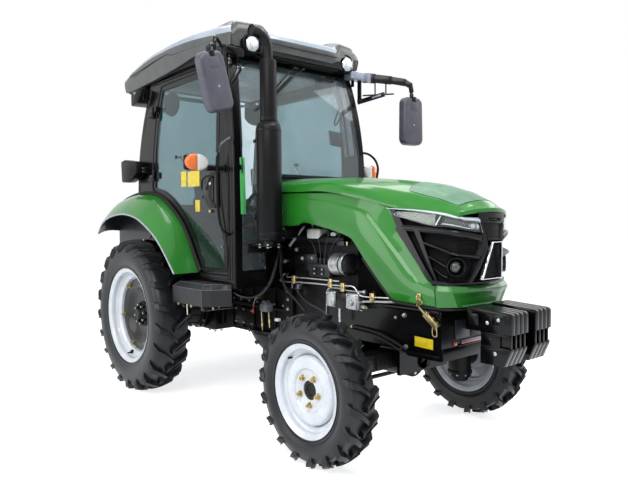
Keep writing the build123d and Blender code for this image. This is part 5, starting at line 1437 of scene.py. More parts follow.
# ---- chrome frame
# A polished trapezoid of four thin walls that stands out of the middle of the
# grille and widens downwards, with a close mesh screen at its back.
chrome = finish("chrome", (226, 229, 232), 0.07, metal=1.0, vary=0.03, patch=8, grain=200, bump=0.01)
FRAME_TOP_Z, FRAME_LOW_Z = 1.07, 0.892
FRAME_TOP_Y, FRAME_LOW_Y = 0.037, 0.08
FRAME_WALL = 0.0045
bm = bmesh.new()
corners = [
    (-FRAME_TOP_Y, FRAME_TOP_Z), (FRAME_TOP_Y, FRAME_TOP_Z), (FRAME_LOW_Y, FRAME_LOW_Z),
    (-FRAME_LOW_Y, FRAME_LOW_Z)
]
for (y0, z0), (y1, z1) in zip(corners, corners[1:] + corners[:1]):
    across = Vector((0, z1 - z0, y0 - y1)).normalized() * FRAME_WALL
    front = [2.466 - 0.03 * (FRAME_TOP_Z - z) / (FRAME_TOP_Z - FRAME_LOW_Z) for z in (z0, z1)]
    outline = [
        ahead(2.405, y0, z0), ahead(front[0], y0, z0), ahead(front[1], y1, z1), ahead(2.405, y1, z1)
    ]
    cut_plate(bm, outline, across, 0, 0.001)
cut_plate(
    bm, [(2.412, y * 0.97, z) for y, z in corners], (-0.004, 0, 0), 1, 0.0
)
for i in range(26):
    z = FRAME_LOW_Z + 0.006 + i * 0.0067
    half = FRAME_LOW_Y + (
        FRAME_TOP_Y - FRAME_LOW_Y
    ) * (z - FRAME_LOW_Z) / (FRAME_TOP_Z - FRAME_LOW_Z) - 0.004
    rod(bm, (2.414, -half, z), (2.414, half, z), 0.0013, 1, sides=6)
piece("chrome_frame", bm, "hood", "bare_steel", chrome, screen_black)

# ---- headlamps
# A long swept cluster each side: black bezel, tinted reflector wedge, a finned
# light guide, two round lenses and a slanted bright end, under a clear lens.
bezel_black = finish("bezel_black", (7, 7, 9), 0.16, coat=0.25, shine=0.25, vary=0.08, patch=20, grain=300)
reflector = finish("reflector", (205, 210, 214), 0.12, metal=1.0, vary=0.1, patch=90, bump=0.1)
wedge_chrome = finish(
    "wedge_chrome", (84, 92, 80), 0.2, metal=1.0, vary=0.1, patch=60, bump=0.1, dark=(36, 44, 32)
)
lamp_white = finish("lamp_white", (238, 242, 246), 0.2, coat=1.0, vary=0.02, patch=30)
strip_white = finish("strip_white", (214, 224, 228), 0.22, coat=0.8, vary=0.04, patch=12)


def clear_plastic(name, colour, rough=0.03, clear=1.0, ior=1.46):
    """A clear or tinted moulding whose thickness wavers a little."""
    made = finish(name, colour, rough, vary=0.02, patch=5, grain=9, bump=0.004)
    surface = made.node_tree.nodes["Principled BSDF"]
    surface.inputs["Transmission Weight"].default_value = clear
    surface.inputs["IOR"].default_value = ior
    return made


lens_clear = clear_plastic("lens_clear", (244, 249, 250))
# columns: u, lower z, upper z
LAMP_ROWS = (
    (0.985, 1.196, 1.214),
    (0.9, 1.172, 1.218),
    (0.78, 1.146, 1.21),
    (0.62, 1.136, 1.196),
    (0.5, 1.126, 1.18),
    (0.36, 1.116, 1.171),
    (0.245, 1.112, 1.168),
)


def lamp_at(s, along, up, depth):
    """A place on one headlamp: along from its back point to its front end, up from 0 to 1."""
    u, low_z, high_z = smooth_row(LAMP_ROWS, along)
    u += 0.045 * (up - 0.5) * along
    return nose_at(s * u, low_z + (high_z - low_z) * up, depth)


for s, hand in HANDS:
    out = Vector((0.75, 0.66 * s, 0))
    bm = bmesh.new()
    skin(
        bm, lambda u, v: lamp_at(s, v, u, 0.012 if 0.1 < u < 0.9 and 0.02 < v < 0.98 else -0.003), 10, 60,
        out, 0, 0.003
    )
    # tinted reflector wedge at the back, with a slanted bright divider
    skin(
        bm, lambda u, v: lamp_at(s, 0.06 + v * (0.3 + 0.06 * u), 0.14 + 0.72 * u, 0.009 - 0.006 * v), 8, 16,
        out, 3, 0.002
    )
    skin(
        bm, lambda u, v: lamp_at(s, 0.375 + 0.07 * u + 0.012 * v, 0.06 + 0.88 * u, -0.001), 6, 4, out, 1,
        0.006
    )
    # light guide with plain slanted fins over it
    skin(bm, lambda u, v: lamp_at(s, 0.42 + 0.4 * v + 0.02 * u, 0.2 + 0.1 * u, 0.005), 2, 20, out, 2, 0.002)
    skin(bm, lambda u, v: lamp_at(s, 0.45 + 0.37 * v, 0.36 + 0.36 * u, 0.01), 2, 20, out, 3, 0.002)
    for i in range(16):
        start = 0.455 + 0.0225 * i
        skin(
            bm, lambda u, v: lamp_at(s, start + 0.005 * v + 0.03 * u, 0.36 + 0.36 * u, 0.006), 3, 2, out, 1,
            0.002
        )
    # two round lenses in dark cups
    for along in (0.855, 0.935):
        middle = lamp_at(s, along, 0.5, 0.008)
        spun(
            bm, [(0.0175, 0.0), (0.0175, 0.007), (0.0155, 0.009), (0.0135, 0.005), (0.0125, 0.0)], middle,
            out, 1, steps=24
        )
        spun(bm, [(0.0, 0.009), (0.005, 0.0085), (0.009, 0.0065), (0.012, 0.002)], middle, out, 2, steps=20)
    skin(bm, lambda u, v: lamp_at(s, 0.972 + 0.034 * v, 0.02 + 0.96 * u, -0.008), 6, 3, out, 2, 0.008)
    piece(f"headlamp_{hand}", bm, "hood", "lamp_black", bezel_black, reflector, lamp_white, wedge_chrome)

    bm = bmesh.new()
    skin(bm, lambda u, v: lamp_at(s, 0.01 + 0.97 * v, 0.05 + 0.9 * u, -0.004), 8, 50, out, 0, 0.002)
    piece(f"headlamp_lens_{hand}", bm, "hood", "cab_glass", lens_clear)

    # white strip that fills the line between the hood's edge and the lamp
    bm = bmesh.new()

    def strip_point(u, v, s=s):
        share, z = along_route(
            (
                (1.02, 1.239), (0.86, 1.228), (0.7, 1.211), (0.56, 1.194), (0.46, 1.186), (0.36, 1.184),
                (0.25, 1.183)
            ),
            v
        )
        tall = 0.008 + 0.016 * v
        depth = along_route(((0.006,), (-0.009,), (-0.01,), (0.002,)), u)[0]
        return nose_at(s * share, z - tall * u, depth)

    skin(bm, strip_point, 6, 48, out, 0, 0.003)
    piece(f"brow_strip_{hand}", bm, "hood", "lamp_black", strip_white)

    # fog lamp: a ball lens in a deep round cup
    middle = nose_at(s * 0.5, 0.955, 0.002)
    out = Vector((0.8, 0.6 * s, 0))
    bm = bmesh.new()
    cup = [
        (0.0445, -0.022), (0.0445, 0.01), (0.043, 0.0125), (0.04, 0.012), (0.037, 0.004), (0.03, -0.014),
        (0.0, -0.018)
    ]
    spun(bm, cup, middle, out, steps=40)
    spun(
        bm, [(0.0285, -0.012), (0.0285, 0.0), (0.026, 0.003), (0.024, 0.0), (0.024, -0.012)], middle, out,
        1, steps=32
    )
    ball = [
        (0.0, 0.016), (0.008, 0.015), (0.0155, 0.0118), (0.021, 0.0065), (0.0242, -0.001), (0.0, -0.001)
    ]
    spun(bm, ball, middle, out, 2, steps=32)
    spun(bm, [(0.0, -0.003), (0.012, -0.004), (0.02, -0.01), (0.0, -0.012)], middle, out, 1, steps=24)
    piece(f"fog_lamp_{hand}", bm, "hood", "lamp_black", grille_black, wedge_chrome, lens_clear)

# ---- rear fenders
# Pressed steel covers over the rear tyres, sprayed green outside with a pale
# edge trim, and lined underneath with a dark rubber coat against stones.
liner_blue = finish("liner_blue", (17, 21, 30), 0.5, coat=0.25, vary=0.25, patch=9, grain=240, bump=0.25)
trim_pale = finish("trim_pale", (168, 172, 182), 0.35, coat=0.3, vary=0.08, patch=40, grain=300)
# columns: x and z on the inner line, on the bend and on the outer lip, from tail to foot
FENDER_ROWS = (
    (-0.69, 1.11, -0.64, 1.11, -0.56, 1.09),
    (-0.61, 1.262, -0.56, 1.232, -0.475, 1.17),
    (-0.43, 1.336, -0.4, 1.305, -0.33, 1.216),
    (-0.15, 1.366, -0.14, 1.338, -0.1, 1.236),
    (0.13, 1.332, 0.14, 1.3, 0.15, 1.196),
    (0.43, 1.15, 0.43, 1.126, 0.425, 1.062),
    (0.64, 0.852, 0.652, 0.852, 0.656, 0.852),
)
FENDER_IN_Y, FENDER_OUT_Y = 0.5, 0.725
BEND_SHARE = 0.622


def fender_point(s, u, v, sink=0.0):
    """A place on a fender: u from its inner line to its lip, v from tail to foot."""
    in_x, in_z, mid_x, mid_z, out_x, out_z = smooth_row(FENDER_ROWS, v, 0.8)
    near = (u - BEND_SHARE) * (u - 1) / BEND_SHARE
    bend = u * (u - 1) / (BEND_SHARE * (BEND_SHARE - 1))
    far = u * (u - BEND_SHARE) / (1 - BEND_SHARE)
    x = in_x * near + mid_x * bend + out_x * far
    z = in_z * near + mid_z * bend + out_z * far
    inward = Vector((-x, 0, 0.8 - z)).normalized() * sink
    return ahead(x, s * (FENDER_IN_Y + (FENDER_OUT_Y - FENDER_IN_Y) * u), z) + inward


def wall_drop(v):
    """How far the wheel house's inner wall hangs down, from tail to foot."""
    return min(0.1 + 1.4 * v, 0.3, 0.06 + 1.2 * (1 - v))


for s, hand in HANDS:
    bm = bmesh.new()
    skin(bm, lambda u, v: fender_point(s, u, v), 24, 72, (0, 0.4 * s, 1), 0, 0.003)
    skin(
        bm, lambda u, v: fender_point(s, 0.01 + 0.97 * u, 0.004 + 0.992 * v, 0.009), 16, 60,
        (0, 0.4 * s, 1), 1
    )
    # inner wall that closes the wheel house towards the cab
    skin(bm, lambda u, v: fender_point(s, 0.02, 0.01 + 0.62 * v, 0.008) - UP * (0.012 + u * wall_drop(v)),
         4, 48, (0, s, 0), 1)
    edge = [fender_point(s, 1.0, i / 26, 0.004) for i in range(27)]
    pipe(bm, edge, 0.0055, 2)
    tail = [fender_point(s, i / 8, 0.0, 0.003) for i in range(9)]
    pipe(bm, tail, 0.004, 2)
    # rubber seal where the cab's side stands on the fender
    pipe(bm, [fender_point(s, 0.185, 0.1 + i / 29, -0.009) for i in range(27)], 0.013, 3)
    piece(f"fender_{hand}_shell", bm, "chassis", "body_green", body_green, liner_blue, trim_pale, rubber,
          stands_for=[f"fender_{hand}"])

# ---- step boxes
# A moulded dark-grey box under each door, which hides the battery and tank
# and has a ribbed tread on its deck; it hangs from plated bolts.
step_grey = finish("step_grey", (29, 30, 34), 0.42, coat=0.05, patch=12, grain=900, bump=0.25, shine=0.3)
edge_grey = finish("edge_grey", (96, 100, 108), 0.4, patch=60, grain=500)
dress(step_grey, "step_box_left", "step_box_right")
for s, hand in HANDS:
    bm = bmesh.new()
    for i in range(7):
        y = s * (0.556 + 0.013 * i)
        slab(bm, (0.6, y, 0.7965), (0.905 - 0.004 * i, y + 0.006 * s, 0.8005), 0, 0.001)
    deck = ((0.579, 0.646, 0.798), (0.89, 0.646, 0.798), (0.916, 0.625, 0.798), (0.95, 0.56, 0.798))
    rim = ((0.545, 0.68, 0.768), (0.905, 0.68, 0.768), (0.95, 0.64, 0.768), (1.008, 0.542, 0.768))
    for row in (deck, rim):
        pipe(bm, sided(s, row), 0.0016, 1, 1, True)
    for (x0, y0, z0), (x1, y1, z1) in zip(deck[:3], rim[:3]):
        pipe(bm, [(x0, s * y0, z0), (x1, s * y1, z1)], 0.0016, 1, 1, True)
    pipe(bm, [(0.905, s * 0.681, 0.766), (0.905, s * 0.681, 0.67)], 0.0014, 1, 1, True)
    for x, y in ((0.585, 0.66), (0.745, 0.66), (0.875, 0.655), (0.935, 0.62), (0.6, 0.56), (0.9, 0.56)):
        rod(bm, (x, s * y, 0.668), (x, s * y, 0.65), 0.006, 2, sides=12)
        bolt(bm, (x, s * y, 0.664), (0, 0, -1), 0.008, 2)
    for x in (0.62, 0.86):
        slab(bm, (x, s * 0.44, 0.64), (x + 0.045, s * 0.665, 0.664), 3, 0.004)
    pipe(bm, [(0.675, s * 0.652, 0.664), (0.64, s * 0.63, 0.59)], 0.0045, 4, straight=True)
    slab(bm, (0.59, s * 0.47, 0.66), (0.93, s * 0.54, 0.775), 3, 0.004)
    piece(
        f"step_{hand}_trim", bm, "chassis", "step_grey", step_grey, edge_grey, brass_zinc, frame_black, zinc
    )

# ---- cab frame
# Black-painted pressed pillars with folded ridges, rubber door and window
# seals, grab handles, hinges and the rods that prop the mirrors.
cab_black = finish("cab_black", (9, 9, 11), 0.24, coat=0.08, vary=0.1, grain=600, bump=0.04, shine=0.2)
trim_grey = finish("trim_grey", (112, 114, 126), 0.5, vary=0.1, patch=12, grain=700, bump=0.15)
bracket_grey = finish("bracket_grey", (150, 158, 176), 0.35, coat=0.3, vary=0.1, patch=30, grain=400)
dress(cab_black, "cab_side_left", "cab_side_right", "cab_front_wall", "cab_rear_wall", "cab_floor",
      "door_frame_left", "door_frame_right")
# columns: z, outer skin y, front corner x, rear corner x
CAB_ROWS = (
    (0.775, 0.535, 1.058, -0.25),
    (1.376, 0.535, 1.058, -0.25),
    (1.488, 0.535, 1.058, -0.24),
    (1.74, 0.5275, 1.035, -0.208),
    (1.836, 0.5245, 1.024, -0.182),
    (2.03, 0.51, 0.985, -0.125),
    (2.185, 0.493, 0.946, -0.08),
)
DOOR_EDGE = (
    (0.65, 0.872), (0.946, 0.872), (0.966, 0.895), (0.966, 1.05), (0.892, 1.3), (0.884, 2.1), (0.86, 2.132),
    (0.096, 2.132), (0.074, 2.115), (0.042, 1.96), (0.006, 1.69), (-0.008, 1.43), (0.0, 1.395),
    (0.13, 1.365), (0.29, 1.28), (0.44, 1.165), (0.56, 1.005), (0.65, 0.872)
)


def on_side(s, x, z, out=0.0):
    """A place on the cab's side skin, stood off by out."""
    return ahead(x, s * (row_at(CAB_ROWS, z)[1] + out), z)


for s, hand in HANDS:
    bm = bmesh.new()
    # ridges down the front pillar and the line of the rear one
    for inset, radius in ((0.012, 0.007), (0.04, 0.004), (0.068, 0.006), (0.092, 0.004)):
        route = [
            on_side(s, row_at(CAB_ROWS, z)[2] - inset, z, -0.001)
            for z in (0.8, 1.1, 1.3, 1.488, 1.66, 1.836, 2.03, 2.17)
        ]
        pipe(bm, route, radius)
    for inset in (0.01, 0.03):
        route = [
            on_side(s, row_at(CAB_ROWS, z)[3] + inset, z, -0.001)
            for z in (1.4, 1.6, 1.74, 1.9, 2.05, 2.17)
        ]
        pipe(bm, route, 0.004)
    # rubber seal round the door opening
    pipe(bm, [on_side(s, x, z, 0.002) for x, z in DOOR_EDGE], 0.0055, 1)
    # side window behind the front pillar ridge: sill plate and drip rail
    slab(bm, on_side(s, 0.64, 0.802, -0.004), on_side(s, 1.052, 0.826, 0.005))
    pipe(bm, [on_side(s, x, 2.16, 0.004) for x in (-0.06, 0.3, 0.6, 0.93)], 0.007)
    # grab handle: on the side of the right pillar, an outward bow on the left
    if s < 0:
        grab = (
            (1.012, 0.53, 1.668), (1.0, 0.56, 1.65), (0.985, 0.598, 1.612), (0.975, 0.605, 1.56),
            (0.97, 0.605, 1.31), (0.984, 0.6, 1.16), (0.99, 0.575, 1.105), (0.99, 0.53, 1.092)
        )
    else:
        grab = (
            (1.0, 0.525, 1.64), (1.015, 0.585, 1.655), (1.045, 0.655, 1.61), (1.055, 0.68, 1.54),
            (1.045, 0.672, 1.49), (1.03, 0.665, 1.3), (1.015, 0.62, 1.16), (1.0, 0.53, 1.15)
        )
    pipe(bm, sided(s, grab), 0.0085)
    # painted highlight: the right handle's top run is sleeved in pale grey
    if s < 0:
        pipe(bm, sided(s, grab[:4]), 0.0088, 2)
    for x, y, z in (grab[0], grab[-1]):
        spun(
            bm, [(0.0, 0.0), (0.018, 0.0), (0.019, 0.003), (0.012, 0.008), (0.0, 0.008)],
            (x, s * (y - 0.002), z), (0, s, 0), steps=20
        )
    # hinges at the rear of the door
    for z in (1.5, 1.95):
        rod(bm, (0.03, s * 0.545, z - 0.04), (0.03, s * 0.545, z + 0.04), 0.0085, sides=16, edge=0.002)
        y = row_at(CAB_ROWS, z)[1]
        slab(bm, (-0.045, s * (y - 0.003), z - 0.028), (0.018, s * (y + 0.007), z + 0.028), 0, 0.002)
        for x in (-0.032, -0.008):
            bolt(bm, (x, s * (y + 0.007), z), (0, s, 0), 0.006, 3)
    # bracket, prop and rods of the mirror arm
    arm_paint = 4 if s > 0 else 0
    slab(bm, (0.955, s * 0.44, 2.148), (1.035, s * 0.6, 2.2), arm_paint, 0.008, rounds=3)
    slab(bm, (1.03, s * 0.578, 2.136), (1.052, s * 0.612, 2.196), arm_paint, 0.004)
    slab(bm, (0.985, s * 0.54, 2.01), (1.015, s * 0.556, 2.15), 0, 0.004)
    lean = facing((1.01, s * 0.52, 1.995), (1.205, s * 0.585, 2.03))
    slab(bm, (-0.006, -0.016, -0.105), (0.006, 0.016, 0.105), 0, 0.003, lean)
    slab(bm, (-0.0075, -0.006, 0.01), (0.0075, 0.006, 0.08), 4, 0.002, lean)
    rod(bm, (1.02, s * 0.56, 2.046), (1.195, s * 0.69, 2.046), 0.0055, sides=12)
    for x, y in ((1.09, 0.612), (1.15, 0.657)):
        rod(bm, (x, s * y, 2.046), (x, s * y, 2.14), 0.005, sides=12)
    slab(bm, on_side(s, 0.962, 2.105, 0.0), on_side(s, 0.99, 2.15, 0.012))
    for z in (2.115, 2.14):
        bolt(bm, on_side(s, 0.976, z, 0.011), (0, s, 0), 0.006, 3)
    # light trim inside the pillars
    for inset, depth in ((0.045, 0.03), (0.1, 0.02)):
        route = [
            ahead(row_at(CAB_ROWS, z)[2] - inset, s * (row_at(CAB_ROWS, z)[1] - 0.068), z)
            for z in (1.62, 1.75, 1.9, 2.03, 2.17)
        ]
        pipe(bm, route, depth * 0.6, 5)
    # a bright green strip beside the windshield, a painted reflection of the hood's edge in the glass
    if s < 0:
        strip = ((1.062, 0.5, 1.215), (1.062, 0.464, 1.215), (1.053, 0.464, 1.55), (1.053, 0.5, 1.55))
        cut_plate(bm, sided(s, strip), (0.003, 0, 0), 6, 0.001)
    piece(
        f"cab_{hand}_fittings", bm, "chassis", "cab_black", cab_black, rubber, edge_grey, zinc,
        bracket_grey, trim_grey,
        finish(f"painted_hood_reflection_{hand}", (86, 196, 104), 0.4, coat=0.3, vary=0.06, patch=30)
    )

# ---- doors
# Each door is a welded tube frame round one bent pane, with a cast latch box
# and lever at its front edge, a gas spring inside and blank yellow plates.
for s, hand in HANDS:
    bm = bmesh.new()
    face = s * 0.537
    box = (
        (0.87, 1.48), (0.88, 1.285), (0.862, 1.256), (0.79, 1.262), (0.752, 1.3), (0.736, 1.38),
        (0.745, 1.44), (0.8, 1.476)
    )
    cut_plate(bm, at_y(s * 0.522, box), (0, s * 0.034, 0), 0, 0.006)
    cut_plate(
        bm, [(0.8 + (x - 0.8) * 0.7, s * 0.553, 1.37 + (z - 1.37) * 0.7) for x, z in box], (0, s * 0.01, 0),
        0, 0.004
    )
    lever = (
        (0.85, 0.562, 1.445), (0.822, 0.578, 1.455), (0.775, 0.584, 1.44), (0.748, 0.58, 1.405),
        (0.742, 0.572, 1.37)
    )
    pipe(bm, sided(s, lever), 0.0065)
    rod(bm, (0.825, s * 0.56, 1.405), (0.825, s * 0.568, 1.405), 0.011, 1, edge=0.002)
    slab(bm, (0.768, s * 0.53, 1.228), (0.792, s * 0.545, 1.246), 2)
    for x0, x1, z0, z1 in ((0.585, 0.64, 1.238, 1.312), (0.4, 0.47, 1.405, 1.505), (0.49, 0.64, 1.4, 1.5)):
        slab(bm, (x0, s * 0.5225, z0), (x1, s * 0.5315, z1), 3, 0.0005)
    # gas spring, its ball stud and plate inside the pane
    rod(bm, (0.33, s * 0.488, 1.61), (0.475, s * 0.488, 1.465), 0.0045, 1, sides=12)
    rod(bm, (0.46, s * 0.488, 1.48), (0.61, s * 0.488, 1.33), 0.0095, sides=16, edge=0.002)
    slab(bm, (0.59, s * 0.482, 1.318), (0.7, s * 0.494, 1.34))
    for x, z in ((0.33, 1.61), (0.68, 1.329)):
        rod(bm, (x, s * 0.484, z), (x, s * 0.53, z), 0.007, sides=12)
        spun(
            bm, [(0.0, 0.006), (0.01, 0.005), (0.014, 0.0), (0.0, 0.0)], (x, s * 0.5265, z), (0, s, 0),
            steps=20
        )
    for z in (1.5, 1.905):
        slab(bm, (0.052, s * 0.512, z - 0.022), (0.1, s * (row_at(CAB_ROWS, z)[1] + 0.004), z + 0.022))
    for x, z in ((0.925, 1.02), (0.9, 1.6), (0.895, 2.02)):
        bolt(bm, (x - 0.02, s * (row_at(CAB_ROWS, z)[1] - 0.001), z), (0, s, 0), 0.005, 1)
    piece(
        f"door_{hand}_fittings", bm, f"door_{hand}", "cab_black", cab_black, zinc, brass_zinc, plate_yellow
    )

# ---- glazing
# Tinted safety glass, faintly blue-green, bonded into rubber; a black band across the windshield's top is
# partly its printed border and partly painted shade under the roof, and the windshield carries a wiper hung
# from its top edge.
screen_glass = clear_plastic("screen_glass", (238, 250, 254), 0.01, 0.96, 1.45)
door_glass = clear_plastic("door_glass", (116, 148, 154), 0.01, 0.96, 1.45)
dress(screen_glass, "windshield", "rear_window")
dress(door_glass, "door_glass_left", "door_glass_right")
bm = bmesh.new()


def on_screen(y, z, out=0.0):
    """A place on the front of the windshield."""
    return ahead(row_at(CAB_ROWS, z)[2] + 0.001 + out, y, z)


for s in SIDES:
    pipe(
        bm, [on_screen(s * (row_at(CAB_ROWS, z)[1] - 0.05), z) for z in (1.46, 1.6, 1.75, 1.9, 2.05, 2.16)],
        0.0045
    )
pipe(bm, [on_screen(y, 2.15) for y in (-0.44, -0.2, 0.0, 0.2, 0.44)], 0.0045)
for s in SIDES:
    pipe(bm, [on_screen(s * 0.326, z) for z in (0.9, 1.15, 1.44)], 0.0045)
pipe(bm, [on_screen(y, 1.458) for y in (-0.32, -0.1, 0.1, 0.32)], 0.006)
# black band across the top of the glass, deeper at its corners: partly printed border, partly painted shade
# under the roof
skin(
    bm, lambda u, v: on_screen(0.92 * (u - 0.5), 2.182 - v * (0.028 + 0.034 * (2 * u - 1) ** 2), 0.003), 24,
    4, (1, 0, 0), 1, 0.001
)
# cowl under the glass
slab(bm, (1.045, -0.32, 1.44), (1.085, 0.32, 1.452), 1, 0.004)
# wiper: motor hood, arm, parallel link and blade
slab(bm, on_screen(-0.05, 2.155, 0.002), on_screen(0.07, 2.18, 0.034), 1, 0.006)
for y, z in ((-0.03, 2.165), (0.036, 2.162)):
    rod(bm, on_screen(y, z, 0.005), on_screen(y, z, 0.04), 0.009, 1, sides=16, edge=0.002)
pipe(
    bm, [on_screen(0.036, 2.16, 0.036), on_screen(-0.12, 2.03, 0.026), on_screen(-0.205, 1.955, 0.02)],
    0.007, 1
)
pipe(
    bm, [on_screen(-0.03, 2.163, 0.036), on_screen(-0.16, 2.04, 0.026), on_screen(-0.218, 1.975, 0.02)],
    0.005, 1
)
pipe(
    bm, [on_screen(-0.355, 1.845, 0.01), on_screen(-0.215, 1.96, 0.014), on_screen(-0.045, 2.095, 0.01)],
    0.0075
)
piece("windshield_trim", bm, "chassis", "cab_black", rubber, cab_black)

# ---- seat
# Foam pads under a woven dark fabric with vinyl sides, sewn in channels, on a
# sprung steel base with a rubber bellows and a slide rail each side.
seat_fabric = finish(
    "seat_fabric", (38, 38, 42), 0.85, vary=0.15, patch=30, grain=1100, bump=0.5, shine=0.25
)
seat_vinyl = finish("seat_vinyl", (20, 20, 22), 0.5, patch=20, grain=800, bump=0.3, shine=0.35)
PAD_VOXEL = 0.007


def pad_mesh(low, high, slant):
    """A pad's starting block, its corners well rounded; slant moves it back as it rises."""
    shape = bmesh.new()
    slab(shape, low, high, 0, 0.45 * min(Vector(high) - Vector(low)), rounds=4)
    for vert in shape.verts:
        vert.co.x += slant * (vert.co.z - low[2])
    return shape


def foam_pad(name, node, low, high, slant, glued, seams, rise, cap):
    """A cushion blown up from a slightly small block, then drawn in along its seams."""
    bm = pad_mesh(low, high, slant)
    thing = piece(name, bm, "chassis", "seat_fabric", seat_fabric, seat_vinyl, stands_for=[node])
    remesh = thing.modifiers.new("even_mesh", "REMESH")
    remesh.mode = "VOXEL"
    remesh.voxel_size = PAD_VOXEL
    mesh = bpy.data.meshes.new_from_object(thing.evaluated_get(bpy.context.evaluated_depsgraph_get()))
    thing.modifiers.clear()
    thing.data = mesh
    rest = [vert.co.copy() for vert in mesh.vertices]
    held = thing.vertex_groups.new(name="glued")
    held.add([i for i, place in enumerate(rest) if glued(place)], 1.0, "REPLACE")
    foam = thing.modifiers.new("foam", "CLOTH")
    foam.settings.use_pressure = True
    foam.settings.uniform_pressure_force = 4
    foam.settings.effector_weights.gravity = 0
    foam.settings.vertex_group_mass = "glued"
    for step in range(1, 21):
        scene.frame_set(step)
    blown = bpy.data.meshes.new_from_object(thing.evaluated_get(bpy.context.evaluated_depsgraph_get()))
    thing.modifiers.clear()
    for vert, old, new in zip(mesh.vertices, rest, blown.vertices):
        shift = new.co - old
        vert.co = old + shift * min(1.0, cap / max(shift.length, 1e-6))
    bpy.data.meshes.remove(blown)
    scene.frame_set(1)
    across = (low[1] + high[1]) / 2
    for vert, old in zip(mesh.vertices, rest):
        if rise(vert.normal) > 0.35:
            depth = sum(0.01 * 2.72 ** (-((distance(old, across) / 0.009) ** 2)) for distance in seams)
            vert.co -= vert.normal * min(depth, 0.012)
    for face in mesh.polygons:
        face.use_smooth = True
        middle = abs(face.center.y - across) < 0.135
        face.material_index = 0 if middle and rise(face.normal) > 0.35 else 1
    finer = thing.modifiers.new("finer", "SUBSURF")
    finer.levels = finer.render_levels = 1


SEAMS = (
    lambda p, mid: abs(abs(p.y - mid) - 0.135),
    lambda p, mid: abs(abs(p.y - mid) - 0.045) + (0.0 if abs(p.y - mid) < 0.12 else 1)
)
foam_pad(
    "seat_pad", "seat_cushion", ahead(0.03, -0.215, 1.034), ahead(0.48, 0.215, 1.112), 0.0,
    lambda p: p.z < 1.04, SEAMS, lambda n: n.z, 0.016,
)
foam_pad(
    "back_pad", "seat_back", ahead(0.026, -0.207, 1.15), ahead(0.088, 0.207, 1.622), -0.178,
    lambda p: (p.x - REAR_AXLE_X) + 0.178 * (p.z - 1.15) < 0.031, SEAMS, lambda n: n.x, 0.016,
)
dress(seat_vinyl, "seat_frame")
bm = bmesh.new()
for i in range(6):
    z = 0.84 + 0.026 * i
    slab(bm, (0.075 + 0.004 * (i % 2), -0.172, z), (0.405 - 0.004 * (i % 2), 0.172, z + 0.02), 0, 0.008)
for s in SIDES:
    slab(bm, (0.04, s * 0.165, 1.004), (0.46, s * 0.19, 1.022), 1)
    # arm rest on a bracket
    rod(bm, (0.02, s * 0.225, 1.22), (0.02, s * 0.262, 1.22), 0.016, 1)
    slab(bm, (0.0, s * 0.235, 1.205), (0.3, s * 0.285, 1.24), 2, 0.012, rounds=3)
    # belt anchors and buckle
    slab(bm, (0.06, s * 0.236, 1.02), (0.085, s * 0.244, 1.115), 1, 0.002)
slab(bm, (0.052, 0.232, 1.095), (0.093, 0.256, 1.16), 3, 0.005)
pipe(bm, [(0.44, -0.12, 1.01), (0.5, -0.12, 1.006), (0.5, 0.12, 1.006), (0.44, 0.12, 1.01)], 0.006, 1, 1)
piece("seat_hardware", bm, "chassis", "chassis_black", rubber, frame_black, seat_vinyl, tag_red)

# ---- dash and controls
# Textured black mouldings: the steering console with a hooded dial cluster,
# keys and switches, side consoles with levers, pedals and a ribbed mat.
dash_black = finish("dash_black", (22, 22, 25), 0.6, patch=20, grain=850, bump=0.35, shine=0.3)
dial_white = finish("dial_white", (226, 230, 228), 0.4, vary=0.04, patch=30)
dress(dash_black, "dash_console")
bm = bmesh.new()
hood_low, hood_high = ahead(0.88, -0.15, 1.3), ahead(1.02, 0.15, 1.405)
slab(bm, hood_low, hood_high, 0, 0.03, rounds=4)
dial_face = facing((0.905, 0, 1.355), (0.868, 0, 1.372))
slab(bm, (-0.052, -0.125, -0.02), (0.052, 0.125, 0.004), 1, 0.006, dial_face)
for y, radius in ((-0.07, 0.04), (0.07, 0.04), (0.0, 0.02)):
    middle = dial_face @ Vector((0.0, y, 0.005))
    out = dial_face.to_3x3() @ UP
    spun(
        bm, [(radius - 0.004, 0.0), (radius - 0.002, 0.004), (radius, 0.004), (radius + 0.001, 0.0)],
        middle, out, 4, steps=32
    )
    for i in range(11):
        angle = radians(-130 + 26 * i)
        arm = dial_face.to_3x3() @ Vector((cos(angle), sin(angle), 0))
        rod(bm, middle + arm * radius * 0.66, middle + arm * radius * 0.84, 0.001, 2, sides=6)
    needle = dial_face.to_3x3() @ Vector((0.8, 0.6, 0))
    rod(bm, middle, middle + needle * radius * 0.7, 0.0014, 3, tip=0.0006, sides=8)
for i in range(5):
    slab(
        bm, (0.744 + 0.001 * i, -0.1 + 0.035 * i, 1.228), (0.76, -0.078 + 0.035 * i, 1.25),
        1 if i % 2 else 3, 0.004
    )
rod(bm, (0.738, 0.105, 1.165), (0.722, 0.105, 1.16), 0.014, 4, edge=0.002)
# steering column boot and stalk
rod(bm, (0.785, 0, 1.215), (0.728, 0, 1.288), 0.045, 1, tip=0.028, sides=28, edge=0.004)
rod(bm, (0.745, -0.02, 1.27), (0.735, -0.15, 1.3), 0.006, 1, tip=0.009, sides=12)
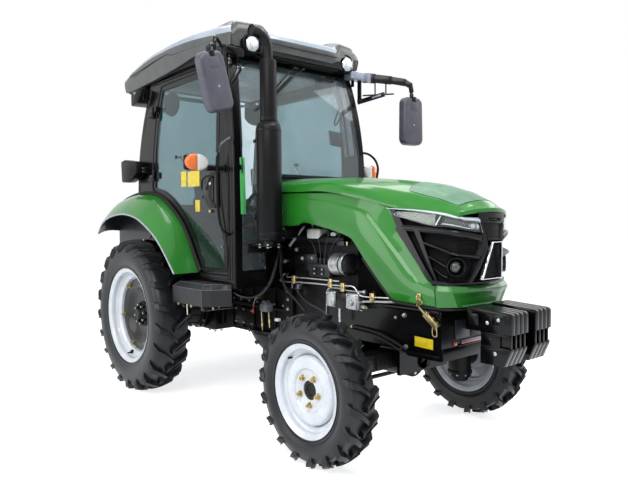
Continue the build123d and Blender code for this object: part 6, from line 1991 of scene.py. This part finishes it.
# pedals with their pads, and the ribbed mat
for y in (-0.245, -0.21, 0.225):
    wide = 0.03 if y < 0 else 0.038
    low = ahead(0.905, y, 0.925)
    rod(bm, (0.985, y, 1.045), low, 0.008, 4, sides=12)
    slab(bm, low + Vector((-0.008, -wide / 2, -0.034)), low + Vector((0.004, wide / 2, 0.034)), 1, 0.004)
slab(bm, (0.3, -0.43, 0.8), (1.02, 0.43, 0.806), 5, 0.002)
for i in range(30):
    slab(bm, (0.32 + 0.023 * i, -0.42, 0.805), (0.328 + 0.023 * i, 0.42, 0.809), 5, 0.001)
for s in SIDES:
    # side consoles over the wheel houses, with slots, gaiters and levers
    slab(bm, (-0.18, s * 0.262, 0.806), (0.42, s * 0.436, 1.03), 0, 0.03, rounds=4)
    slab(bm, (-0.1, s * 0.285, 1.026), (0.36, s * 0.415, 1.034), 1, 0.004)
    for x, y, lean, knob in (
        (0.1, 0.315, 0.03, 3), (0.2, 0.315, 0.02, 1), (0.3, 0.35, 0.05, 1), (0.02, 0.38, -0.02, 6)
    ):
        foot = ahead(x, s * y, 1.034)
        top = foot + Vector((lean, -0.006 * s, 0.125))
        rod(bm, foot, foot + UP * 0.028, 0.024, 1, tip=0.01)
        rod(bm, foot, top, 0.0045, 4, sides=12)
        spun(
            bm,
            [(0.0, 0.024), (0.01, 0.021), (0.015, 0.01), (0.014, -0.004), (0.007, -0.016), (0.0, -0.017)],
            top, UP, knob, steps=20
        )
# round speakers under the liner and behind the doors, map lamp, mirror on its stalk
for x, y, z, radius in ((0.837, 0.355, 2.155, 0.062), (-0.015, 0.365, 2.03, 0.084)):
    for s in SIDES:
        out = Vector((0.55, -0.45 * s, -0.7)) if x > 0.5 else Vector((0.85, -0.5 * s, -0.2))
        spun(
            bm,
            [
                (0.0, 0.006), (radius * 0.35, 0.01), (radius * 0.8, 0.005), (radius * 0.86, 0.012),
                (radius, 0.009), (radius, -0.014), (0.0, -0.016)
            ],
            (x, s * y, z), out, 1, steps=36
        )
        rod(bm, (x, s * y, z), (x - 0.01, s * (y + 0.05), z + 0.035), 0.012, 1, sides=12)
slab(bm, (0.3, -0.06, 2.16), (0.42, 0.06, 2.175), 2, 0.005)
pipe(
    bm,
    [
        (0.94, 0.455, 2.05), (0.945, 0.41, 1.96), (0.935, 0.365, 1.865), (0.928, 0.372, 1.82),
        (0.935, 0.42, 1.88), (0.945, 0.45, 1.96)
    ],
    0.006, 1
)
glass_turn = facing((0.915, 0.405, 1.742), (0.9, 0.4, 1.74))
slab(bm, (-0.085, -0.052, -0.008), (0.085, 0.052, 0.008), 1, 0.007, glass_turn, 3)
slab(bm, (-0.078, -0.045, 0.006), (0.078, 0.045, 0.009), 7, 0.001, glass_turn)
# sun blind, rear wiper motor and shelf
slab(bm, (0.8, -0.3, 2.16), (0.925, 0.3, 2.168))
slab(bm, (-0.215, -0.1, 1.3), (-0.165, 0.1, 1.36), 1, 0.012)
slab(bm, (-0.205, -0.415, 1.29), (-0.08, 0.415, 1.302), 0, 0.004)
mirror_silver = finish("mirror_silver", (206, 212, 216), 0.03, metal=1.0, vary=0.02, patch=6)
knob_yellow = finish("knob_yellow", (226, 178, 30), 0.35, coat=0.4, vary=0.05, patch=40)
piece(
    "controls", bm, "chassis", "cab_black", dash_black, hose_black, dial_white, tag_red, zinc, rubber,
    knob_yellow, mirror_silver
)

bm = bmesh.new()
WHEEL_AXIS = Vector((-0.62, 0, 0.785)).normalized()
GRIP_R = 0.185  # from the middle of the steering wheel to the middle of its rim
wheel_centre = ahead(0.7, 0, 1.32)
rim = [(GRIP_R + 0.014 * cos(radians(a)), 0.014 * sin(radians(a))) for a in range(0, 360, 30)]
spun(bm, rim, wheel_centre, WHEEL_AXIS, steps=64, closed=True)
flat = WHEEL_AXIS.to_track_quat("Z", "Y").to_matrix()
for angle in turns(24):
    grip = wheel_centre + flat @ Vector((GRIP_R * cos(angle), GRIP_R * sin(angle), -0.009))
    reach = flat @ Vector((-sin(angle), cos(angle), 0)) * 0.012
    rod(bm, grip - reach, grip + reach, 0.0085, sides=10, edge=0.002)
for degrees in (20, 160, 270):
    spoke = flat @ Vector((cos(radians(degrees)), sin(radians(degrees)), 0))
    rod(
        bm, wheel_centre + spoke * 0.03 - WHEEL_AXIS * 0.02, wheel_centre + spoke * 0.18, 0.012, tip=0.008,
        sides=14
    )
hub = [
    (0.0, 0.004), (0.03, 0.003), (0.044, -0.002), (0.05, -0.012), (0.046, -0.028), (0.028, -0.044),
    (0.0, -0.046)
]
spun(bm, hub, wheel_centre, WHEEL_AXIS, 1, steps=40)
knob = wheel_centre + flat @ Vector((0.13, 0.13, 0.012))
spun(
    bm, [(0.0, 0.03), (0.013, 0.027), (0.019, 0.016), (0.015, 0.004), (0.009, -0.004), (0.0, -0.005)], knob,
    WHEEL_AXIS, steps=24
)
piece(
    "wheel_rim_and_hub", bm, "steering_wheel", "cab_black", seat_vinyl, dash_black,
    stands_for=["steering_wheel"]
)

# ---- roof
# One vacuum-formed shell, light grey on its dome as a painted sky highlight and darker on its sides and
# brows as painted shade, with a crease all round and raised brows over the front lamps; a black liner closes
# it from below.
# painted light: the dome's light grey stands for a sky reflection, the sides' dark grey for painted shade
roof_painted_sky_highlight = finish(
    "roof_painted_sky_highlight", (168, 178, 190), 0.3, coat=0.12, shine=0.4, vary=0.05, patch=5, grain=500, bump=0.03
)
roof_painted_shade = finish(
    "roof_painted_shade", (78, 81, 80), 0.38, coat=0.2, vary=0.07, patch=8, grain=600, bump=0.04, shine=0.4
)
liner_dark = finish("liner_dark", (12, 12, 13), 0.6, vary=0.15, patch=14, grain=900, bump=0.2, shine=0.25)
headliner = finish("headliner", (214, 222, 226), 0.8, vary=0.06, patch=16, grain=900, bump=0.3)
dress(liner_dark, "roof_liner")
WORK_LAMP_Y = 0.39
# columns: x, lower edge z, crease z, crown z
ROOF_HEIGHTS = (
    (-0.505, 2.17, 2.262, 2.296),
    (-0.4, 2.166, 2.29, 2.33),
    (-0.117, 2.172, 2.328, 2.376),
    (0.147, 2.186, 2.341, 2.392),
    (0.387, 2.204, 2.338, 2.396),
    (0.609, 2.228, 2.325, 2.388),
    (0.831, 2.226, 2.302, 2.368),
    (1.074, 2.212, 2.279, 2.33),
)
# columns: share inwards, front x, corner x, side y, rear x, rear y
ROOF_RINGS = (
    (0.0, 1.058, 1.0, 0.526, -0.47, 0.516),
    (0.24, 1.07, 1.008, 0.53, -0.492, 0.516),
    (0.44, 1.074, 1.01, 0.53, -0.503, 0.51),
    (0.56, 1.056, 0.992, 0.512, -0.484, 0.488),
    (0.7, 1.0, 0.925, 0.46, -0.405, 0.43),
    (0.84, 0.82, 0.74, 0.4, -0.28, 0.37),
    (1.0, 0.3, 0.3, 0.0, 0.2, 0.0),
)
# columns: share inwards, share from the lower edge to the crease, share from the crease to the crown
ROOF_RISE = (
    (0.0, 0.0, 0.0), (0.24, 0.55, 0.0), (0.44, 1.0, 0.0), (0.56, 1.0, 0.7), (0.7, 1.0, 0.86),
    (0.84, 1.0, 0.95), (1.0, 1.0, 1.0)
)


def roof_outline(share, around):
    """A place in plan: share inwards from the edge, around 0 at the front middle, 0.5 at the rear."""
    _, front_x, corner_x, side_y, rear_x, rear_y = row_at(ROOF_RINGS, share)
    hand = 1 if around < 0.5 else -1
    t = min(around, 1 - around)
    walk = (
        (front_x, 0.0), (front_x - 0.006, side_y * 0.45), (corner_x + 0.016, side_y * 0.82),
        (corner_x - 0.014, side_y * 0.955), (corner_x - 0.06, side_y), (0.3, side_y + 0.001),
        (rear_x + 0.05, rear_y + 0.001), (rear_x + 0.008, rear_y * 0.955), (rear_x, rear_y * 0.82),
        (rear_x, 0.0)
    )
    # columns: walk point against share of the way round one side
    stops = (0.0, 0.1, 0.16, 0.18, 0.2, 0.29, 0.38, 0.395, 0.41, 0.5)
    x, y = row_at([(stop, *place) for stop, place in zip(stops, walk)], t)[1:]
    return x, y * hand


def brow_height(x, y):
    """How far the lamp brows lift the shell."""
    along = min(max((x - 0.7) / 0.26, 0.0), 1.0)
    across = abs(abs(y) - 0.392) / 0.128
    lift = 1.0 if across < 0.55 else max(0.0, 1 - (across - 0.55) / 0.45)
    return 0.04 * (along * along * (3 - 2 * along)) * lift * lift * (3 - 2 * lift)


def roof_point(u, v):
    x, y = roof_outline(v, u)
    _, low, crease, crown = row_at(ROOF_HEIGHTS, x)
    _, side, dome = row_at(ROOF_RISE, v)
    z = low + (crease - low) * side + (crown - crease) * dome
    if v > 0.2:
        z += brow_height(x, y)
    return ahead(x, y, min(z, 2.412))


bm = bmesh.new()
skin(bm, lambda u, v: roof_point(u, 0.45 + 0.55 * v), 400, 88, UP, 0, 0)


def fascia_point(u, v):
    """The side band, arched up over each front lamp."""
    share = 0.45 * v
    place = roof_point(u, share)
    x, y = place.x - REAR_AXLE_X, place.y
    if x > 0.9:
        reach = abs(abs(y) - WORK_LAMP_Y) / 0.068
        if reach < 1:
            arch = 2.24 + 0.052 * (1 - reach ** 2) ** 0.5
            place.z += (arch - place.z) * (1 - v) ** 0.6 if place.z < arch else 0
    return place


# the side band, in the painted shade grey
skin(bm, fascia_point, 400, 14, (0, 0, -1), 1)
# the brows get the side band's painted shade
for face in bm.faces:
    place = face.calc_center_median()
    if brow_height(place.x - REAR_AXLE_X, place.y) > 0.006:
        face.material_index = 1
for s in SIDES:
    cup = [
        (0.0, -0.07), (0.05, -0.068), (0.058, -0.05), (0.06, -0.004), (0.056, 0.0), (0.053, -0.004),
        (0.048, -0.05), (0.0, -0.056)
    ]
    spun(bm, cup, (1.04, s * WORK_LAMP_Y, 2.236), (1, 0, -0.05), 2, steps=36)
    # panel line pressed into the side
    route = [(-0.36, 2.268), (0.02, 2.304), (0.22, 2.316), (0.3, 2.296), (0.62, 2.284), (0.86, 2.272)]
    pipe(bm, at_y(s * 0.5305, route), 0.0028, 2, 1, True)
for s in SIDES:
    slab(bm, (-0.47, s * 0.47, 2.205), (-0.43, s * 0.505, 2.245), 3, 0.012)
pipe(bm, [(1.074, y, 2.25) for y in (-0.28, -0.1, 0.1, 0.28)], 0.0025, 2)
piece(
    "roof_cover", bm, "chassis", "roof_grey", roof_painted_sky_highlight, roof_painted_shade, liner_dark, lamp_white,
    stands_for=["roof_shell"], crease=24
)

# gutter and liner edge under the shell
bm = bmesh.new()
ring = [roof_outline(0.0, i / 80) for i in range(81)]
pipe(bm, [(x * 0.985 + 0.004, y * 0.965, row_at(ROOF_HEIGHTS, x)[1] + 0.004) for x, y in ring], 0.012)
for x in (0.955, 1.0):
    slab(bm, (x, -0.32, 2.176), (x + 0.03, 0.32, 2.206), 0, 0.006)
# pale headliner over the seat
slab(bm, (-0.2, -0.455, 2.17), (0.93, 0.455, 2.184), 1, 0.008)
piece("roof_gutter", bm, "chassis", "liner_dark", liner_dark, headliner)

# ---- lamps
# Bought-in units: round work lamps under the roof brows, square ones at the
# rear, split orange and clear turn lamps on arms, and boxed tail lamps.
lens_orange = clear_plastic("lens_orange", (255, 128, 46), 0.12, 0.12)
lens_white = clear_plastic("lens_white", (226, 226, 222), 0.12, 0.12)
lens_red = clear_plastic("lens_red", (196, 22, 20), 0.08, 0.4)
lamp_black = finish("lamp_black", (9, 9, 11), 0.4, coat=0.03, patch=20, grain=800, bump=0.15, shine=0.14)
bm = bmesh.new()
for s in SIDES:
    spot = ahead(1.034, s * WORK_LAMP_Y, 2.232)
    spun(
        bm, [(0.0, -0.03), (0.03, -0.024), (0.042, -0.004), (0.045, 0.008), (0.047, 0.012), (0.045, 0.015)],
        spot, (1, 0, -0.08), 1, steps=36
    )
    spun(
        bm, [(0.0, 0.034), (0.016, 0.032), (0.032, 0.025), (0.0435, 0.012), (0.0435, 0.008)], spot,
        (1, 0, -0.08), 2, steps=32
    )
    for i in range(5):
        y = s * WORK_LAMP_Y + 0.014 * (i - 2)
        rod(bm, (1.062, y, 2.208), (1.062, y, 2.256), 0.0018, 1, sides=6)
    # rear work lamp: a deep housing cut away in front, ribbed behind its lens
    outline = ((-0.27, 2.138), (-0.094, 2.138), (-0.106, 2.092), (-0.16, 2.04), (-0.27, 2.03))
    cut_plate(bm, at_y(s * 0.43, outline), (0, s * 0.144, 0), 0, 0.012)
    slab(bm, (-0.28, s * 0.44, 2.042), (-0.264, s * 0.564, 2.128), 1, 0.008)
    slab(bm, (-0.278, s * 0.446, 2.048), (-0.282, s * 0.558, 2.122), 2, 0.001)
    for i in range(5):
        slab(bm, (-0.125, s * (0.44 + 0.026 * i), 2.06), (-0.1, s * (0.448 + 0.026 * i), 2.128), 0, 0.002)
    slab(bm, (-0.22, s * 0.45, 2.13), (-0.18, s * 0.49, 2.19))
    bolt(bm, (-0.19, s * 0.574, 2.114), (0, s, 0), 0.009, 5)
    # turn lamp: black shell with a domed half in orange outside and a clear half inside, on an arm
    slab(bm, (0.896, s * 0.648, 1.474), (0.926, s * 0.788, 1.562), 0, 0.016, rounds=3)
    for reach, paint in ((0.071, 3), (-0.078, 7)):
        arc = [radians(-90 + 15 * i) for i in range(13)]
        half = [ahead(0.918, s * (0.722 + reach * cos(a)), 1.518 + 0.0515 * sin(a)) for a in arc]
        cut_plate(bm, half, (0.042, 0, 0), paint, 0.016, 4)
    rod(bm, (0.935, s * 0.53, 1.49), (0.915, s * 0.64, 1.49), 0.013, tip=0.017, sides=16)
    slab(bm, (0.905, s * 0.53, 1.466), (0.96, s * 0.544, 1.514), 0, 0.004)
    # tail lamp: long tapered shell, three lenses let into its rear end, foot on the cab
    shell = (
        (-0.35, 1.47), (-0.362, 1.626), (-0.3, 1.636), (-0.11, 1.61), (-0.092, 1.59), (-0.1, 1.524),
        (-0.16, 1.492), (-0.25, 1.468)
    )
    cut_plate(bm, at_y(s * 0.546, shell), (0, s * 0.076, 0), 0, 0.012)
    for low, high, paint in ((1.562, 1.612, 4), (1.53, 1.56, 3), (1.486, 1.528, 6)):
        slab(bm, (-0.366, s * 0.556, low), (-0.344, s * 0.612, high), paint, 0.006)
    slab(bm, (-0.115, s * 0.552, 1.535), (-0.06, s * 0.572, 1.565), 0, 0.004)
    slab(bm, (-0.11, s * 0.53, 1.528), (-0.06, s * 0.566, 1.572), 0, 0.004)
    for z in (1.538, 1.562):
        bolt(bm, (-0.085, s * 0.572, z), (0, s, 0), 0.006, 5)
piece(
    "lamp_set", bm, "chassis", "lamp_black", lamp_black, reflector, lamp_white, lens_orange, lens_red, zinc,
    lens_clear, lens_white, stands_for=["lamps"]
)

# ---- mirrors
# Blow-moulded grey heads with a glass in the rear face, each held by a clamp
# on a bent arm; the left arm is a wide pressed channel with a rod under it.
mirror_grey = finish(
    "mirror_grey", (78, 78, 90), 0.42, coat=0.03, vary=0.08, patch=10, grain=700, bump=0.1, shine=0.4
)
for s, hand, middle_z, lean in ((1, "left", 1.858, 0.0), (-1, "right", 1.915, radians(15))):
    bm = bmesh.new()
    middle = ahead(1.268, s * 0.79, middle_z)
    turn = Matrix.Translation(middle) @ Matrix.Rotation(
        -s * radians(6), 4, "Z"
    ) @ Matrix.Rotation(lean, 4, "X")
    turn @= Matrix.Diagonal((1.0, 0.92, 0.96, 1.0)) if s < 0 else Matrix()
    shape = bmesh.new()
    outline = []
    for y, z, start in ((0.04, 0.115, 0), (-0.04, 0.115, 90), (-0.044, -0.119, 180), (0.044, -0.119, 270)):
        for degrees in range(start, start + 91, 15):
            outline.append((-0.03, y + 0.047 * cos(radians(degrees)), z + 0.047 * sin(radians(degrees))))
    cut_plate(shape, [Vector(place) for place in outline], (0.056, 0, 0), 0, 0.0)
    front = [edge for edge in shape.edges if all(vert.co.x > 0 for vert in edge.verts)]
    ease(shape, front, 0.02, 5)
    merge(bm, shape, 0, turn)
    cut_plate(
        bm, [turn @ Vector((-0.0305, y * 0.93, z * 0.95)) for _, y, z in outline],
        turn.to_3x3() @ Vector((-0.002, 0, 0)), 3, 0.0
    )
    slab(bm, (0.02, -0.036, 0.07), (0.0275, 0.036, 0.128), 0, 0.003, turn, 3)
    spun(
        bm, [(0.0, 0.0275), (0.006, 0.027), (0.007, 0.026)], turn @ Vector((0, 0, -0.03)),
        turn.to_3x3() @ Vector((1, 0, 0)), 2, steps=16
    )
    slab(bm, (-0.01, -0.02, 0.13), (0.03, 0.02, 0.166), 1, 0.006, turn)
    clamp = turn @ Vector((0.0, 0.0, 0.16))
    rod(bm, clamp - UP * 0.012, clamp + UP * 0.03, 0.014, 1, edge=0.003)
    if s > 0:
        arm = (
            (1.0, 0.59, 2.176), (1.06, 0.64, 2.168), (1.15, 0.712, 2.15), (1.23, 0.768, 2.128),
            (1.262, 0.788, 2.104), (1.268, 0.79, 2.06)
        )
        for i in range(5):
            start, end = Vector(arm[i]), Vector(arm[i + 1])
            half = 0.034 - 0.0045 * i
            lean_box = facing(ahead(*start), ahead(*end))
            long = (end - start).length / 2 + 0.006
            slab(bm, (-0.008, -half, -long), (0.008, half, long), 1, 0.005, lean_box)
        pipe(bm, [(x, y, z + 0.024) for x, y, z in arm[:4]], 0.005, 2)
    else:
        arm = (
            (0.985, 0.56, 2.17), (1.06, 0.62, 2.185), (1.16, 0.712, 2.18), (1.235, 0.772, 2.165),
            (1.268, 0.79, 2.135), (1.268, 0.79, 2.07)
        )
        pipe(bm, [(x, -y, z) for x, y, z in arm], 0.0105, 1)
    pipe(bm, [(1.268, s * 0.79, 2.105), clamp + UP * 0.05, clamp], 0.0095, 1)
    piece(
        f"mirror_{hand}_set", bm, "chassis", "mirror_grey", mirror_grey, cab_black, bracket_grey,
        mirror_silver, stands_for=[f"mirror_{hand}"], crease=40
    )

# ---- exhaust
# A silencer behind a punched heat guard, a slimmer guarded riser and a bent
# open tailpipe, all in heat-proof black; a bracket bolts its foot to the cab.
def punched(name, pitch):
    """Heat-proof black punched with rows of round holes round the stack's axis, each hole filled near-black
    as painted shade inside it.
    """
    made = finish(name, (12, 12, 15), 0.36, coat=0.02, vary=0.2, patch=10, grain=700, bump=0.1, shine=0.14)
    tree = made.node_tree
    place = add_node(tree, "TexCoord").outputs["Object"]
    split = add_node(tree, "SeparateXYZ", Vector=place)
    centre = ahead(STACK_X, STACK_Y, 0)
    offs = []
    for axis, value in (("X", centre.x), ("Y", centre.y)):
        off = add_node(tree, "Math", operation="SUBTRACT", Value=split.outputs[axis])
        off.inputs[1].default_value = value
        offs.append(off.outputs[0])
    angle = add_node(tree, "Math", operation="ARCTAN2", Value=offs[1])
    tree.links.new(offs[0], angle.inputs[1])
    around = add_node(tree, "Math", operation="MULTIPLY", Value=angle.outputs[0])
    around.inputs[1].default_value = round(2 * pi * CAN_R / pitch) / (2 * pi)
    rise = add_node(tree, "Math", operation="DIVIDE", Value=split.outputs["Z"])
    rise.inputs[1].default_value = pitch
    sheet = add_node(tree, "CombineXYZ", X=around.outputs[0], Y=rise.outputs[0]).outputs[0]
    holes = add_node(tree, "TexVoronoi", voronoi_dimensions="2D", Scale=1.0, Randomness=0.0, Vector=sheet)
    rim = add_node(
        tree, "MapRange", From_Min=0.26, From_Max=0.36, Value=holes.outputs["Distance"]
    ).outputs[0]
    surface = tree.nodes["Principled BSDF"]
    before = surface.inputs["Base Color"].links[0].from_socket
    # painted shade: the holes are filled near-black, darker than the black paint around them
    colour = add_node(tree, "Mix", data_type="RGBA", Factor=rim)
    colour.inputs["A"].default_value = tint(2, 2, 3)
    tree.links.new(before, colour.inputs["B"])
    tree.links.new(colour.outputs["Result"], surface.inputs["Base Color"])
    relief = add_node(tree, "Bump", Strength=0.6, Distance=0.002, Height=rim)
    tree.links.new(relief.outputs[0], surface.inputs["Normal"])
    return made


STACK_X, STACK_Y, CAN_R = 1.21, -0.4, 0.072
stack_black = finish(
    "stack_black", (10, 10, 12), 0.4, coat=0.04, vary=0.18, patch=10, grain=700, bump=0.15, shine=0.2
)
bm = bmesh.new()
foot = ahead(STACK_X, STACK_Y, 0)
spun(bm, [(0.0, 1.058), (0.05, 1.058), (0.066, 1.064), (0.0715, 1.074)], foot, UP)
spun(bm, [(0.0715, 1.074), (0.0735, 1.078), (0.0735, 1.705), (0.07, 1.715)], foot, UP, 1)
spun(bm, [(0.07, 1.715), (0.064, 1.732), (0.05, 1.744), (0.046, 1.748)], foot, UP)
for z in (1.095, 1.69):
    spun(bm, [(0.0735, 0.0), (0.0752, 0.002), (0.0752, 0.01), (0.0735, 0.012)], foot + UP * z, UP)
spun(bm, [(0.046, 1.74), (0.049, 1.744), (0.049, 2.088), (0.045, 2.1), (0.029, 2.104)], foot, UP, 2)
spun(bm, [(0.049, 1.75), (0.052, 1.752), (0.052, 1.772), (0.049, 1.774)], foot, UP)
tail = [
    foot + Vector(place)
    for place in (
        (0, 0, 2.09), (0, 0, 2.15), (0, -0.006, 2.195), (0, -0.04, 2.235), (0, -0.085, 2.248),
        (0, -0.112, 2.25)
    )
]
pipe(bm, tail, 0.0285, 0, 5)
mouth = tail[-1]
out = (tail[-1] - tail[-2]).normalized()
spun(
    bm,
    [(0.0285, -0.05), (0.033, -0.01), (0.0345, 0.004), (0.0325, 0.006), (0.0305, 0.003), (0.029, -0.006)],
    mouth, out, steps=32
)
spun(bm, [(0.0, -0.002), (0.03, -0.002)], mouth, out, 3, steps=32)
rod(bm, (STACK_X, -0.345, 1.1), (STACK_X, -0.175, 1.1), 0.03, sides=28, edge=0.004)
rod(bm, (STACK_X, -0.322, 1.1), (STACK_X, -0.308, 1.1), 0.046, sides=28, edge=0.003)
bolt_ring(bm, (STACK_X, -0.322, 1.1), (0, -1, 0), 0.038, 4, 0.006, 4)
slab(bm, (1.15, -0.452, 1.026), (1.262, -0.35, 1.034), 0, 0.002)
slab(bm, (1.06, -0.452, 0.985), (1.07, -0.3, 1.04), 0, 0.002)
slab(bm, (1.062, -0.44, 1.028), (1.16, -0.36, 1.036), 0, 0.002)
rod(bm, (STACK_X, STACK_Y, 1.03), (STACK_X, STACK_Y, 1.062), 0.042, sides=28)
for x, y in ((1.168, -0.44), (1.246, -0.44), (1.168, -0.362), (1.246, -0.362)):
    bolt(bm, (x, y, 1.034), UP, 0.008, 4)
    bolt(bm, (x, y, 1.026), -UP, 0.008, 4)
for z in (1.18, 1.64):
    slab(bm, (1.058, -0.405, z), (1.15, -0.395, z + 0.02), 0, 0.002)
piece(
    "exhaust", bm, "chassis", "exhaust_black", stack_black, punched("guard_can", 0.0085),
    punched("guard_riser", 0.0075), screen_black, zinc, stands_for=["exhaust_stack"]
)

# ---- hitch and rear
# Forged links in gloss black on plated pins, with ball ends, threaded lift
# rods, a splined shaft under its shield, oil couplers and a pin drawbar.
link_black = finish(
    "link_black", (10, 10, 12), 0.32, coat=0.06, vary=0.16, patch=18, grain=500, bump=0.12, shine=0.3
)
dress(link_black, "lift_arms", "lower_links", "lift_rods", "top_link", "drawbar")
dress(zinc, "pto_shaft")
bm = bmesh.new()
for s in SIDES:
    # upper studs of the lower links and rockshaft end caps
    rod(bm, (-0.09, s * 0.176, 0.4), (-0.09, s * 0.24, 0.4), 0.018, edge=0.002)
    spun(
        bm, [(0.0, 0.01), (0.024, 0.009), (0.034, 0.004), (0.036, 0.0), (0.0, 0.0)],
        (-0.3, s * 0.232, 0.72), (0, s, 0), steps=32
    )
    # twin oil couplers with dust caps
    for off, cap in ((-0.02, 3), (0.018, 2)):
        y = s * 0.06 + off
        rod(bm, (-0.3, y, 0.765), (-0.335, y, 0.8), 0.011, 1, sides=6, edge=0.002)
        spun(
            bm, [(0.0, 0.026), (0.012, 0.025), (0.016, 0.018), (0.016, 0.0), (0.0, 0.0)],
            (-0.332, y, 0.796), (-0.7, 0, 0.7), cap, steps=20
        )
    for x in (-0.325, -0.245):
        bolt(bm, (x, s * 0.129, 0.745), (0, s, 0), 0.009, 1)
        bolt(bm, (x, s * 0.129, 0.63), (0, s, 0), 0.009, 1)
# cast cover behind the axle with its bolts, shaft shield, trailer socket
BACK_X = -0.226  # the rear face of the axle housing
SHAFT_Z = 0.505  # middle of the power take-off shaft
for y in (-0.13, 0.13):
    for z in (0.42, 0.5, 0.58):
        bolt(bm, (BACK_X, y, z), (-1, 0, 0), 0.009, 1)
spun(
    bm, [(0.026, 0.0), (0.06, 0.0), (0.062, 0.004), (0.062, 0.012), (0.026, 0.014)], (BACK_X, 0, SHAFT_Z),
    (-1, 0, 0), steps=36
)
for angle in turns(6):
    y, z = 0.0195 * cos(angle), SHAFT_Z + 0.0195 * sin(angle)
    rod(bm, (-0.236, y, z), (-0.3035, y, z), 0.0035, 1, sides=8)
cut_plate(
    bm, at_y(-0.085, ((BACK_X, 0.59), (-0.34, 0.578), (-0.345, 0.566), (BACK_X, 0.572))),
    (0, 0.17, 0), 0, 0.003
)
for s in SIDES:
    cut_plate(
        bm, at_y(s * 0.083, ((BACK_X, 0.585), (-0.338, 0.574), (-0.3, 0.5), (BACK_X, 0.47))),
        (0, s * 0.004, 0), 0, 0.001
    )
spun(
    bm, [(0.0, 0.0), (0.024, 0.0), (0.026, 0.004), (0.026, 0.026), (0.022, 0.03), (0.0, 0.03)],
    (-0.345, -0.1, 0.7), (-1, 0, 0), 2, steps=28
)
# drawbar pin with its ring and chain stop
PIN_X = -0.52
rod(bm, (PIN_X, 0, 0.318), (PIN_X, 0, 0.392), 0.0125, 1, edge=0.002)
rod(bm, (PIN_X, 0, 0.39), (PIN_X, 0, 0.398), 0.022, 1, sides=24, edge=0.002)
pipe(
    bm, [(PIN_X + 0.02 * cos(a), 0.02 * sin(a), 0.404) for a in (0, 1.05, 2.1, 3.15, 4.2, 5.25, 6.25)],
    0.0025, 1, 1
)
for x in (-0.1, -0.02):
    for s in SIDES:
        bolt(bm, (x, s * 0.028, 0.329), (0, 0, -1), 0.01, 1)
# blank plate and lamp over it at the back of the cab
slab(bm, (-0.257, -0.16, 1.0), (-0.2505, 0.16, 1.09), 4, 0.004)
slab(bm, (-0.272, -0.045, 1.096), (-0.252, 0.045, 1.116), 2, 0.005)
for y in (-0.13, 0.13):
    bolt(bm, (-0.257, y, 1.045), (-1, 0, 0), 0.005, 1)
piece("rear_fittings", bm, "chassis", "casting", cast_black, zinc, lamp_black, tag_red, panel_grey)

FOOT_X, FOOT_Z = -0.53, 0.412  # where the lift rods meet the lower links
bm = bmesh.new()
for s in SIDES:
    end = ahead(-0.833, s * 0.345, 0.42)
    spun(
        bm,
        [
            (0.0115, -0.024), (0.018, -0.024), (0.0255, -0.01), (0.0265, 0.0), (0.0255, 0.01),
            (0.018, 0.024), (0.0115, 0.024), (0.0115, -0.024)
        ],
        end, (0, 1, 0), steps=28
    )
    rod(bm, (FOOT_X, s * 0.298, FOOT_Z), (FOOT_X, s * 0.308, FOOT_Z), 0.018, sides=24, edge=0.002)
    pipe(
        bm, [(-0.8, s * 0.372, 0.418), (-0.77, s * 0.378, 0.436), (-0.745, s * 0.374, 0.424)], 0.0022, 0, 1
    )
piece("link_balls", bm, "lower_links", "bare_steel", zinc)
bm = bmesh.new()
for s in SIDES:
    bolt(bm, (FOOT_X, s * 0.335, FOOT_Z), (0, s, 0), 0.011)
piece("rod_foot_bolts", bm, "lift_rods", "bare_steel", zinc)
bm = bmesh.new()
low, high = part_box("top_link")
mid = (low + high) / 2
for share in (0.3, 0.72):
    x = low[0] + (high[0] - low[0]) * share
    rod(
        bm, Vector((x - 0.008, mid.y, mid.z)), Vector((x + 0.008, mid.y, mid.z)), 0.0185, sides=6,
        edge=0.002
    )
for i in range(24):
    x = low[0] + (high[0] - low[0]) * 0.12 + 0.003 * i
    rod(bm, Vector((x, mid.y, mid.z)), Vector((x + 0.0018, mid.y, mid.z)), 0.0125, sides=16)
piece("top_link_screw", bm, "top_link", "bare_steel", zinc)

scene.view_settings.view_transform = "Standard"
low, high = cad_box
